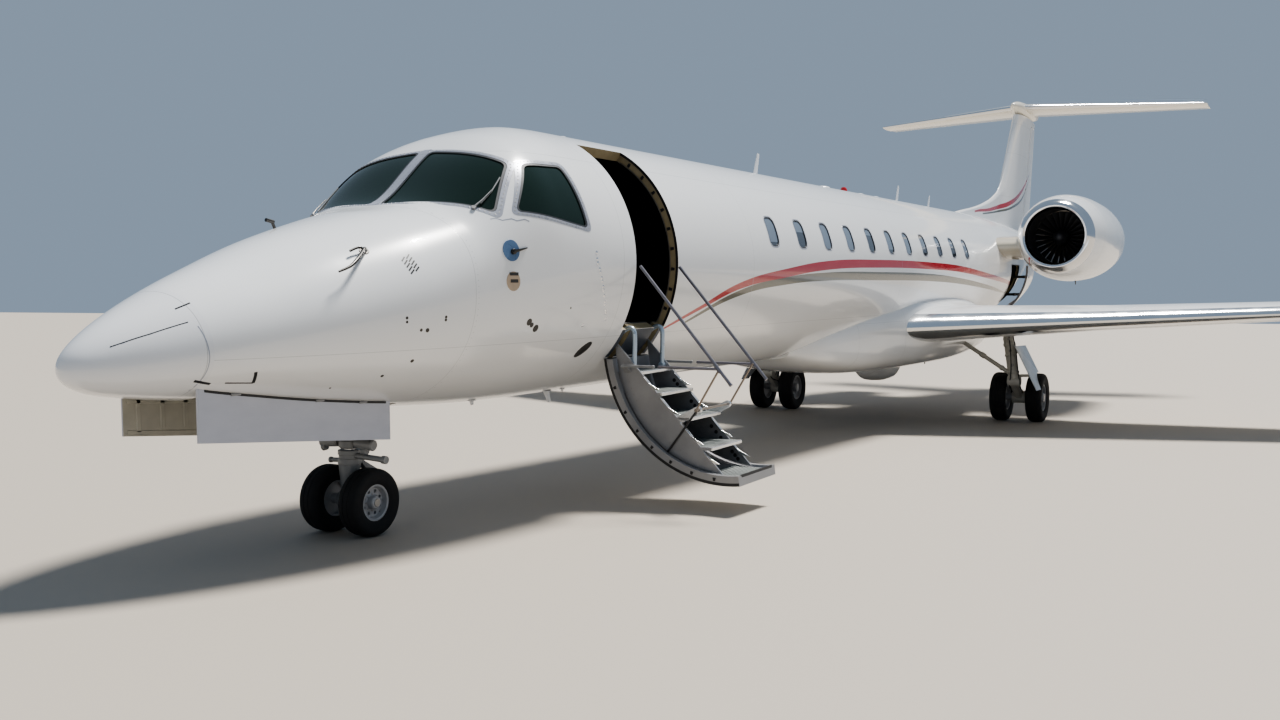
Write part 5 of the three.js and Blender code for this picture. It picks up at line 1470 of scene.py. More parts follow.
nacelle_curve = [*smooth_profile([*LIP_PROFILE, *OUTER_PROFILE[1:]]), *smooth_profile(DUCT_PROFILE)[:-1]]
for side, name in SIDES:
    shell_of_engine = lathe(nacelle_curve, engine_at(side), "y", NACELLE_SIDES, closed=True)
    nacelle = piece(f"nacelle_skin_{name}", shell_of_engine, "airframe", PAINT_NACELLE, "composite_paint",
                    (f"nacelle_{name}",))
    paint_faces(nacelle, (INTAKE_LIP, DUCT_LINER, HOT_METAL), lambda p, n: nacelle_face(p, n, side))

# %% [markdown]
# The fan is what the eye finds inside the intake: wide blades that twist from nearly fore and aft at the
# hub to nearly flat at the tip, round a pointed spinner.
# %% Fans
FAN = {"depth": 0.68, "tip": 0.462, "root": 0.14, "blades": 24}


def fan_blade():
    rings = []
    for t in np.linspace(0, 1, 8):
        radius = FAN["root"] + (FAN["tip"] - FAN["root"]) * t
        chord = 0.085 + 0.05 * t
        stagger = radians(22 + 38 * t)
        thick = 0.009 - 0.006 * t
        ring = []
        for a in turns(12):
            along, across = 0.5 * chord * cos(a), 0.5 * thick * sin(a)
            across += 0.08 * chord * (1 - (2 * along / chord) ** 2)
            ring.append((along * sin(stagger) + across * cos(stagger),
                         0.055 + along * cos(stagger) - across * sin(stagger), radius))
        rings.append(ring)
    return loft(rings)


SPINNER = [(0.0, -0.26), (0.03, -0.252), (0.06, -0.235), (0.095, -0.185), (0.12, -0.13), (0.139, -0.06),
           (0.15, 0.0), (0.15, 0.11), (0.0, 0.11)]
for side, name in SIDES:
    middle = (side * ENGINE["x"], ENGINE["front"] + FAN["depth"], ENGINE["h"])
    metal = f"{name}_fan", FAN_TITANIUM, "fan_metal"
    ringed(f"fan_blades_{name}", fan_blade(), middle, (0, 1, 0), FAN["blades"], *metal)
    piece(f"fan_hub_{name}", lathe(SPINNER, middle, "y", 56), *metal, (f"fan_{name}",))
print("fan blades", FAN["blades"])

# %% [markdown]
# Behind the fan stands the core on six struts, with its exhaust cone in the nozzle. Both are only seen
# from behind, where burnt metal is the colour to expect.
# %% Cores
CORE_PROFILE = [(0.0, 0.9), (0.33, 0.9), (0.36, 1.3), (0.36, 2.7), (0.3, 3.3), (0.27, 3.5), (0.12, 4.0),
                (0.0, 4.12)]
strut_points, strut_faces = loft([[(0.02 * sin(a), 0.09 * cos(a), r) for a in turns(20)]
                                  for r in (0.34, 0.7004)])
strut = strut_points @ np.array(Matrix.Rotation(radians(30), 3, "Y")).T, strut_faces
for side, name in SIDES:
    at = engine_at(side)
    piece(f"core_{name}", lathe(CORE_PROFILE, at, "y", 64), "airframe", HOT_METAL, "core_metal",
          (f"engine_core_{name}",), angle=radians(24))
    ringed(f"core_struts_{name}", strut, (at[0], at[1] + 1.4, at[2]), (0, 1, 0), 6, "airframe", HOT_METAL,
           "core_metal")

# %% [markdown]
# The pylons are short wings between hull and nacelle, cut to both.
# %% Pylons
PYLON = {"from": 17.35, "to": 20.35, "thickness": 0.43, "inner": 0.9, "outer": 1.7, "h": 0.45}


def pylon_ring(x):
    return foil_ring({"x": x, "edge": PYLON["from"], "h": PYLON["h"], "chord": PYLON["to"] - PYLON["from"],
                      "thickness": PYLON["thickness"]}, 40)


engine_envelope = smooth_profile([*LIP_PROFILE[2:], *OUTER_PROFILE[1:]])
envelope = [(0.0, 0.0), *[(r + 0.0004, d) for r, d in engine_envelope], (0.0, 4.2)]
for side, name in SIDES:
    pylon = raw_object(f"pylon_{name}",
                       loft([pylon_ring(PYLON["inner"]), pylon_ring(1.3), pylon_ring(PYLON["outer"])]))
    cut(pylon, lathe(envelope, engine_at(1), "y", NACELLE_SIDES))
    cut(pylon, hull(16.4, 21.8, -0.0004, step=0.2))
    if side < 0:
        pylon.data.transform(MIRROR)
        pylon.data.flip_normals()
    pylon.name = f"pylon_skin_{name}"
    # The pylon's darker paint is painted shade.
    skin_object(pylon, "airframe", PYLON_SHADE_PAINT, "composite_paint", (f"pylon_{name}",))
print("pylons", PYLON["from"], "to", PYLON["to"])

# %% [markdown]
# The gear stands in the ground's own frame, so heights here are above the ground. Wheels come first. A
# tyre is a turned profile with a bulged wall and grooves that run round its tread, since aircraft tyres
# have no cross pattern. The wheel is a deep dish with lightening holes and a ring of tie bolts.
# %% Wheel and tyre helpers
TYRE_FLAT = cos(pi / 20)
NOSE_GEAR = {"s": 2.24, "tyre": 0.2475, "width": 0.171, "rim": 0.13, "spread": 0.19, "axle": 0.038}
MAIN_GEAR = {"s": 14.67, "x": 2.05, "tyre": 0.381, "width": 0.241, "rim": 0.205, "spread": 0.27,
             "axle": 0.055}


def tyre_shape(gear, x, grooves):
    radius, half, rim = gear["tyre"] * TYRE_FLAT, gear["width"] / 2, gear["rim"]
    wall = smooth_profile([
        (rim + 0.0025, -0.8 * half), (rim + 0.012, -0.86 * half),
        (0.5 * (rim + 0.84 * radius), -0.965 * half),
        *((r * radius, -d * half)
          for r, d in ((0.84, 1), (0.925, 0.92), (0.972, 0.76), (0.993, 0.58), (1, 0.42)))], 4)
    tread, depth, wide = [], 0.013 * radius, 0.022 * radius
    for groove in grooves:
        tread += [(radius - down, groove * half + k * wide)
                  for down, k in ((0, -1), (depth, -0.6), (depth, 0.6), (0, 1))]
    return lathe([*wall, *tread, *[(r, -d) for r, d in wall[::-1]]], (x, gear["s"], radius), "x", 88,
                 closed=True)


def wheel_object(name, gear, x, bolts):
    """Both wheels of an axle as one turned solid, with holes cut through the dish."""
    rim, spread, half = gear["rim"], gear["spread"], gear["width"] * 0.38
    height = gear["tyre"] * TYRE_FLAT
    dish = (0, 1.14), (0.3, 1.14), (0.36, 1.02), (0.4, 0.44), (0.52, 0.36), (0.8, 0.42)
    barrel = ((-0.02, 0.56), (-0.015, 0.94), (-0.009, 1), (0.0012, 1), (0.0012, -1), (-0.013, -1),
              (-0.016, -0.5))
    side = [(r * rim, spread + d * half) for r, d in dish] + [(rim + r, spread + d * half) for r, d in barrel]
    side.append((gear["axle"], spread - 0.55 * half))
    wheels = raw_object(name, lathe([*side, *[(r, -d) for r, d in side[::-1]]], (x, gear["s"], height), "x",
                                    72), GROUND)
    holes = []
    for outward in (1, -1):
        for k in range(bolts):
            turn = 2 * pi * (k + 0.5) / bolts
            spot = vec(x, gear["s"] + 0.64 * rim * cos(turn), height + 0.64 * rim * sin(turn))
            ends = [spot + vec(outward * (spread + share * half), 0, 0) for share in (0.1, 0.9)]
            holes.append(rod(*ends, 0.105 * rim, 14, chamfer=0.01))
    return cut(wheels, joined(*holes), place=GROUND)


def wheel_bolts(gear):
    """Tie bolts between the holes, drawn about the axle on both outer faces."""
    rim, half = gear["rim"], gear["width"] * 0.38
    bolts = []
    for outward in (1, -1):
        face = outward * (gear["spread"] + 0.34 * half)
        for up, long, thick in ((0.82, 0.2, 0.03), (0.46, 0.16, 0.022)):
            end = face + outward * long * half, 0, up * rim
            bolts.append(rod((face, 0, up * rim), end, thick * rim + 0.002, 6))
    return joined(*bolts)


def dress_wheels(prefix, gear, x, body, grooves, holes):
    height = gear["tyre"] * TYRE_FLAT
    dress(wheel_object(prefix + "_rims", gear, x, holes), body, HUB_PAINT, "wheel_metal",
          (prefix + "_wheels",))
    ringed(prefix + "_tie_bolts", wheel_bolts(gear), (x, gear["s"], height), (1, 0, 0), holes, body, STEEL,
           "wheel_metal", GROUND)
    outer = 1 if x >= 0 else -1
    for place, side in (("outer", outer), ("inner", -outer)):
        piece(f"{prefix}_rubber_{place}", tyre_shape(gear, x + side * gear["spread"], grooves), body,
              RUBBER, "tyre", (f"{prefix}_tyre_{place}",), GROUND, angle=radians(38))
    cap = [(0.0, 0.0), (0.2, 0.0), (0.26, 0.012), (0.26, 0.02), (0.0, 0.02)]
    for number, way in enumerate((1, -1)):
        end = x + way * (gear["spread"] + 1.12 * gear["width"] * 0.38 + 0.006)
        shape = lathe([(r * gear["rim"], -d * way) for r, d in cap], (end, gear["s"], height), "x", 28)
        piece(f"{prefix}_hub_cap_{number}", shape, body, STEEL, "wheel_metal", place=GROUND)


dress_wheels("nose", NOSE_GEAR, 0.0, "nose_wheel_set", (-0.25, 0.25), 8)
dress_wheels("main_port", MAIN_GEAR, MAIN_GEAR["x"], "port_wheel_set", (-0.34, 0.0, 0.34), 10)
dress_wheels("main_starboard", MAIN_GEAR, -MAIN_GEAR["x"], "starboard_wheel_set", (-0.34, 0.0, 0.34), 10)

# %% [markdown]
# The nose leg hangs in a box between its doors. The fixed part is the painted cylinder with its drag
# brace and steering motor. The chromed tube, the collar and the torque links turn with the wheels. All
# of it is drawn about the ground under the axle, and tables of rods hold most of it.
# %% Nose leg
NOSE_AXLE = NOSE_GEAR["tyre"] * TYRE_FLAT


def gear_piece(name, material, *shapes, body="airframe", replaces=(), at=(0, NOSE_GEAR["s"], 0)):
    return piece(name, shifted(joined(*shapes), *at), body, material, "gear_metal", replaces, GROUND)


def upright(profile, sides=40, closed=False):
    return lathe(profile, (0, 0, 0), "z", sides, closed)


gear_piece(
    "nose_leg_cylinder", GEAR_PAINT,
    upright([(0, 0.84), (0.051, 0.84), (0.051, 0.622), (0.066, 0.62), (0.079, 0.632), (0.079, 0.672),
             (0.0705, 0.684), (0.0705, 0.93), (0.082, 0.94), (0.082, 0.985), (0.072, 0.995), (0.072, 1.27),
             (0.084, 1.28), (0.084, 1.36), (0.072, 1.37), (0.072, 1.565), (0, 1.565)], 48),
    plate((-0.285, -0.055, 1.385), (0.285, 0.055, 1.475)),
    bar_between((0, 0.05, 0.8), (0, 0.1, 0.8), 0.12, 0.1), *rods([(0, -0.04, 0.775, 0, -0.8, 1.575, 0.03),
                                                                  (0, -0.3, 1.049, 0, -0.36, 1.112, 0.04),
           (-0.11, -0.088, 0.73, 0.11, -0.088, 0.73, 0.04),
           (-0.11, -0.088, 0.73, -0.085, -0.088, 0.73, 0.046),
           (0.085, -0.088, 0.73, 0.11, -0.088, 0.73, 0.046), (-0.06, 0.09, 0.8, 0.06, 0.09, 0.8, 0.028)]),
    replaces=("nose_leg",))
links = [bar_between((side * 0.034, s, h), (side * 0.016, 0.19, low), 0.018, thick) for side in (1, -1)
         for s, h, low, thick in ((0.06, 0.55, 0.436, 0.032), (0.05, NOSE_AXLE + 0.04, 0.428, 0.03))]
axle_tube = [(0, -0.085), (0.054, -0.085), (0.061, -0.078), (0.061, 0.078), (0.054, 0.085), (0, 0.085)]
axle_boss = [(0, -0.05), (0.05, -0.05), (0.056, 0), (0.056, 0.075), (0.047, 0.09), (0, 0.09)]
gear_piece(
    "nose_fork_forging", GEAR_PAINT,
    upright([(0.045, 0.502), (0.078, 0.502), (0.084, 0.51), (0.084, 0.545), (0.078, 0.55), (0.078, 0.572),
             (0.084, 0.577), (0.084, 0.605), (0.079, 0.611), (0.045, 0.611)], 48, closed=True),
    lathe(axle_tube, (0, 0, NOSE_AXLE), "x", 40), upright([(r, NOSE_AXLE + d) for r, d in axle_boss]), *links,
    rod((-0.045, 0.195, 0.434), (0.045, 0.195, 0.434), 0.016), body="nose_steering_fork",
    replaces=("nose_fork",))
gear_piece("nose_sliding_tube", CHROME, rod((0, 0, NOSE_AXLE + 0.07), (0, 0, 0.82), 0.046, 40),
           body="nose_steering_fork")
jacks = [rod((side * 0.085, -0.02, 0.668), (side * 0.255, -0.02, 0.655), 0.04, 28, chamfer=0.2)
         for side in (-1, 1)]
gear_piece("nose_steering_jacks", GEAR_PAINT, *jacks, *rods([
    (-0.2, -0.03, 0.625, -0.235, -0.03, 0.615, 0.028, 24),
    (0.2, -0.03, 0.612, 0.15, -0.03, 0.615, 0.026, 24)]))
gear_piece("nose_tow_fitting", GEAR_PAINT, *rods([
    (0.06, -0.01, 0.572, 0.325, -0.01, 0.56, 0.021, 24), (0.325, -0.01, 0.56, 0.365, -0.01, 0.558, 0.029, 24),
    (-0.07, -0.01, 0.53, -0.165, -0.01, 0.526, 0.017), (-0.165, -0.01, 0.526, -0.185, -0.01, 0.525, 0.022),
    (-0.034, 0.335, 0.385, 0.034, 0.335, 0.385, 0.022)]),
    bar_between((0, 0.06, 0.535), (0, 0.335, 0.385), 0.055, 0.034), body="nose_steering_fork")
gear_piece("nose_fork_skirt", GEAR_PAINT, upright(
    [(0.047, 0.325), (0.06, 0.325), (0.064, 0.36), (0.074, 0.45), (0.079, 0.503), (0.047, 0.503)],
    closed=True), body="nose_steering_fork")
gear_piece("nose_leg_hose", HOSE, pipe(smooth_path(
    [(0.075, 0.03, 1.3), (0.082, 0.05, 1.0), (0.088, 0.04, 0.76), (0.08, 0.06, 0.7)]), 0.006))
gear_piece("nose_leg_clips", STEEL,
           *rods([(0.07, 0.03, z, 0.09, 0.045, z, 0.011) for z in (0.8, 0.96, 1.14)]))
gear_piece("taxi_lamp_case", BLACK_TRIM, plate((-0.012, -0.075, 0.92), (0.012, -0.055, 0.94)), lathe(
    [(0, 0), (0.045, 0.004), (0.052, 0.02), (0.05, 0.055), (0.03, 0.085), (0, 0.09)], (0, -0.145, 0.93),
    "y", 32))

# %% [markdown]
# Two doors hang either side of the well. Their outer faces carry the fuselage paint, and the inner ones
# are primer with pressed stiffeners. The well itself is a box, open below.
# %% Nose doors and well
DOOR_X, DOOR_THICK = 0.335, 0.02
DOOR_OUTLINE = [(0.61, -1.116), (2.24, -1.284), (2.24, -0.5), (0.61, -0.5)]
for side, name in SIDES:
    door = raw_object(f"nose_door_{name}_plate", extruded(DOOR_OUTLINE, DOOR_X + 0.006, DOOR_X + DOOR_THICK))
    ribs = [bar_between((0.341, s, -0.86), (0.341, s, -1.1), 0.035, 0.012, (0, 1, 0))
            for s in np.linspace(0.72, 2.12, 9)]
    ribs += [bar_between((0.341, 0.64, front), (0.341, 2.2, aft), 0.012, 0.03)
             for front, aft in ((-0.9, -1.02), (-1.095, -1.258))]
    inside = raw_object(f"nose_door_{name}_ribs", joined(*ribs))
    for thing in (door, inside):
        cut(thing, hull(0.5, 2.7, -0.0006, step=0.1))
        if side < 0:
            thing.data.transform(MIRROR)
            thing.data.flip_normals()
    soften(door, 0.0015, 1)
    dress(door, "airframe", DOOR_PAINT, "cabin_paint", (f"nose_door_{name}",))
    paint_faces(door, (WELL_PRIMER,), lambda p, n: 1 if n.x * side < -0.5 else 0)
    dress(inside, "airframe", WELL_PRIMER, "cabin_paint")
    face = DOOR_X + DOOR_THICK
    top_line = onto_skin([(face, s, -0.55) for s in np.linspace(0.66, 2.2, 28)], (0, 0, -1), reach=0.54)
    strip = (-0.002, 0), (0.0015, 0), (0.0015, -0.016), (-0.002, -0.016)
    gap = loft([[(side * (face + out), s, h + up) for out, up in strip] for _, s, h in top_line])
    piece(f"nose_door_gap_{name}", gap, "airframe", BLACK_TRIM, "cabin_paint", angle=radians(50))
    hinges = rods([(side * (face + 0.002), s - 0.035, h - 0.008, side * (face + 0.002), s + 0.035,
                    h - 0.008, 0.009, 16)
                   for _, s, h in top_line[[4, 16, 23]]])
    piece(f"nose_door_hinges_{name}", joined(*hinges), "airframe", GEAR_PAINT, "gear_metal")

well = raw_object("nose_well", well_box(WELL["wall"]))
cut(well, well_box(0.0))
cut(well, hull(0.5, 2.6, 0.052, step=0.1), "INTERSECT")
dress(well, "airframe", WELL_PRIMER, "cabin_paint")

# %% [markdown]
# Each main leg comes down from the wing to a knee, from which an arm trails back to the axle. A sprung
# strut holds the arm, a brace runs in to the fuselage and a door rides on the leg's outer side. All of
# it is drawn about the ground under the axle, for the port side, and mirrored for the other.
# %% Main legs
WHEEL_FOOT = (MAIN_GEAR["x"], MAIN_GEAR["s"], 0)
AXLE = MAIN_GEAR["tyre"] * TYRE_FLAT
KNEE = vec(0, -0.39, 0.64)
LEG = (vec(-0.17, -0.35, 1.75), KNEE)
STRUT = (vec(-0.02, -0.06, AXLE + 0.11), vec(-0.15, -0.33, 1.3))


def sleeve(line, first, last, radius, sides=36):
    """A rod between two shares of a line."""
    return rod(line[0].lerp(line[1], first), line[0].lerp(line[1], last), radius, sides)


main_leg = [
    *(sleeve(LEG, *row) for row in ((0.19, 0.97, 0.08), (0.47, 0.52, 0.092), (0.62, 0.66, 0.09),
                                    (0.86, 0.9, 0.092))),
    *(sleeve(STRUT, *row) for row in ((0.46, 1, 0.048, 28), (0.44, 0.5, 0.056, 28))),
    rod(KNEE - vec(0.095, 0, 0), KNEE + vec(0.095, 0, 0), 0.082, 36, chamfer=0.1),
    rod((-0.1, 0, AXLE), (0.1, 0, AXLE), 0.097, 40, chamfer=0.08),
    bar_between(KNEE, (0, 0, AXLE), 0.118, 0.128, chamfer=0.022),
    bar_between(KNEE + vec(0, 0.05, 0.045), (0, -0.02, AXLE + 0.055), 0.05, 0.05, chamfer=0.01),
    *rods([(-0.02, -0.06, AXLE + 0.11, -0.03, -0.082, AXLE + 0.18, 0.05, 28),
           (-0.07, -0.38, 0.76, -0.96, -0.38, 1.33, 0.032, 24),
           (-0.45, -0.38, 1.004, -0.52, -0.38, 1.048, 0.042, 24),
           (-0.17, -0.38, 0.824, -0.21, -0.38, 0.85, 0.04, 24),
           (-0.06, -0.37, 1.08, 0.11, -0.37, 1.09, 0.022, 18),
           (-0.02, -0.385, 0.72, 0.29, -0.385, 0.735, 0.022, 18)])]
hoses = [pipe(smooth_path(line), 0.008) for line in (
    [(-0.05, -0.455, 1.45), (0.03, -0.475, 1.15), (0.075, -0.48, 0.8), (0.095, -0.4, 0.55),
     (0.075, -0.16, 0.49), (0.06, -0.09, 0.44)],
    [(-0.1, -0.44, 1.45), (-0.05, -0.475, 1.15), (-0.03, -0.485, 0.82), (-0.06, -0.42, 0.56),
     (-0.075, -0.17, 0.49), (-0.07, -0.09, 0.44)])]
clips = [rod(spot + vec(0.02, -0.07, 0), spot + vec(0.02, -0.105, 0), 0.022, 14)
         for spot in (LEG[0].lerp(KNEE, t) for t in (0.42, 0.58, 0.78))]
strut_tube = rod((-0.022, -0.065, AXLE + 0.13), STRUT[0].lerp(STRUT[1], 0.49), 0.034, 28)
leg_door = bar_between((0.06, -0.3, 1.18), (0.39, -0.3, 0.52), 0.7, 0.018, (0, 1, 0), 0.003)
tyre_room = rod((0.15, 0, AXLE), (0.7, 0, AXLE), MAIN_GEAR["tyre"] + 0.014, 64, chamfer=0.0001)
for side, name in SIDES:
    for title, material, shapes, node in (
            ("main_leg_{}_forging", LEG_PAINT, main_leg, (f"main_leg_{name}",)),
            ("main_strut_tube_{}", CHROME, [strut_tube], ()), ("main_leg_hoses_{}", HOSE, hoses, ()),
            ("main_leg_clips_{}", STEEL, clips, ()), ("main_leg_door_{}", LEG_DOOR, [leg_door], ())):
        shape = shifted(joined(*shapes), *WHEEL_FOOT)
        thing = raw_object(title.format(name), shape if side > 0 else mirrored(shape), GROUND)
        if material is LEG_DOOR:
            room = shifted(tyre_room, *WHEEL_FOOT)
            cut(thing, room if side > 0 else mirrored(room), place=GROUND)
            soften(thing, 0.002, 1)
        dress(thing, "airframe", material, "gear_metal", node)
print("main legs at", MAIN_GEAR["x"], "m each side")

# %% [markdown]
# The airstair is the cabin door itself, let down about a hinge under the sill. It is drawn shut, as a
# length of the cabin's wall, and turned open by one matrix, so that its outside is sure to match the
# skin. Round edges are done per quarter of the outline: paint outside, a dark seal, and a metal pan.
# %% Stair door
DOOR_HINGE = (0.857, -0.66)
DOOR_OPEN_ANGLE = radians(143.5)
DOOR_NOSE = 0.164
DOOR_WALL = {"inner": 1.055, "outer": 1.14, "from": 4.378, "to": 5.092, "slack": 0.008 / 1.14}
STAIR_WEBS = {"radius": 1.0598, "low": radians(-37), "high": radians(51), "forward": 4.455, "aft": 5.0,
              "thick": 0.015}
OPEN_DOOR = (Matrix.Translation((DOOR_HINGE[0], 0, DOOR_HINGE[1])) @ Matrix.Rotation(DOOR_OPEN_ANGLE, 4, "Y")
             @ Matrix.Translation((-DOOR_HINGE[0], 0, -DOOR_HINGE[1])))
DRUM_CENTRE = OPEN_DOOR @ vec(0, 0, 0)


def opened(radius, angle, s):
    """A point of the shut door in polar form, as it lies with the door down."""
    return OPEN_DOOR @ vec(radius * cos(angle), s, radius * sin(angle))


def pin_at(s):
    return DOOR_HINGE[0], s, DOOR_HINGE[1]


def swept_section(section_points, low, high, steps):
    """Carries a small outline, given as radius and station, round the cabin's axis."""
    return loft([[tuple(opened(r, a, s)) for r, s in section_points] for a in np.linspace(low, high, steps)])


door_low, door_high = DOORWAY["low"] + DOOR_WALL["slack"], DOORWAY["high"] - DOOR_WALL["slack"]
r0, r1, s0, s1 = DOOR_WALL["inner"], DOOR_WALL["outer"], DOOR_WALL["from"], DOOR_WALL["to"]
door_section = [(r0, s0), (1.112, s0), (r1 - 0.003, s0), (r1, s0 + 0.003), (r1, s1 - 0.003), (r1 - 0.003, s1),
                (1.112, s1), (r0, s1), (r0, s1 - 0.05), (r0 + 0.02, s1 - 0.06), (r0 + 0.02, s0 + 0.06),
                (r0, s0 + 0.05)]
door_shell = raw_object("stair_door_shell", swept_section(door_section, door_low, door_high, 90))
cut(door_shell, rod(pin_at(4.3), pin_at(5.2), DOOR_NOSE, 72, chamfer=0.0001))
dress(door_shell, "airstair", DOOR_SKIN, "stair_metal")


def door_face(point, normal):
    """Skin outside, seal round the rim, bare pan inside, whose grey is set lighter as painted light for its
    shade.
    """
    arm = point - DRUM_CENTRE
    radius = hypot(arm.x, arm.z)
    outward = (normal.x * arm.x + normal.z * arm.z) / max(radius, 1e-6)
    if outward > 0.7:
        return 0
    return 2 if radius > 1.112 else 1


paint_faces(door_shell, (STAIR_WEB, BLACK_TRIM), door_face)

# %% [markdown]
# Two plates close the stair's sides. Their round edge follows the door, and their straight edge carries
# a bright flange between the steps. Holes in the aft plate save weight; they are dark to the eye, and are
# drawn as black discs on the plates: painted shade where a hole would be.
# %% Stair sides
def web_outline(radius, low, high, steps=60):
    return [opened(radius, a, 0) for a in np.linspace(low, high, steps)]


def web_plate(first, last):
    outline = web_outline(STAIR_WEBS["radius"], STAIR_WEBS["low"], STAIR_WEBS["high"])
    return loft([[(p.x, s, p.z) for p in outline] for s in (first, last)])


FORWARD_WEB, AFT_WEB, WEB_THICK = STAIR_WEBS["forward"], STAIR_WEBS["aft"], STAIR_WEBS["thick"]
web_object = raw_object("stair_webs", joined(*(web_plate(s, s + WEB_THICK) for s in (FORWARD_WEB, AFT_WEB))))
soften(web_object, 0.002, 1)
dress(web_object, "airstair", STAIR_WEB, "stair_metal", ("airstair_door",))
chord_top, chord_foot = (opened(STAIR_WEBS["radius"], STAIR_WEBS[end], 0) for end in ("low", "high"))
chord_way = (chord_foot - chord_top).normalized()
chord_in = vec(chord_way.z, 0, -chord_way.x)
if chord_in.dot(DRUM_CENTRE - chord_top) > 0:
    chord_in = -chord_in
print("web chord", round((chord_foot - chord_top).length, 3), "m, falling",
      round(degrees(asin(-chord_way.z)), 1))


def on_web(along, inward, s):
    """A point of a web: metres down its straight edge, metres in from it."""
    return chord_top + chord_way * along + chord_in * inward + vec(0, s, 0)


STEPS = [(0.86, 1.117, -0.925), (0.9, 1.33, -1.095), (1.08, 1.6, -1.29), (1.3, 1.8, -1.525)]
TREAD_THICK = 0.028


def chord_at_height(h):
    return (h - chord_top.z) / chord_way.z


flanges, gussets = [], []
for (_, _, upper), (_, _, lower) in zip(STEPS, [*STEPS[1:], (0, 0, -1.68)]):
    start, end = chord_at_height(upper - TREAD_THICK) + 0.02, chord_at_height(lower) - 0.02
    for s in (FORWARD_WEB + 0.01, AFT_WEB + 0.005):
        flanges.append(bar_between(on_web(start, 0.004, s), on_web(start + 0.62 * (end - start), 0.004, s),
                                   0.034, 0.006, (0, 1, 0), 0.001))
    foot, tip = on_web(end - 0.01, 0.0, 0), on_web(end - 0.085, 0.0, 0)
    for s in (FORWARD_WEB - 0.004, AFT_WEB - 0.004):
        corner = foot + vec(0.055, 0, 0)
        gussets.append(loft([[(p.x, at, p.z) for p in (foot, corner, tip)] for at in (s, s + 0.004)]))
piece("stair_flanges", joined(*flanges, *gussets), "airstair", STAIR_BRIGHT, "stair_metal", bevel=0.0008)

holes, hole_shade_facing = [], []
for (_, _, upper), (_, _, lower) in zip(STEPS, [*STEPS[1:], (0, 0, -1.68)]):
    start, end = chord_at_height(upper - TREAD_THICK), chord_at_height(lower)
    for share in (0.32, 0.55, 0.78):
        holes.append(tuple(on_web(start + share * (end - start), 0.055, AFT_WEB - 0.0004)))
        holes.append(tuple(on_web(start + share * (end - start), 0.055, FORWARD_WEB + WEB_THICK + 0.0004)))
        hole_shade_facing += [(0, -1, 0), (0, 1, 0)]
# Black discs stand for the holes: painted shade.
fasteners("stair_web_hole_shades", holes, hole_shade_facing, "airstair", BLACK_TRIM, 0.017, 0.0006, 20)
rivets, rivet_facing = [], []
for radius in (1.04, 0.985):
    span = STAIR_WEBS["radius"] * (STAIR_WEBS["high"] - STAIR_WEBS["low"]) - (0.12 if radius > 1 else 0.35)
    count = int(span / 0.055)
    middle = (STAIR_WEBS["low"] + STAIR_WEBS["high"]) / 2
    for a in np.linspace(middle - span / 2 / radius, middle + span / 2 / radius, count):
        rivets += [tuple(opened(radius, a, FORWARD_WEB)), tuple(opened(radius, a, AFT_WEB + WEB_THICK))]
        rivet_facing += [(0, -1, 0), (0, 1, 0)]
for along in np.arange(0.1, (chord_foot - chord_top).length - 0.08, 0.06):
    rivets += [tuple(on_web(along, 0.024, FORWARD_WEB)), tuple(on_web(along, 0.024, AFT_WEB + WEB_THICK))]
    rivet_facing += [(0, -1, 0), (0, 1, 0)]
fasteners("stair_web_rivets", rivets, rivet_facing, "airstair", STEEL, radius=0.0055,
          height=0.002)

# %% [markdown]
# The steps are trays with a gritty top and a bright nosing. Each is clipped by the door's own round, so
# that it ends against the pan. Grip strips run across the tread in a row.
# %% Steps
DRUM = lathe([(0.0, 4.3), (1.0597, 4.3), (1.0597, 5.2), (0.0, 5.2)], (DRUM_CENTRE.x, 0, DRUM_CENTRE.z), "y",
             96)
web_from, web_to = FORWARD_WEB + 0.001, AFT_WEB + WEB_THICK - 0.001
treads = raw_object("stair_treads", joined(*(
    plate((back, web_from, h - TREAD_THICK), (tip - 0.014, web_to, h - 0.002)) for back, tip, h in STEPS)))
cut(treads, DRUM, "INTERSECT")
soften(treads, 0.0015, 1)
dress(treads, "airstair", STAIR_WEB, "stair_metal")
grips = [plate((x, web_from + 0.012, h - 0.004), (x + 0.019, web_to - 0.012, h))
         for back, tip, h in STEPS for x in np.arange(max(back, 0.99) + 0.02, tip - 0.045, 0.028)]
grip_object = raw_object("stair_grips", joined(*grips))
cut(grip_object, DRUM, "INTERSECT")
dress(grip_object, "airstair", TREAD, "stair_metal")
nosings = []
for back, tip, h in STEPS:
    outline = [(tip - 0.016, h), (tip - 0.003, h), (tip, h - 0.004), (tip, h - 0.024),
               (tip - 0.004, h - 0.028), (tip - 0.016, h - 0.028)]
    nosings.append(loft([[(x, s, z) for x, z in outline] for s in (web_from, web_to)]))
piece("stair_nosings", joined(*nosings), "airstair", STAIR_BRIGHT, "stair_metal", bevel=0.001)
foot_grips = []
for a in np.radians(np.arange(43.0, 59.0, 1.5)):
    ring = [(1.0755, a), (1.0755, a + 0.016), (1.0715, a + 0.016), (1.0715, a)]
    foot_grips.append(loft([[tuple(opened(r, t, s)) for r, t in ring] for s in (4.475, 4.995)]))
piece("stair_foot_grips", joined(*foot_grips), "airstair", TREAD, "stair_metal")
foot_edge = swept_section([(1.052, s0 + 0.052), (1.076, s0 + 0.052), (1.076, s1 - 0.052),
                           (1.052, s1 - 0.052)],
                          door_high - 0.012, door_high - 0.001, 3)
piece("stair_foot_edge", foot_edge, "airstair", BLACK_TRIM, "stair_metal")
print("treads", len(STEPS), "grip strips", len(grips))

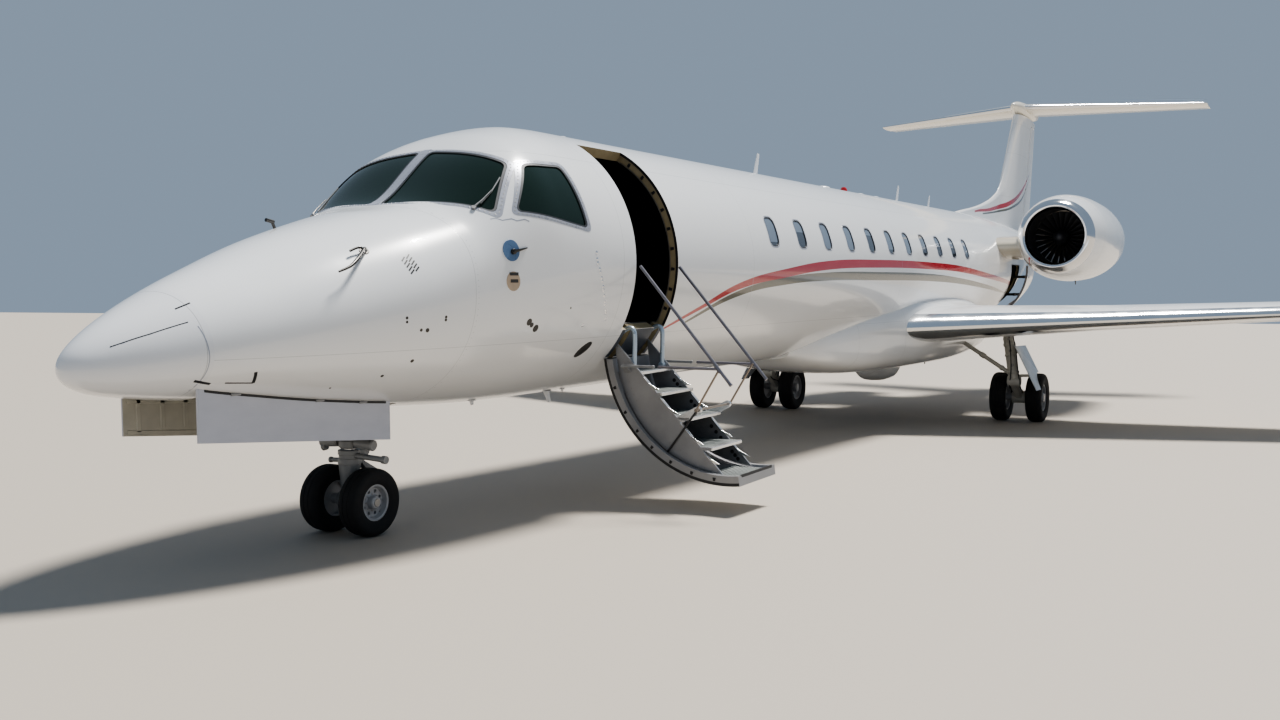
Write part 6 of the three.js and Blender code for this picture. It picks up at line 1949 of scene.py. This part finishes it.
# %% [markdown]
# Two arms carry the door on its hinge pins. Brackets beside the top step hold the handrails' lower
# links, and the posts stand on feet at the third step. Latches stick out a little along the door's rim.
# %% Stair fittings
arms, pins = [], []
for s in ARM_STATIONS:
    neck = [pin_at(s), (0.935, s, -0.588), (1.0, s, -0.56), (1.04, s, -0.59), (1.046, s, -0.68),
            (1.04, s, -0.9)]
    arms += [pipe(smooth_path(neck, 6), 0.02, 16), rod(pin_at(s - 0.026), pin_at(s + 0.026), 0.027, 24),
             rod((1.04, s - 0.024, -0.9), (1.04, s + 0.024, -0.9), 0.026, 20)]
    pins.append(rod(pin_at(s - 0.0446), pin_at(s + 0.0446), 0.0155, 20))
piece("stair_hinge_arms", joined(*arms), "airstair", ARM_METAL, "stair_metal")
piece("stair_hinge_pins", joined(*pins), "airstair", STEEL, "stair_metal")
RAIL = {"top": (1.165, -0.04), "knee": (1.882, -0.876), "end": (2.0, -1.005), "foot": (1.669, -1.222),
        "link": 1.335, "offset": 0.343, "radius": 0.014, "post": 0.009}
MIDDLE = (DOORWAY["from"] + DOORWAY["to"]) / 2
brackets, feet = [], []
for side in (-1, 1):
    web = MIDDLE + side * (MIDDLE - FORWARD_WEB - WEB_THICK / 2)
    rail = MIDDLE + side * RAIL["offset"]
    brackets += [bar_between((1.0, rail, -0.876), (RAIL["link"] - 0.042, rail, -0.876), 0.02, 0.022,
                             (0, 1, 0), 0.003),
                 bar_between((1.0, rail, -0.876), (1.0, web, -0.93), 0.06, 0.024, (1, 0, 0), 0.003),
                 rod((RAIL["link"] - 0.055, rail - 0.012, -0.876),
                     (RAIL["link"] - 0.055, rail + 0.012, -0.876), 0.014, 18)]
    feet += [bar_between((1.43, web, -1.35), (RAIL["foot"][0], web, RAIL["foot"][1]), 0.013, 0.066,
                         (0, 1, 0), 0.003),
             rod((RAIL["foot"][0], web - 0.013, RAIL["foot"][1]),
                 (RAIL["foot"][0], web + 0.013, RAIL["foot"][1]), 0.03, 24)]
piece("stair_brackets", joined(*brackets), "airstair", GEAR_PAINT, "stair_metal")
piece("stair_post_feet", joined(*feet), "airstair", STAIR_BRIGHT, "stair_metal")
brace = pipe([(1.662, FORWARD_WEB - 0.008, -1.226), (1.5, FORWARD_WEB - 0.009, -1.44),
              (1.337, FORWARD_WEB - 0.008, -1.646)], 0.009, 14)
piece("stair_brace", joined(brace,
                            rod((1.337, FORWARD_WEB - 0.018, -1.646), (1.337, FORWARD_WEB, -1.646), 0.016,
                                16)),
      "airstair", BLACK_TRIM, "stair_metal")
latches = []
for a in map(radians, (-16, -4, 6, 16, 27, 38, 49)):
    for s, way in ((s0, -1), (s1, 1)):
        ring = [(1.078, a - 0.013), (1.078, a + 0.013), (1.106, a + 0.009), (1.106, a - 0.009)]
        latches.append(loft([[tuple(opened(r, t, s + way * d)) for r, t in ring] for d in (-0.002, 0.0028)]))
piece("stair_latches", joined(*latches), "airstair", BLACK_TRIM, "stair_metal", bevel=0.0008)
rim_strip = swept_section([(1.0545, s0 + 0.004), (1.0565, s0 + 0.002), (1.0565, s0 + 0.046),
                           (1.0545, s0 + 0.046)],
                          door_low + 0.2, door_high - 0.02, 60)
piece("stair_rim_strip", rim_strip, "airstair", STAIR_WEB, "stair_metal")

# %% [markdown]
# The handrails are bent tubes. Each runs from a lug at the door jamb down past its knee, with a level
# link back to the stair, and stands on a thin post.
# %% Handrails and posts
for side, name in ((-1, "forward"), (1, "aft")):
    y = MIDDLE + side * RAIL["offset"]
    top, knee_point, end = (vec(RAIL[key][0], y, RAIL[key][1]) for key in ("top", "knee", "end"))
    link = vec(RAIL["link"], y, RAIL["knee"][1])
    lower_way = (end - knee_point).normalized()
    parts = [pipe([top, top.lerp(end, 0.33), top.lerp(end, 0.66), end], RAIL["radius"] - 0.0002, 28),
             rod(knee_point, link, 0.0118, 24), rod(link + vec(0.03, 0, 0), link, 0.0138, 24),
             rod(knee_point - lower_way * 0.035, knee_point + lower_way * 0.035, 0.0158, 28),
             rod(end - lower_way * 0.02, end + lower_way * 0.002, 0.0152, 28)]
    piece(f"handrail_tube_{name}", joined(*parts), "stair_rails", RAIL_TUBE, "rail_metal",
          (f"handrail_{name}",))
post_reach = RAIL["offset"] - RAIL["radius"] - 0.005 - RAIL["post"]
posts = []
for side in (-1, 1):
    y = MIDDLE + side * post_reach
    foot, head = (RAIL["foot"][0], y, RAIL["foot"][1]), (RAIL["knee"][0], y, RAIL["knee"][1])
    posts += [rod(foot, head, 0.0088, 22),
              rod((head[0], MIDDLE + side * 0.3286, head[2]), (head[0], y - side * 0.008, head[2]), 0.008,
                  18),
              rod((foot[0], y - side * 0.016, foot[2]), (foot[0], y + side * 0.008, foot[2]), 0.0155, 20)]
posts.append(rod((RAIL["foot"][0], MIDDLE - post_reach, RAIL["foot"][1]),
                 (RAIL["foot"][0], MIDDLE + post_reach, RAIL["foot"][1]), 0.0088, 22))
piece("handrail_post_tubes", joined(*posts), "stair_posts", POST_METAL, "rail_metal", ("handrail_posts",))

# %% [markdown]
# The doorway's frame is a black seal on the skin's edge, bare primer inside it and the small latches
# that take the door's bolts. That primer is lighter than its own tone: painted light for the shade the
# jamb stands in. A tan corner shows at the top, where the frame turns forward.
# %% Door jamb
seal_low, seal_high = DOORWAY["low"] + 0.01, DOORWAY["high"]
jamb = [sector(1.116, 1.1388, seal_low, seal_high, first, last, 70) for first, last in (
    (DOORWAY["to"] - 0.0024, DOORWAY["to"] + 0.002), (DOORWAY["from"] - 0.002, DOORWAY["from"] + 0.0024))]
piece("jamb_seal", joined(*jamb), "airframe", BLACK_TRIM, "cabin_paint")
keepers = []
for a in map(radians, np.arange(-22, 60, 9.5)):
    for s, way in ((DOORWAY["to"], -1), (DOORWAY["from"], 1)):
        ring = [(1.068, a - 0.014), (1.068, a + 0.014), (1.104, a + 0.011), (1.104, a - 0.011)]
        flat = [[(r * cos(t), s + way * d, r * sin(t)) for r, t in ring] for d in (-0.001, 0.0026)]
        keepers.append(loft(flat))
piece("jamb_latches", joined(*keepers), "airframe", BLACK_TRIM, "cabin_paint", bevel=0.0008)
inner_edge = [sector(1.05, 1.062, seal_low, seal_high, first, last, 70) for first, last in (
    (DOORWAY["to"] - 0.0022, DOORWAY["to"] + 0.02), (DOORWAY["from"] - 0.02, DOORWAY["from"] + 0.0022))]
piece("jamb_inner_edge", joined(*inner_edge), "airframe", STEEL, "cabin_paint")
sill_top = DOORWAY["low"]
# The apron below the sill is a scuff plate whose dark also stands for the shade under the sill: partly
# painted shade.
for name, inner, outer, low, high, short, steps, material in (
        ("door_sill_plate", 1.04, 1.058, sill_top - 0.3, sill_top + 0.004, 0.01, 14, STEEL),
        ("door_sill_apron", 1.1385, 1.1415, radians(-45), sill_top - 0.004, 0.03, 24, SILL_PLATE_AND_SHADE)):
    sill = raw_object(name, sector(inner, outer, low, high, DOORWAY["from"] + short, DOORWAY["to"] - short,
                                   steps))
    for s in ARM_STATIONS:
        cut(sill, sector(1.0, 1.2, radians(-50), sill_top + 0.05, s - 0.045, s + 0.045, 6))
    dress(sill, "airframe", material, "cabin_paint")
print("jamb latches", len(keepers))

# %% [markdown]
# Behind the glass sit the panel and two pilots' seats. A seat pad is a crowned form: its plan is a
# rounded square whose sides pull in a little, its top swells, and sewn channels press into it. Those
# rules move the points of a fine box.
# %% Seat pads
def pad_shape(centre, size, tilt, channels=(), crown=0.3):
    """A padded block of a size, leaned about the across axis, with channels at shares of its width."""
    edit = bmesh.new()
    bmesh.ops.create_cube(edit, size=2)
    bmesh.ops.subdivide_edges(edit, edges=edit.edges, cuts=17, use_grid_fill=True)
    turn = Matrix.Rotation(tilt, 3, "X")
    for vertex in edit.verts:
        x, y, z = vertex.co
        flat = max(abs(x), abs(y))
        if flat > 0:
            round_off = flat / (abs(x) ** 7 + abs(y) ** 7) ** (1 / 7)
            x, y = x * round_off, y * round_off
        x, y = x * (1 - 0.03 * (1 - y * y)), y * (1 - 0.03 * (1 - x * x))
        height = 1 - crown * max(abs(x), abs(y)) ** 5 - 0.12 * (x * x + y * y)
        press = sum(exp(-((x - place) / 0.035) ** 2) for place in channels)
        z = z * height - (0.14 * press if z > 0.6 else 0)
        vertex.co = turn @ vec(x * size[0] / 2, y * size[1] / 2, z * size[2] / 2) + Vector(centre)
    points = [tuple(v.co) for v in edit.verts]
    faces = [tuple(v.index for v in f.verts) for f in edit.faces]
    edit.free()
    return points, faces


SEAT_X = 0.48
back_lean = atan2(0.61, 0.2)
seat_pads = {
    "cushion": ((0, 3.415, -0.265), (0.46, 0.53, 0.15), 0.0, (-0.45, 0.45), 0.3),
    "back": ((0, 3.71, 0.075), (0.45, 0.6, 0.1), back_lean, (-0.4, 0.4), 0.25),
    "headrest": ((0, 3.825, 0.465), (0.26, 0.185, 0.075), back_lean, (), 0.35)}
for side, name in SIDES:
    for pad_name, (centre, size, tilt, channels, crown) in seat_pads.items():
        shape = shifted(pad_shape(centre, size, tilt, channels, crown), side * SEAT_X, 0, 0)
        pad = raw_object(f"pilot_{pad_name}_{name}", shape)
        first = side > 0 and pad_name == "cushion"
        dress(pad, "airframe", LEATHER, "seat_leather", ("pilot_seats",) if first else (), angle=radians(60))
seat_frames = []
for side in (1, -1):
    x = side * SEAT_X
    seat_frames += [plate((x - 0.2, 3.19, -0.355), (x + 0.2, 3.66, -0.338)),
                    plate((x - 0.05, 3.3, -0.573), (x + 0.05, 3.55, -0.35)),
                    plate((x - 0.13, 3.26, -0.574), (x - 0.1, 3.7, -0.53)),
                    plate((x + 0.1, 3.26, -0.574), (x + 0.13, 3.7, -0.53)),
                    bar_between((x, 3.655, -0.3), (x, 3.83, 0.34), 0.4, 0.02)]
    for way in (-1, 1):
        seat_frames += [rod((x + way * 0.05, 3.8, 0.34), (x + way * 0.05, 3.83, 0.42), 0.007, 10),
                        bar_between((x + way * 0.235, 3.38, -0.06), (x + way * 0.235, 3.68, -0.04), 0.03,
                                    0.035, chamfer=0.008)]
piece("pilot_seat_frames", joined(*seat_frames), "airframe", PANEL_BLACK, "seat_leather", bevel=0.001)

# %% [markdown]
# The panel is a black glareshield over a face of square displays, with the pedestal between the seats.
# It fills the space of its solid, clipped to the inside of the skin.
# %% Instrument panel and pedestal
glareshield = [(2.56, -0.3), (2.56, 0.31), (2.6, 0.33), (3.03, 0.305), (3.055, 0.29), (3.05, 0.27),
               (3.1, 0.18), (2.96, -0.3)]
panel = raw_object("panel_body", extruded(glareshield, -0.8, 0.8))
cut(panel, hull(2.43, 4.17, 0.105, step=0.05), "INTERSECT")
soften(panel, 0.003, 1)
dress(panel, "airframe", PANEL_BLACK, "panel_plastic", ("instrument_panel",))
face_top, face_foot = vec(0, 3.1, 0.18), vec(0, 2.96, -0.3)
face_down = (face_foot - face_top).normalized()
face_out = vec(0, -face_down.z, face_down.y)
bezels, screens, knobs = [], [], []
for x in (-0.44, -0.22, 0.0, 0.22, 0.44):
    middle = face_top + face_down * 0.16 + vec(x, 0, 0)
    bezels.append(bar_between(middle - face_down * 0.095, middle + face_down * 0.095, 0.195, 0.014,
                              chamfer=0.003))
    glass = middle + face_out * 0.005
    screens.append(bar_between(glass - face_down * 0.078, glass + face_down * 0.078, 0.16, 0.008,
                               chamfer=0.001))
    for step in (-0.07, -0.025, 0.025, 0.07):
        spot = middle + face_down * 0.125 + vec(step, 0, 0)
        knobs.append(rod(spot, spot + face_out * 0.018, 0.008, 12))
piece("display_bezels", joined(*bezels), "airframe", PANEL_BLACK, "panel_plastic")
piece("display_glass", joined(*screens), "airframe", SCREEN, "panel_plastic")
pedestal_top = [(2.75, -0.131), (3.64, -0.131), (3.62, -0.105), (2.95, -0.101), (2.75, -0.11)]
pedestal = [plate((-0.178, 2.75, -0.574), (0.178, 3.64, -0.13)), extruded(pedestal_top, -0.178, 0.178)]
levers = [bar_between((x, 3.22, -0.12), (x, 3.17, -0.101), 0.02, 0.02, chamfer=0.002) for x in (-0.03, 0.03)]
piece("pedestal_body", joined(*pedestal), "airframe", PANEL_BLACK, "panel_plastic", bevel=0.003)
piece("panel_knobs", joined(*knobs, *levers), "airframe", STEEL, "panel_plastic")


def refinish(node, material):
    """A solid whose shape is right keeps it and only takes the better finish."""
    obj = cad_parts[node]
    for slot in obj.material_slots:
        slot.material = material


refinish("cabin_floor", CARPET)
refinish("entry_cabinet", WALNUT)
cabinet_trim = [plate((-0.424, 4.33, h - 0.004), (-0.416, 5.22, h + 0.004)) for h in (-0.3, 0.02, 0.34)]
cabinet_trim += [plate((-0.424, s - 0.004, -0.56), (-0.416, s + 0.004, 0.62)) for s in (4.6, 4.92)]
piece("cabinet_trim", joined(*cabinet_trim), "airframe", STEEL, "cabinet_wood")
print("pads", 2 * len(seat_pads), "displays", len(screens))

# %% [markdown]
# A jet is a smooth shape covered in small things, and the nose carries most of them. Each sits on the
# skin: its place is a point of the formula, and its axis is the formula's own normal there.
# %% Places on the skin
def skin_spot(s, h, side=1, lift=0.0):
    """A point on the skin's side and the normal there."""
    point = Vector(side_point(s, h, side))
    normal = Vector(skin_normal([point])[0])
    return point + normal * lift, normal


def top_spot(x, s, under=False):
    """The skin's point above or below a place, and its normal."""
    way = -1 if under else 1
    point = Vector(onto_skin([[x, s, 0.7 * way]], (0, 0, way), reach=0.69)[0])
    return point, Vector(skin_normal([point])[0])


def disc(s, h, radius, height, side=1, sides=36, depth=0.004):
    point, normal = skin_spot(s, h, side)
    return rod(point - normal * depth, point + normal * height, radius, sides, chamfer=0.0005 / radius)


def skin_strip(corners, wide, height, side=1, depth=0.002):
    """A thin ribbon that follows the skin through a few station and height pairs."""
    spots = [skin_spot(s, h, side) for s, h in corners]
    rings = []
    for i, (point, normal) in enumerate(spots):
        before, after = spots[max(i - 1, 0)][0], spots[min(i + 1, len(spots) - 1)][0]
        across = normal.cross((after - before).normalized()) * (wide / 2)
        rings.append([tuple(point + across - normal * depth), tuple(point + across + normal * height),
                      tuple(point - across + normal * height), tuple(point - across - normal * depth)])
    return loft(rings)


def between(first, last, count):
    return [tuple(np.array(first) + (np.array(last) - first) * t) for t in np.linspace(0, 1, count)]


# %% [markdown]
# The probes: an air-speed tube on a swept stalk at each side of the nose, a vane on its blue disc, a
# temperature disc below it, and static ports. Louvres let air out of the nose bay.
# %% Nose probes and louvres
ice_detector = joined(*rods([(-0.3, 1.834, 0.19, -0.3, 1.8, 0.262, 0.011, 16),
                             (-0.3, 1.815, 0.258, -0.3, 1.745, 0.27, 0.014, 16)]))
piece("nose_ice_detector", ice_detector, "airframe", PROBE_DARK, "gear_metal")
for side, name in SIDES:
    base, normal = skin_spot(1.7265, 0.0352, side)
    places = [(0.685, 1.64, 0.005), (0.7215, 1.5577, -0.0339), (0.7376, 1.4872, -0.0699),
              (0.732, 1.3965, -0.1026)]
    places = [vec(side * x, s, h) for x, s, h in places]
    stalk = pipe(smooth_path([base - normal * 0.01, base + normal * 0.012, *places], 6),
                 list(np.interp(np.linspace(0, 1, 31), [0, 0.3, 0.6, 1], [0.024, 0.015, 0.013, 0.007])), 16)
    fork = pipe(smooth_path([base + normal * 0.004, vec(side * 0.636, 1.694, 0.057),
                             vec(side * 0.627, 1.658, 0.052), vec(side * 0.621, 1.609, 0.033)], 5), 0.008, 12)
    flange = rod(base - normal * 0.006, base + normal * 0.004, 0.034, 28)
    piece(f"air_speed_probe_{name}", joined(stalk, fork, flange), "airframe", PROBE_DARK, "gear_metal")
    slats = []
    for row in range(5):
        for column in range(2):
            s = 1.925 + 0.004 * row + 0.042 * column
            h = -0.016 - 0.021 * row + 0.018 * column
            line = between((s - 0.017, h - 0.014), (s + 0.017, h + 0.014), 3)
            slats.append(skin_strip(line, 0.01, 0.0016, side))
    piece(f"nose_louvres_{name}", joined(*slats), "airframe", BLACK_TRIM, "cabin_paint")
    piece(f"vane_disc_{name}", disc(2.78, 0.055, 0.078, 0.003, side), "airframe", PROBE_BLUE, "gear_metal")
    spot, normal = skin_spot(2.79, 0.045, side)
    aft, drop = vec(0, 1, 0.02), vec(0, 0, -1)
    outline = (-0.012, -0.01), (0.15, -0.03), (0.15, -0.02), (-0.012, 0.014)
    vane = loft([[tuple(spot + normal * n + aft * a + drop * d) for a, d in outline] for n in (0.006, 0.03)])
    piece(f"vane_{name}", joined(rod(spot, spot + normal * 0.026, 0.02, 24), vane), "airframe", PROBE_DARK,
          "gear_metal", bevel=0.001)
    piece(f"ice_disc_{name}", disc(2.785, -0.165, 0.07, 0.003, side), "airframe", PROBE_TAN, "gear_metal")
    slots = [skin_strip(between((2.755, -0.163), (2.83, -0.163), 4), 0.024, 0.006, side),
             skin_strip(between((2.745, -0.113), (2.835, -0.113), 5), 0.022, 0.004, side)]
    piece(f"ice_disc_port_{name}", joined(*slots), "airframe", PROBE_DARK, "gear_metal")
    ports = [disc(s, h, r, 0.0018, side, 18) for s, h, r in (
        (1.834, -0.403, 0.01), (1.836, -0.43, 0.009), (2.157, -0.405, 0.01), (2.157, -0.425, 0.01),
        (1.96, -0.487, 0.011), (2.013, -0.49, 0.015), (1.983, -0.696, 0.014), (1.816, -0.789, 0.012),
        (1.497, -0.85, 0.008), (3.02, -0.465, 0.028), (3.06, -0.488, 0.02), (3.12, -0.515, 0.03),
        (3.49, -0.37, 0.008))]
    piece(f"static_ports_{name}", joined(*ports), "airframe", PROBE_DARK, "cabin_paint")
    rim = [skin_spot(3.938 + 0.072 * cos(a) - 0.026 * sin(a), -0.716 + 0.049 * cos(a) + 0.038 * sin(a), side)
           for a in turns(28)]
    drain = loft([[tuple(p + n * up) for p, n in rim] for up in (-0.002, 0.003)])
    piece(f"drain_cover_{name}", drain, "airframe", PROBE_DARK, "cabin_paint", bevel=0.001)
print("nose louvres each side", len(slats))

# %% [markdown]
# The radome ends in a seam with a sealant line, and a diverter strip runs forward from it. Under the
# nose are a slot and a flush inlet, whose aft edge is dark because it dips into the skin. Black strips
# stand for the slot and for the inlet's aft edge and floor: painted shade where the real ones dip in.
# %% Radome lines and inlets
for side, name in SIDES:
    strip = skin_strip([(0.166, -0.526), (0.22, -0.505), (0.28, -0.482), (0.348, -0.459), (0.44, -0.427),
                        (0.539, -0.396)], 0.006, 0.0012, side)
    dash = skin_strip(between((0.53, -0.321), (0.614, -0.287), 4), 0.01, 0.0016, side)
    # The slot and the inlet are black strips on the skin: painted shade of their recesses.
    slot_shade = skin_strip(between((0.553, -0.739), (0.657, -0.764), 5), 0.02, 0.0012, side)
    inlet_back_shade = skin_strip(between((0.88, -0.704), (0.915, -0.775), 4), 0.02, 0.0012, side)
    inlet_floor_shade = skin_strip(between((0.741, -0.763), (0.915, -0.775), 6), 0.01, 0.0012, side)
    piece(f"nose_slots_{name}", joined(strip, dash, slot_shade, inlet_back_shade, inlet_floor_shade), "airframe",
          BLACK_TRIM, "cabin_paint")
    seam = [(0.545 + 0.05 * (1 - ((h + 0.62) / 0.3) ** 2), h) for h in np.linspace(-0.8, -0.42, 14)]
    seam_line = skin_strip(seam, 0.006, 0.0006, side)
    piece(f"radome_sealant_{name}", seam_line, "airframe", FRAME_ENAMEL, "cabin_paint")
sealant = [skin_strip([(2.7 + 0.037 * k, 0.278 + 0.008 * sin(2.1 * k)) for k in range(9)], 0.008, 0.0008,
                      side)
           for side in (1, -1)]
dashes = [(0.06, 3.775), (0.01, 3.78), (-0.022, 3.788), (-0.07, 3.815), (-0.093, 3.825), (-0.14, 3.85),
          (-0.165, 3.862), (-0.21, 3.885), (-0.235, 3.896), (-0.28, 3.922), (-0.33, 3.951), (-0.356, 3.967),
          (-0.4, 3.997), (-0.42, 4.012), (-0.471, 4.051), (-0.514, 3.735)]
for side, name in SIDES:
    spots = [skin_spot(s, h, side) for h, s in dashes]
    fasteners(f"door_frame_screws_{name}", [tuple(p) for p, _ in spots], [tuple(n) for _, n in spots],
              "airframe", STAIR_BRIGHT, radius=0.015, height=0.002, sides=12)
piece("windshield_sealant", joined(*sealant), "airframe", FRAME_ENAMEL, "cabin_paint")

# %% [markdown]
# Antennas are thin blades with a swept foil section. One helper draws them all, above and below.
# %% Antennas, domes, lights and wicks
def blade(point, normal, chord, height, sweep, thick):
    """A small fin standing on the skin."""
    rings = []
    for t in (0.0, 0.04, 0.5, 0.92, 1.0):
        size = chord * (1 - 0.45 * t) * (0.9 if t == 1.0 else 1)
        wide = thick * (1 - 0.4 * t) * (0.5 if t == 1.0 else 1)
        ring = []
        for a in turns(20):
            u = cos(a)
            ring.append(tuple(point + vec(wide / 2 * sin(a) * (1 - 0.35 * u),
                                          sweep * t + size / 2 * (u + 1), 0)
                              + normal * (t * height - 0.01)))
        rings.append(ring)
    foot = []
    for z, grow in ((-0.004, 1.0), (0.004, 1.0), (0.006, 0.94)):
        foot.append([tuple(point + vec(thick * 1.6 * grow * sin(a), chord * (0.5 + 0.62 * grow * cos(a)), 0)
                           + normal * z) for a in turns(28)])
    return joined(loft(rings), loft(foot))


antennas = []
for x, s, chord, height, sweep, thick, under in (
        (0.0, 9.13, 0.13, 0.29, 0.13, 0.022, False), (0.0, 14.7, 0.13, 0.29, 0.13, 0.022, False),
        (0.0, 16.5, 0.11, 0.24, 0.12, 0.02, False),
        (0.25, 4.27, 0.09, 0.11, 0.04, 0.026, True),
        (0.25, 4.54, 0.045, 0.035, 0.01, 0.014, True), (0.25, 3.26, 0.06, 0.05, 0.01, 0.02, True)):
    point, normal = top_spot(x, s, under)
    antennas.append(blade(point, normal, chord, height, sweep, thick))
piece("blade_antennas", joined(*antennas), "airframe", PAINT_NOSE, "composite_paint")
low_domes = []
for s, half, tall in ((4.95, 0.07, 0.03), (11.4, 0.13, 0.035), (12.9, 0.1, 0.03), (13.6, 0.1, 0.03)):
    point, normal = top_spot(0.0, s)
    dome = [(half, -0.02), (half, 0.0), (0.9 * half, 0.4 * tall), (0.6 * half, 0.8 * tall), (0.0, tall)]
    low_domes.append(shifted(lathe(dome, (0, 0, 0), "z", 32), *point))
piece("roof_domes", joined(*low_domes), "airframe", PAINT_NOSE, "composite_paint")
beacon = lathe([(0.055, -0.01), (0.055, 0.02), (0.048, 0.05), (0.028, 0.075), (0.0, 0.082)], (0, 0, 0), "z",
               32)
piece("beacon_lens", shifted(beacon, *top_spot(0.0, 12.3)[0]), "airframe", BEACON_RED, "composite_paint")
for side, name, material in ((1, "port", BEACON_RED), (-1, "starboard", GREEN_LENS)):
    lens_rings = []
    for x, k in ((-0.07, 0.3), (-0.055, 0.75), (-0.03, 1.0), (0.03, 1.0), (0.055, 0.75), (0.07, 0.3)):
        row = wing_row(9.88 + x)
        lens_rings.append([(side * row["x"], row["edge"] + 0.035 + 0.055 * k * cos(a),
                            row["h"] + 0.03 * k * sin(a))
                           for a in turns(20)])
    piece(f"tip_light_{name}", loft(lens_rings), "airframe", material, "wing_paint")
for side, name in SIDES:
    wicks = []
    for row in map(wing_row, (8.0, 8.8, 9.5)):
        start = vec(side * row["x"], row["edge"] + row["chord"] - 0.02, row["h"])
        wicks.append(rod(start, start + vec(side * 0.02, 0.13, -0.004), 0.0028, 8, 0.0016))
    piece(f"static_wicks_{name}_aileron", joined(*wicks), f"{name}_aileron", BLACK_TRIM, "gear_metal")
print("antennas", len(antennas), "roof domes", len(low_domes))

# %% [markdown]
# The baggage door stands out and aft of its opening on two arms. It is the missing length of the tail's
# side, moved out and back, with a ribbed pan inside it. The opening keeps a near-black lining, which is
# painted shade for the inside of the bay, and a sill strip.
# %% Baggage door and opening
HATCH_GAP = 0.008
HATCH_SHIFT = AIR @ Matrix.Translation(HATCH["shift"]) @ AIR.inverted()


def hatch_patch(name, outer, inner, trim):
    """A patch of the tail's side, as big as the hatch less a trim, where the shut door would be."""
    obj = raw_object(name, shell(HATCH["from"] - 0.1, HATCH["to"] + 0.1, inner - outer, 0.04, outer))
    window = plate((0.5, HATCH["from"] + trim, HATCH["low"] + trim),
                   (1.4, HATCH["to"] - trim, HATCH["high"] - trim))
    return cut(obj, window, "INTERSECT")


door = hatch_patch("baggage_door_panel", 0.0, 0.028, HATCH_GAP)
pan = hatch_patch("baggage_door_pan", 0.0282, 0.04, HATCH_GAP + 0.004)
for first, last in ((18.36, 18.66), (18.71, 18.95), (19.0, 19.29)):
    for low, high in ((-0.64, -0.47), (-0.42, -0.12), (-0.07, 0.09)):
        cut(pan, plate((0.5, first, low), (1.4, last, high)))
for thing in (door, pan):
    thing.data.transform(HATCH_SHIFT)
dress(pan, "airframe", PAN_GREY, "cabin_paint")
dress(door, "airframe", DOOR_SKIN, "cabin_paint", ("baggage_door",))


def hatch_face(point, normal):
    """Paint outside, primer on every inner face."""
    return 0 if normal.x > 0.35 and normal.x * abs(point.x) > 0.3 else 1


paint_faces(door, (PAN_GREY,), hatch_face)
arms = []
for h in (-0.08, -0.42):
    x = side_point(HATCH["to"], h)[0]
    arms += [bar_between((x - 0.11, 19.318, h), (x + 0.135, 19.318, h), 0.05, 0.052, (0, 0, 1), 0.006),
             bar_between((x + 0.135, 19.31, h), (x + 0.135, 19.66, h), 0.05, 0.05, (0, 0, 1), 0.006),
             rod((x + 0.135, 19.318, h - 0.029), (x + 0.135, 19.318, h + 0.029), 0.03, 24)]
piece("baggage_door_arms", joined(*arms), "airframe", PROBE_DARK, "cabin_paint")

seal = hatch_patch("hatch_seal", -0.001, 0.02, -0.004)
cut(seal, hatch_prism(-0.012, 0.4, 1.4))
dress(seal, "airframe", BLACK_TRIM, "cabin_paint")
# A near-black liner round the opening is painted shade for the inside of the bay.
shade_liner_sheet = raw_object("hatch_shade_liner", shell(HATCH["from"] - 0.5, HATCH["to"] + 0.4, 0.004, 0.08, 0.064))
cut(shade_liner_sheet, plate((-1.3, 17.0, -1.3), (0.1, 20.5, 1.3)))
cut(shade_liner_sheet, hatch_prism(0.03, 0.4, 1.4))
dress(shade_liner_sheet, "airframe", SHADE_LINING, "cabin_paint")
strikers = []
for h in (-0.62, -0.38, -0.14, 0.06):
    x = side_point(HATCH["from"], h)[0]
    strikers.append(plate((x - 0.075, HATCH["from"] + 0.0005, h - 0.02),
                          (x - 0.03, HATCH["from"] + 0.006, h + 0.02)))
piece("hatch_strikers", joined(*strikers), "airframe", STEEL, "cabin_paint", bevel=0.001)
print("baggage door arms", 2, "strikers", len(strikers))

# %% [markdown]
# A blister hangs under the belly fairing, and drain masts stand behind it and under each nacelle.
# %% Belly pod and masts
POD = {"from": 13.25, "to": 14.65, "half": 0.31, "top": -1.4, "depth": 0.33}
pod_rings = []
for t in [0.0, 0.03, 0.1, 0.22, 0.4, 0.6, 0.78, 0.9, 0.97, 1.0]:
    swell = max(0.02, (1 - abs(2 * t - 0.9) ** 3.2 / 1.4)) if 0 < t < 1 else 0.02
    ring = []
    for a in turns(40):
        c, v = cos(a), sin(a)
        reach = 0.06 if v > 0 else POD["depth"] * swell
        ring.append((POD["half"] * swell * np.sign(c) * abs(c) ** 0.8,
                     POD["from"] + (POD["to"] - POD["from"]) * t,
                     POD["top"] + reach * np.sign(v) * abs(v) ** 0.8))
    pod_rings.append(ring)
piece("belly_pod", loft(pod_rings), "airframe", PAINT_FAIRING, "composite_paint", angle=radians(60))
masts = []
for x, s, h, tall in ((0.35, 15.2, -1.44, 0.12), (2.06, 19.2, -0.135, 0.11)):
    masts += [blade(vec(side * x, s, h), vec(0, 0, -1), 0.1, tall, 0.05, 0.022) for side in (1, -1)]
piece("drain_masts", joined(*masts), "airframe", PROBE_DARK, "composite_paint")
print("masts", len(masts))
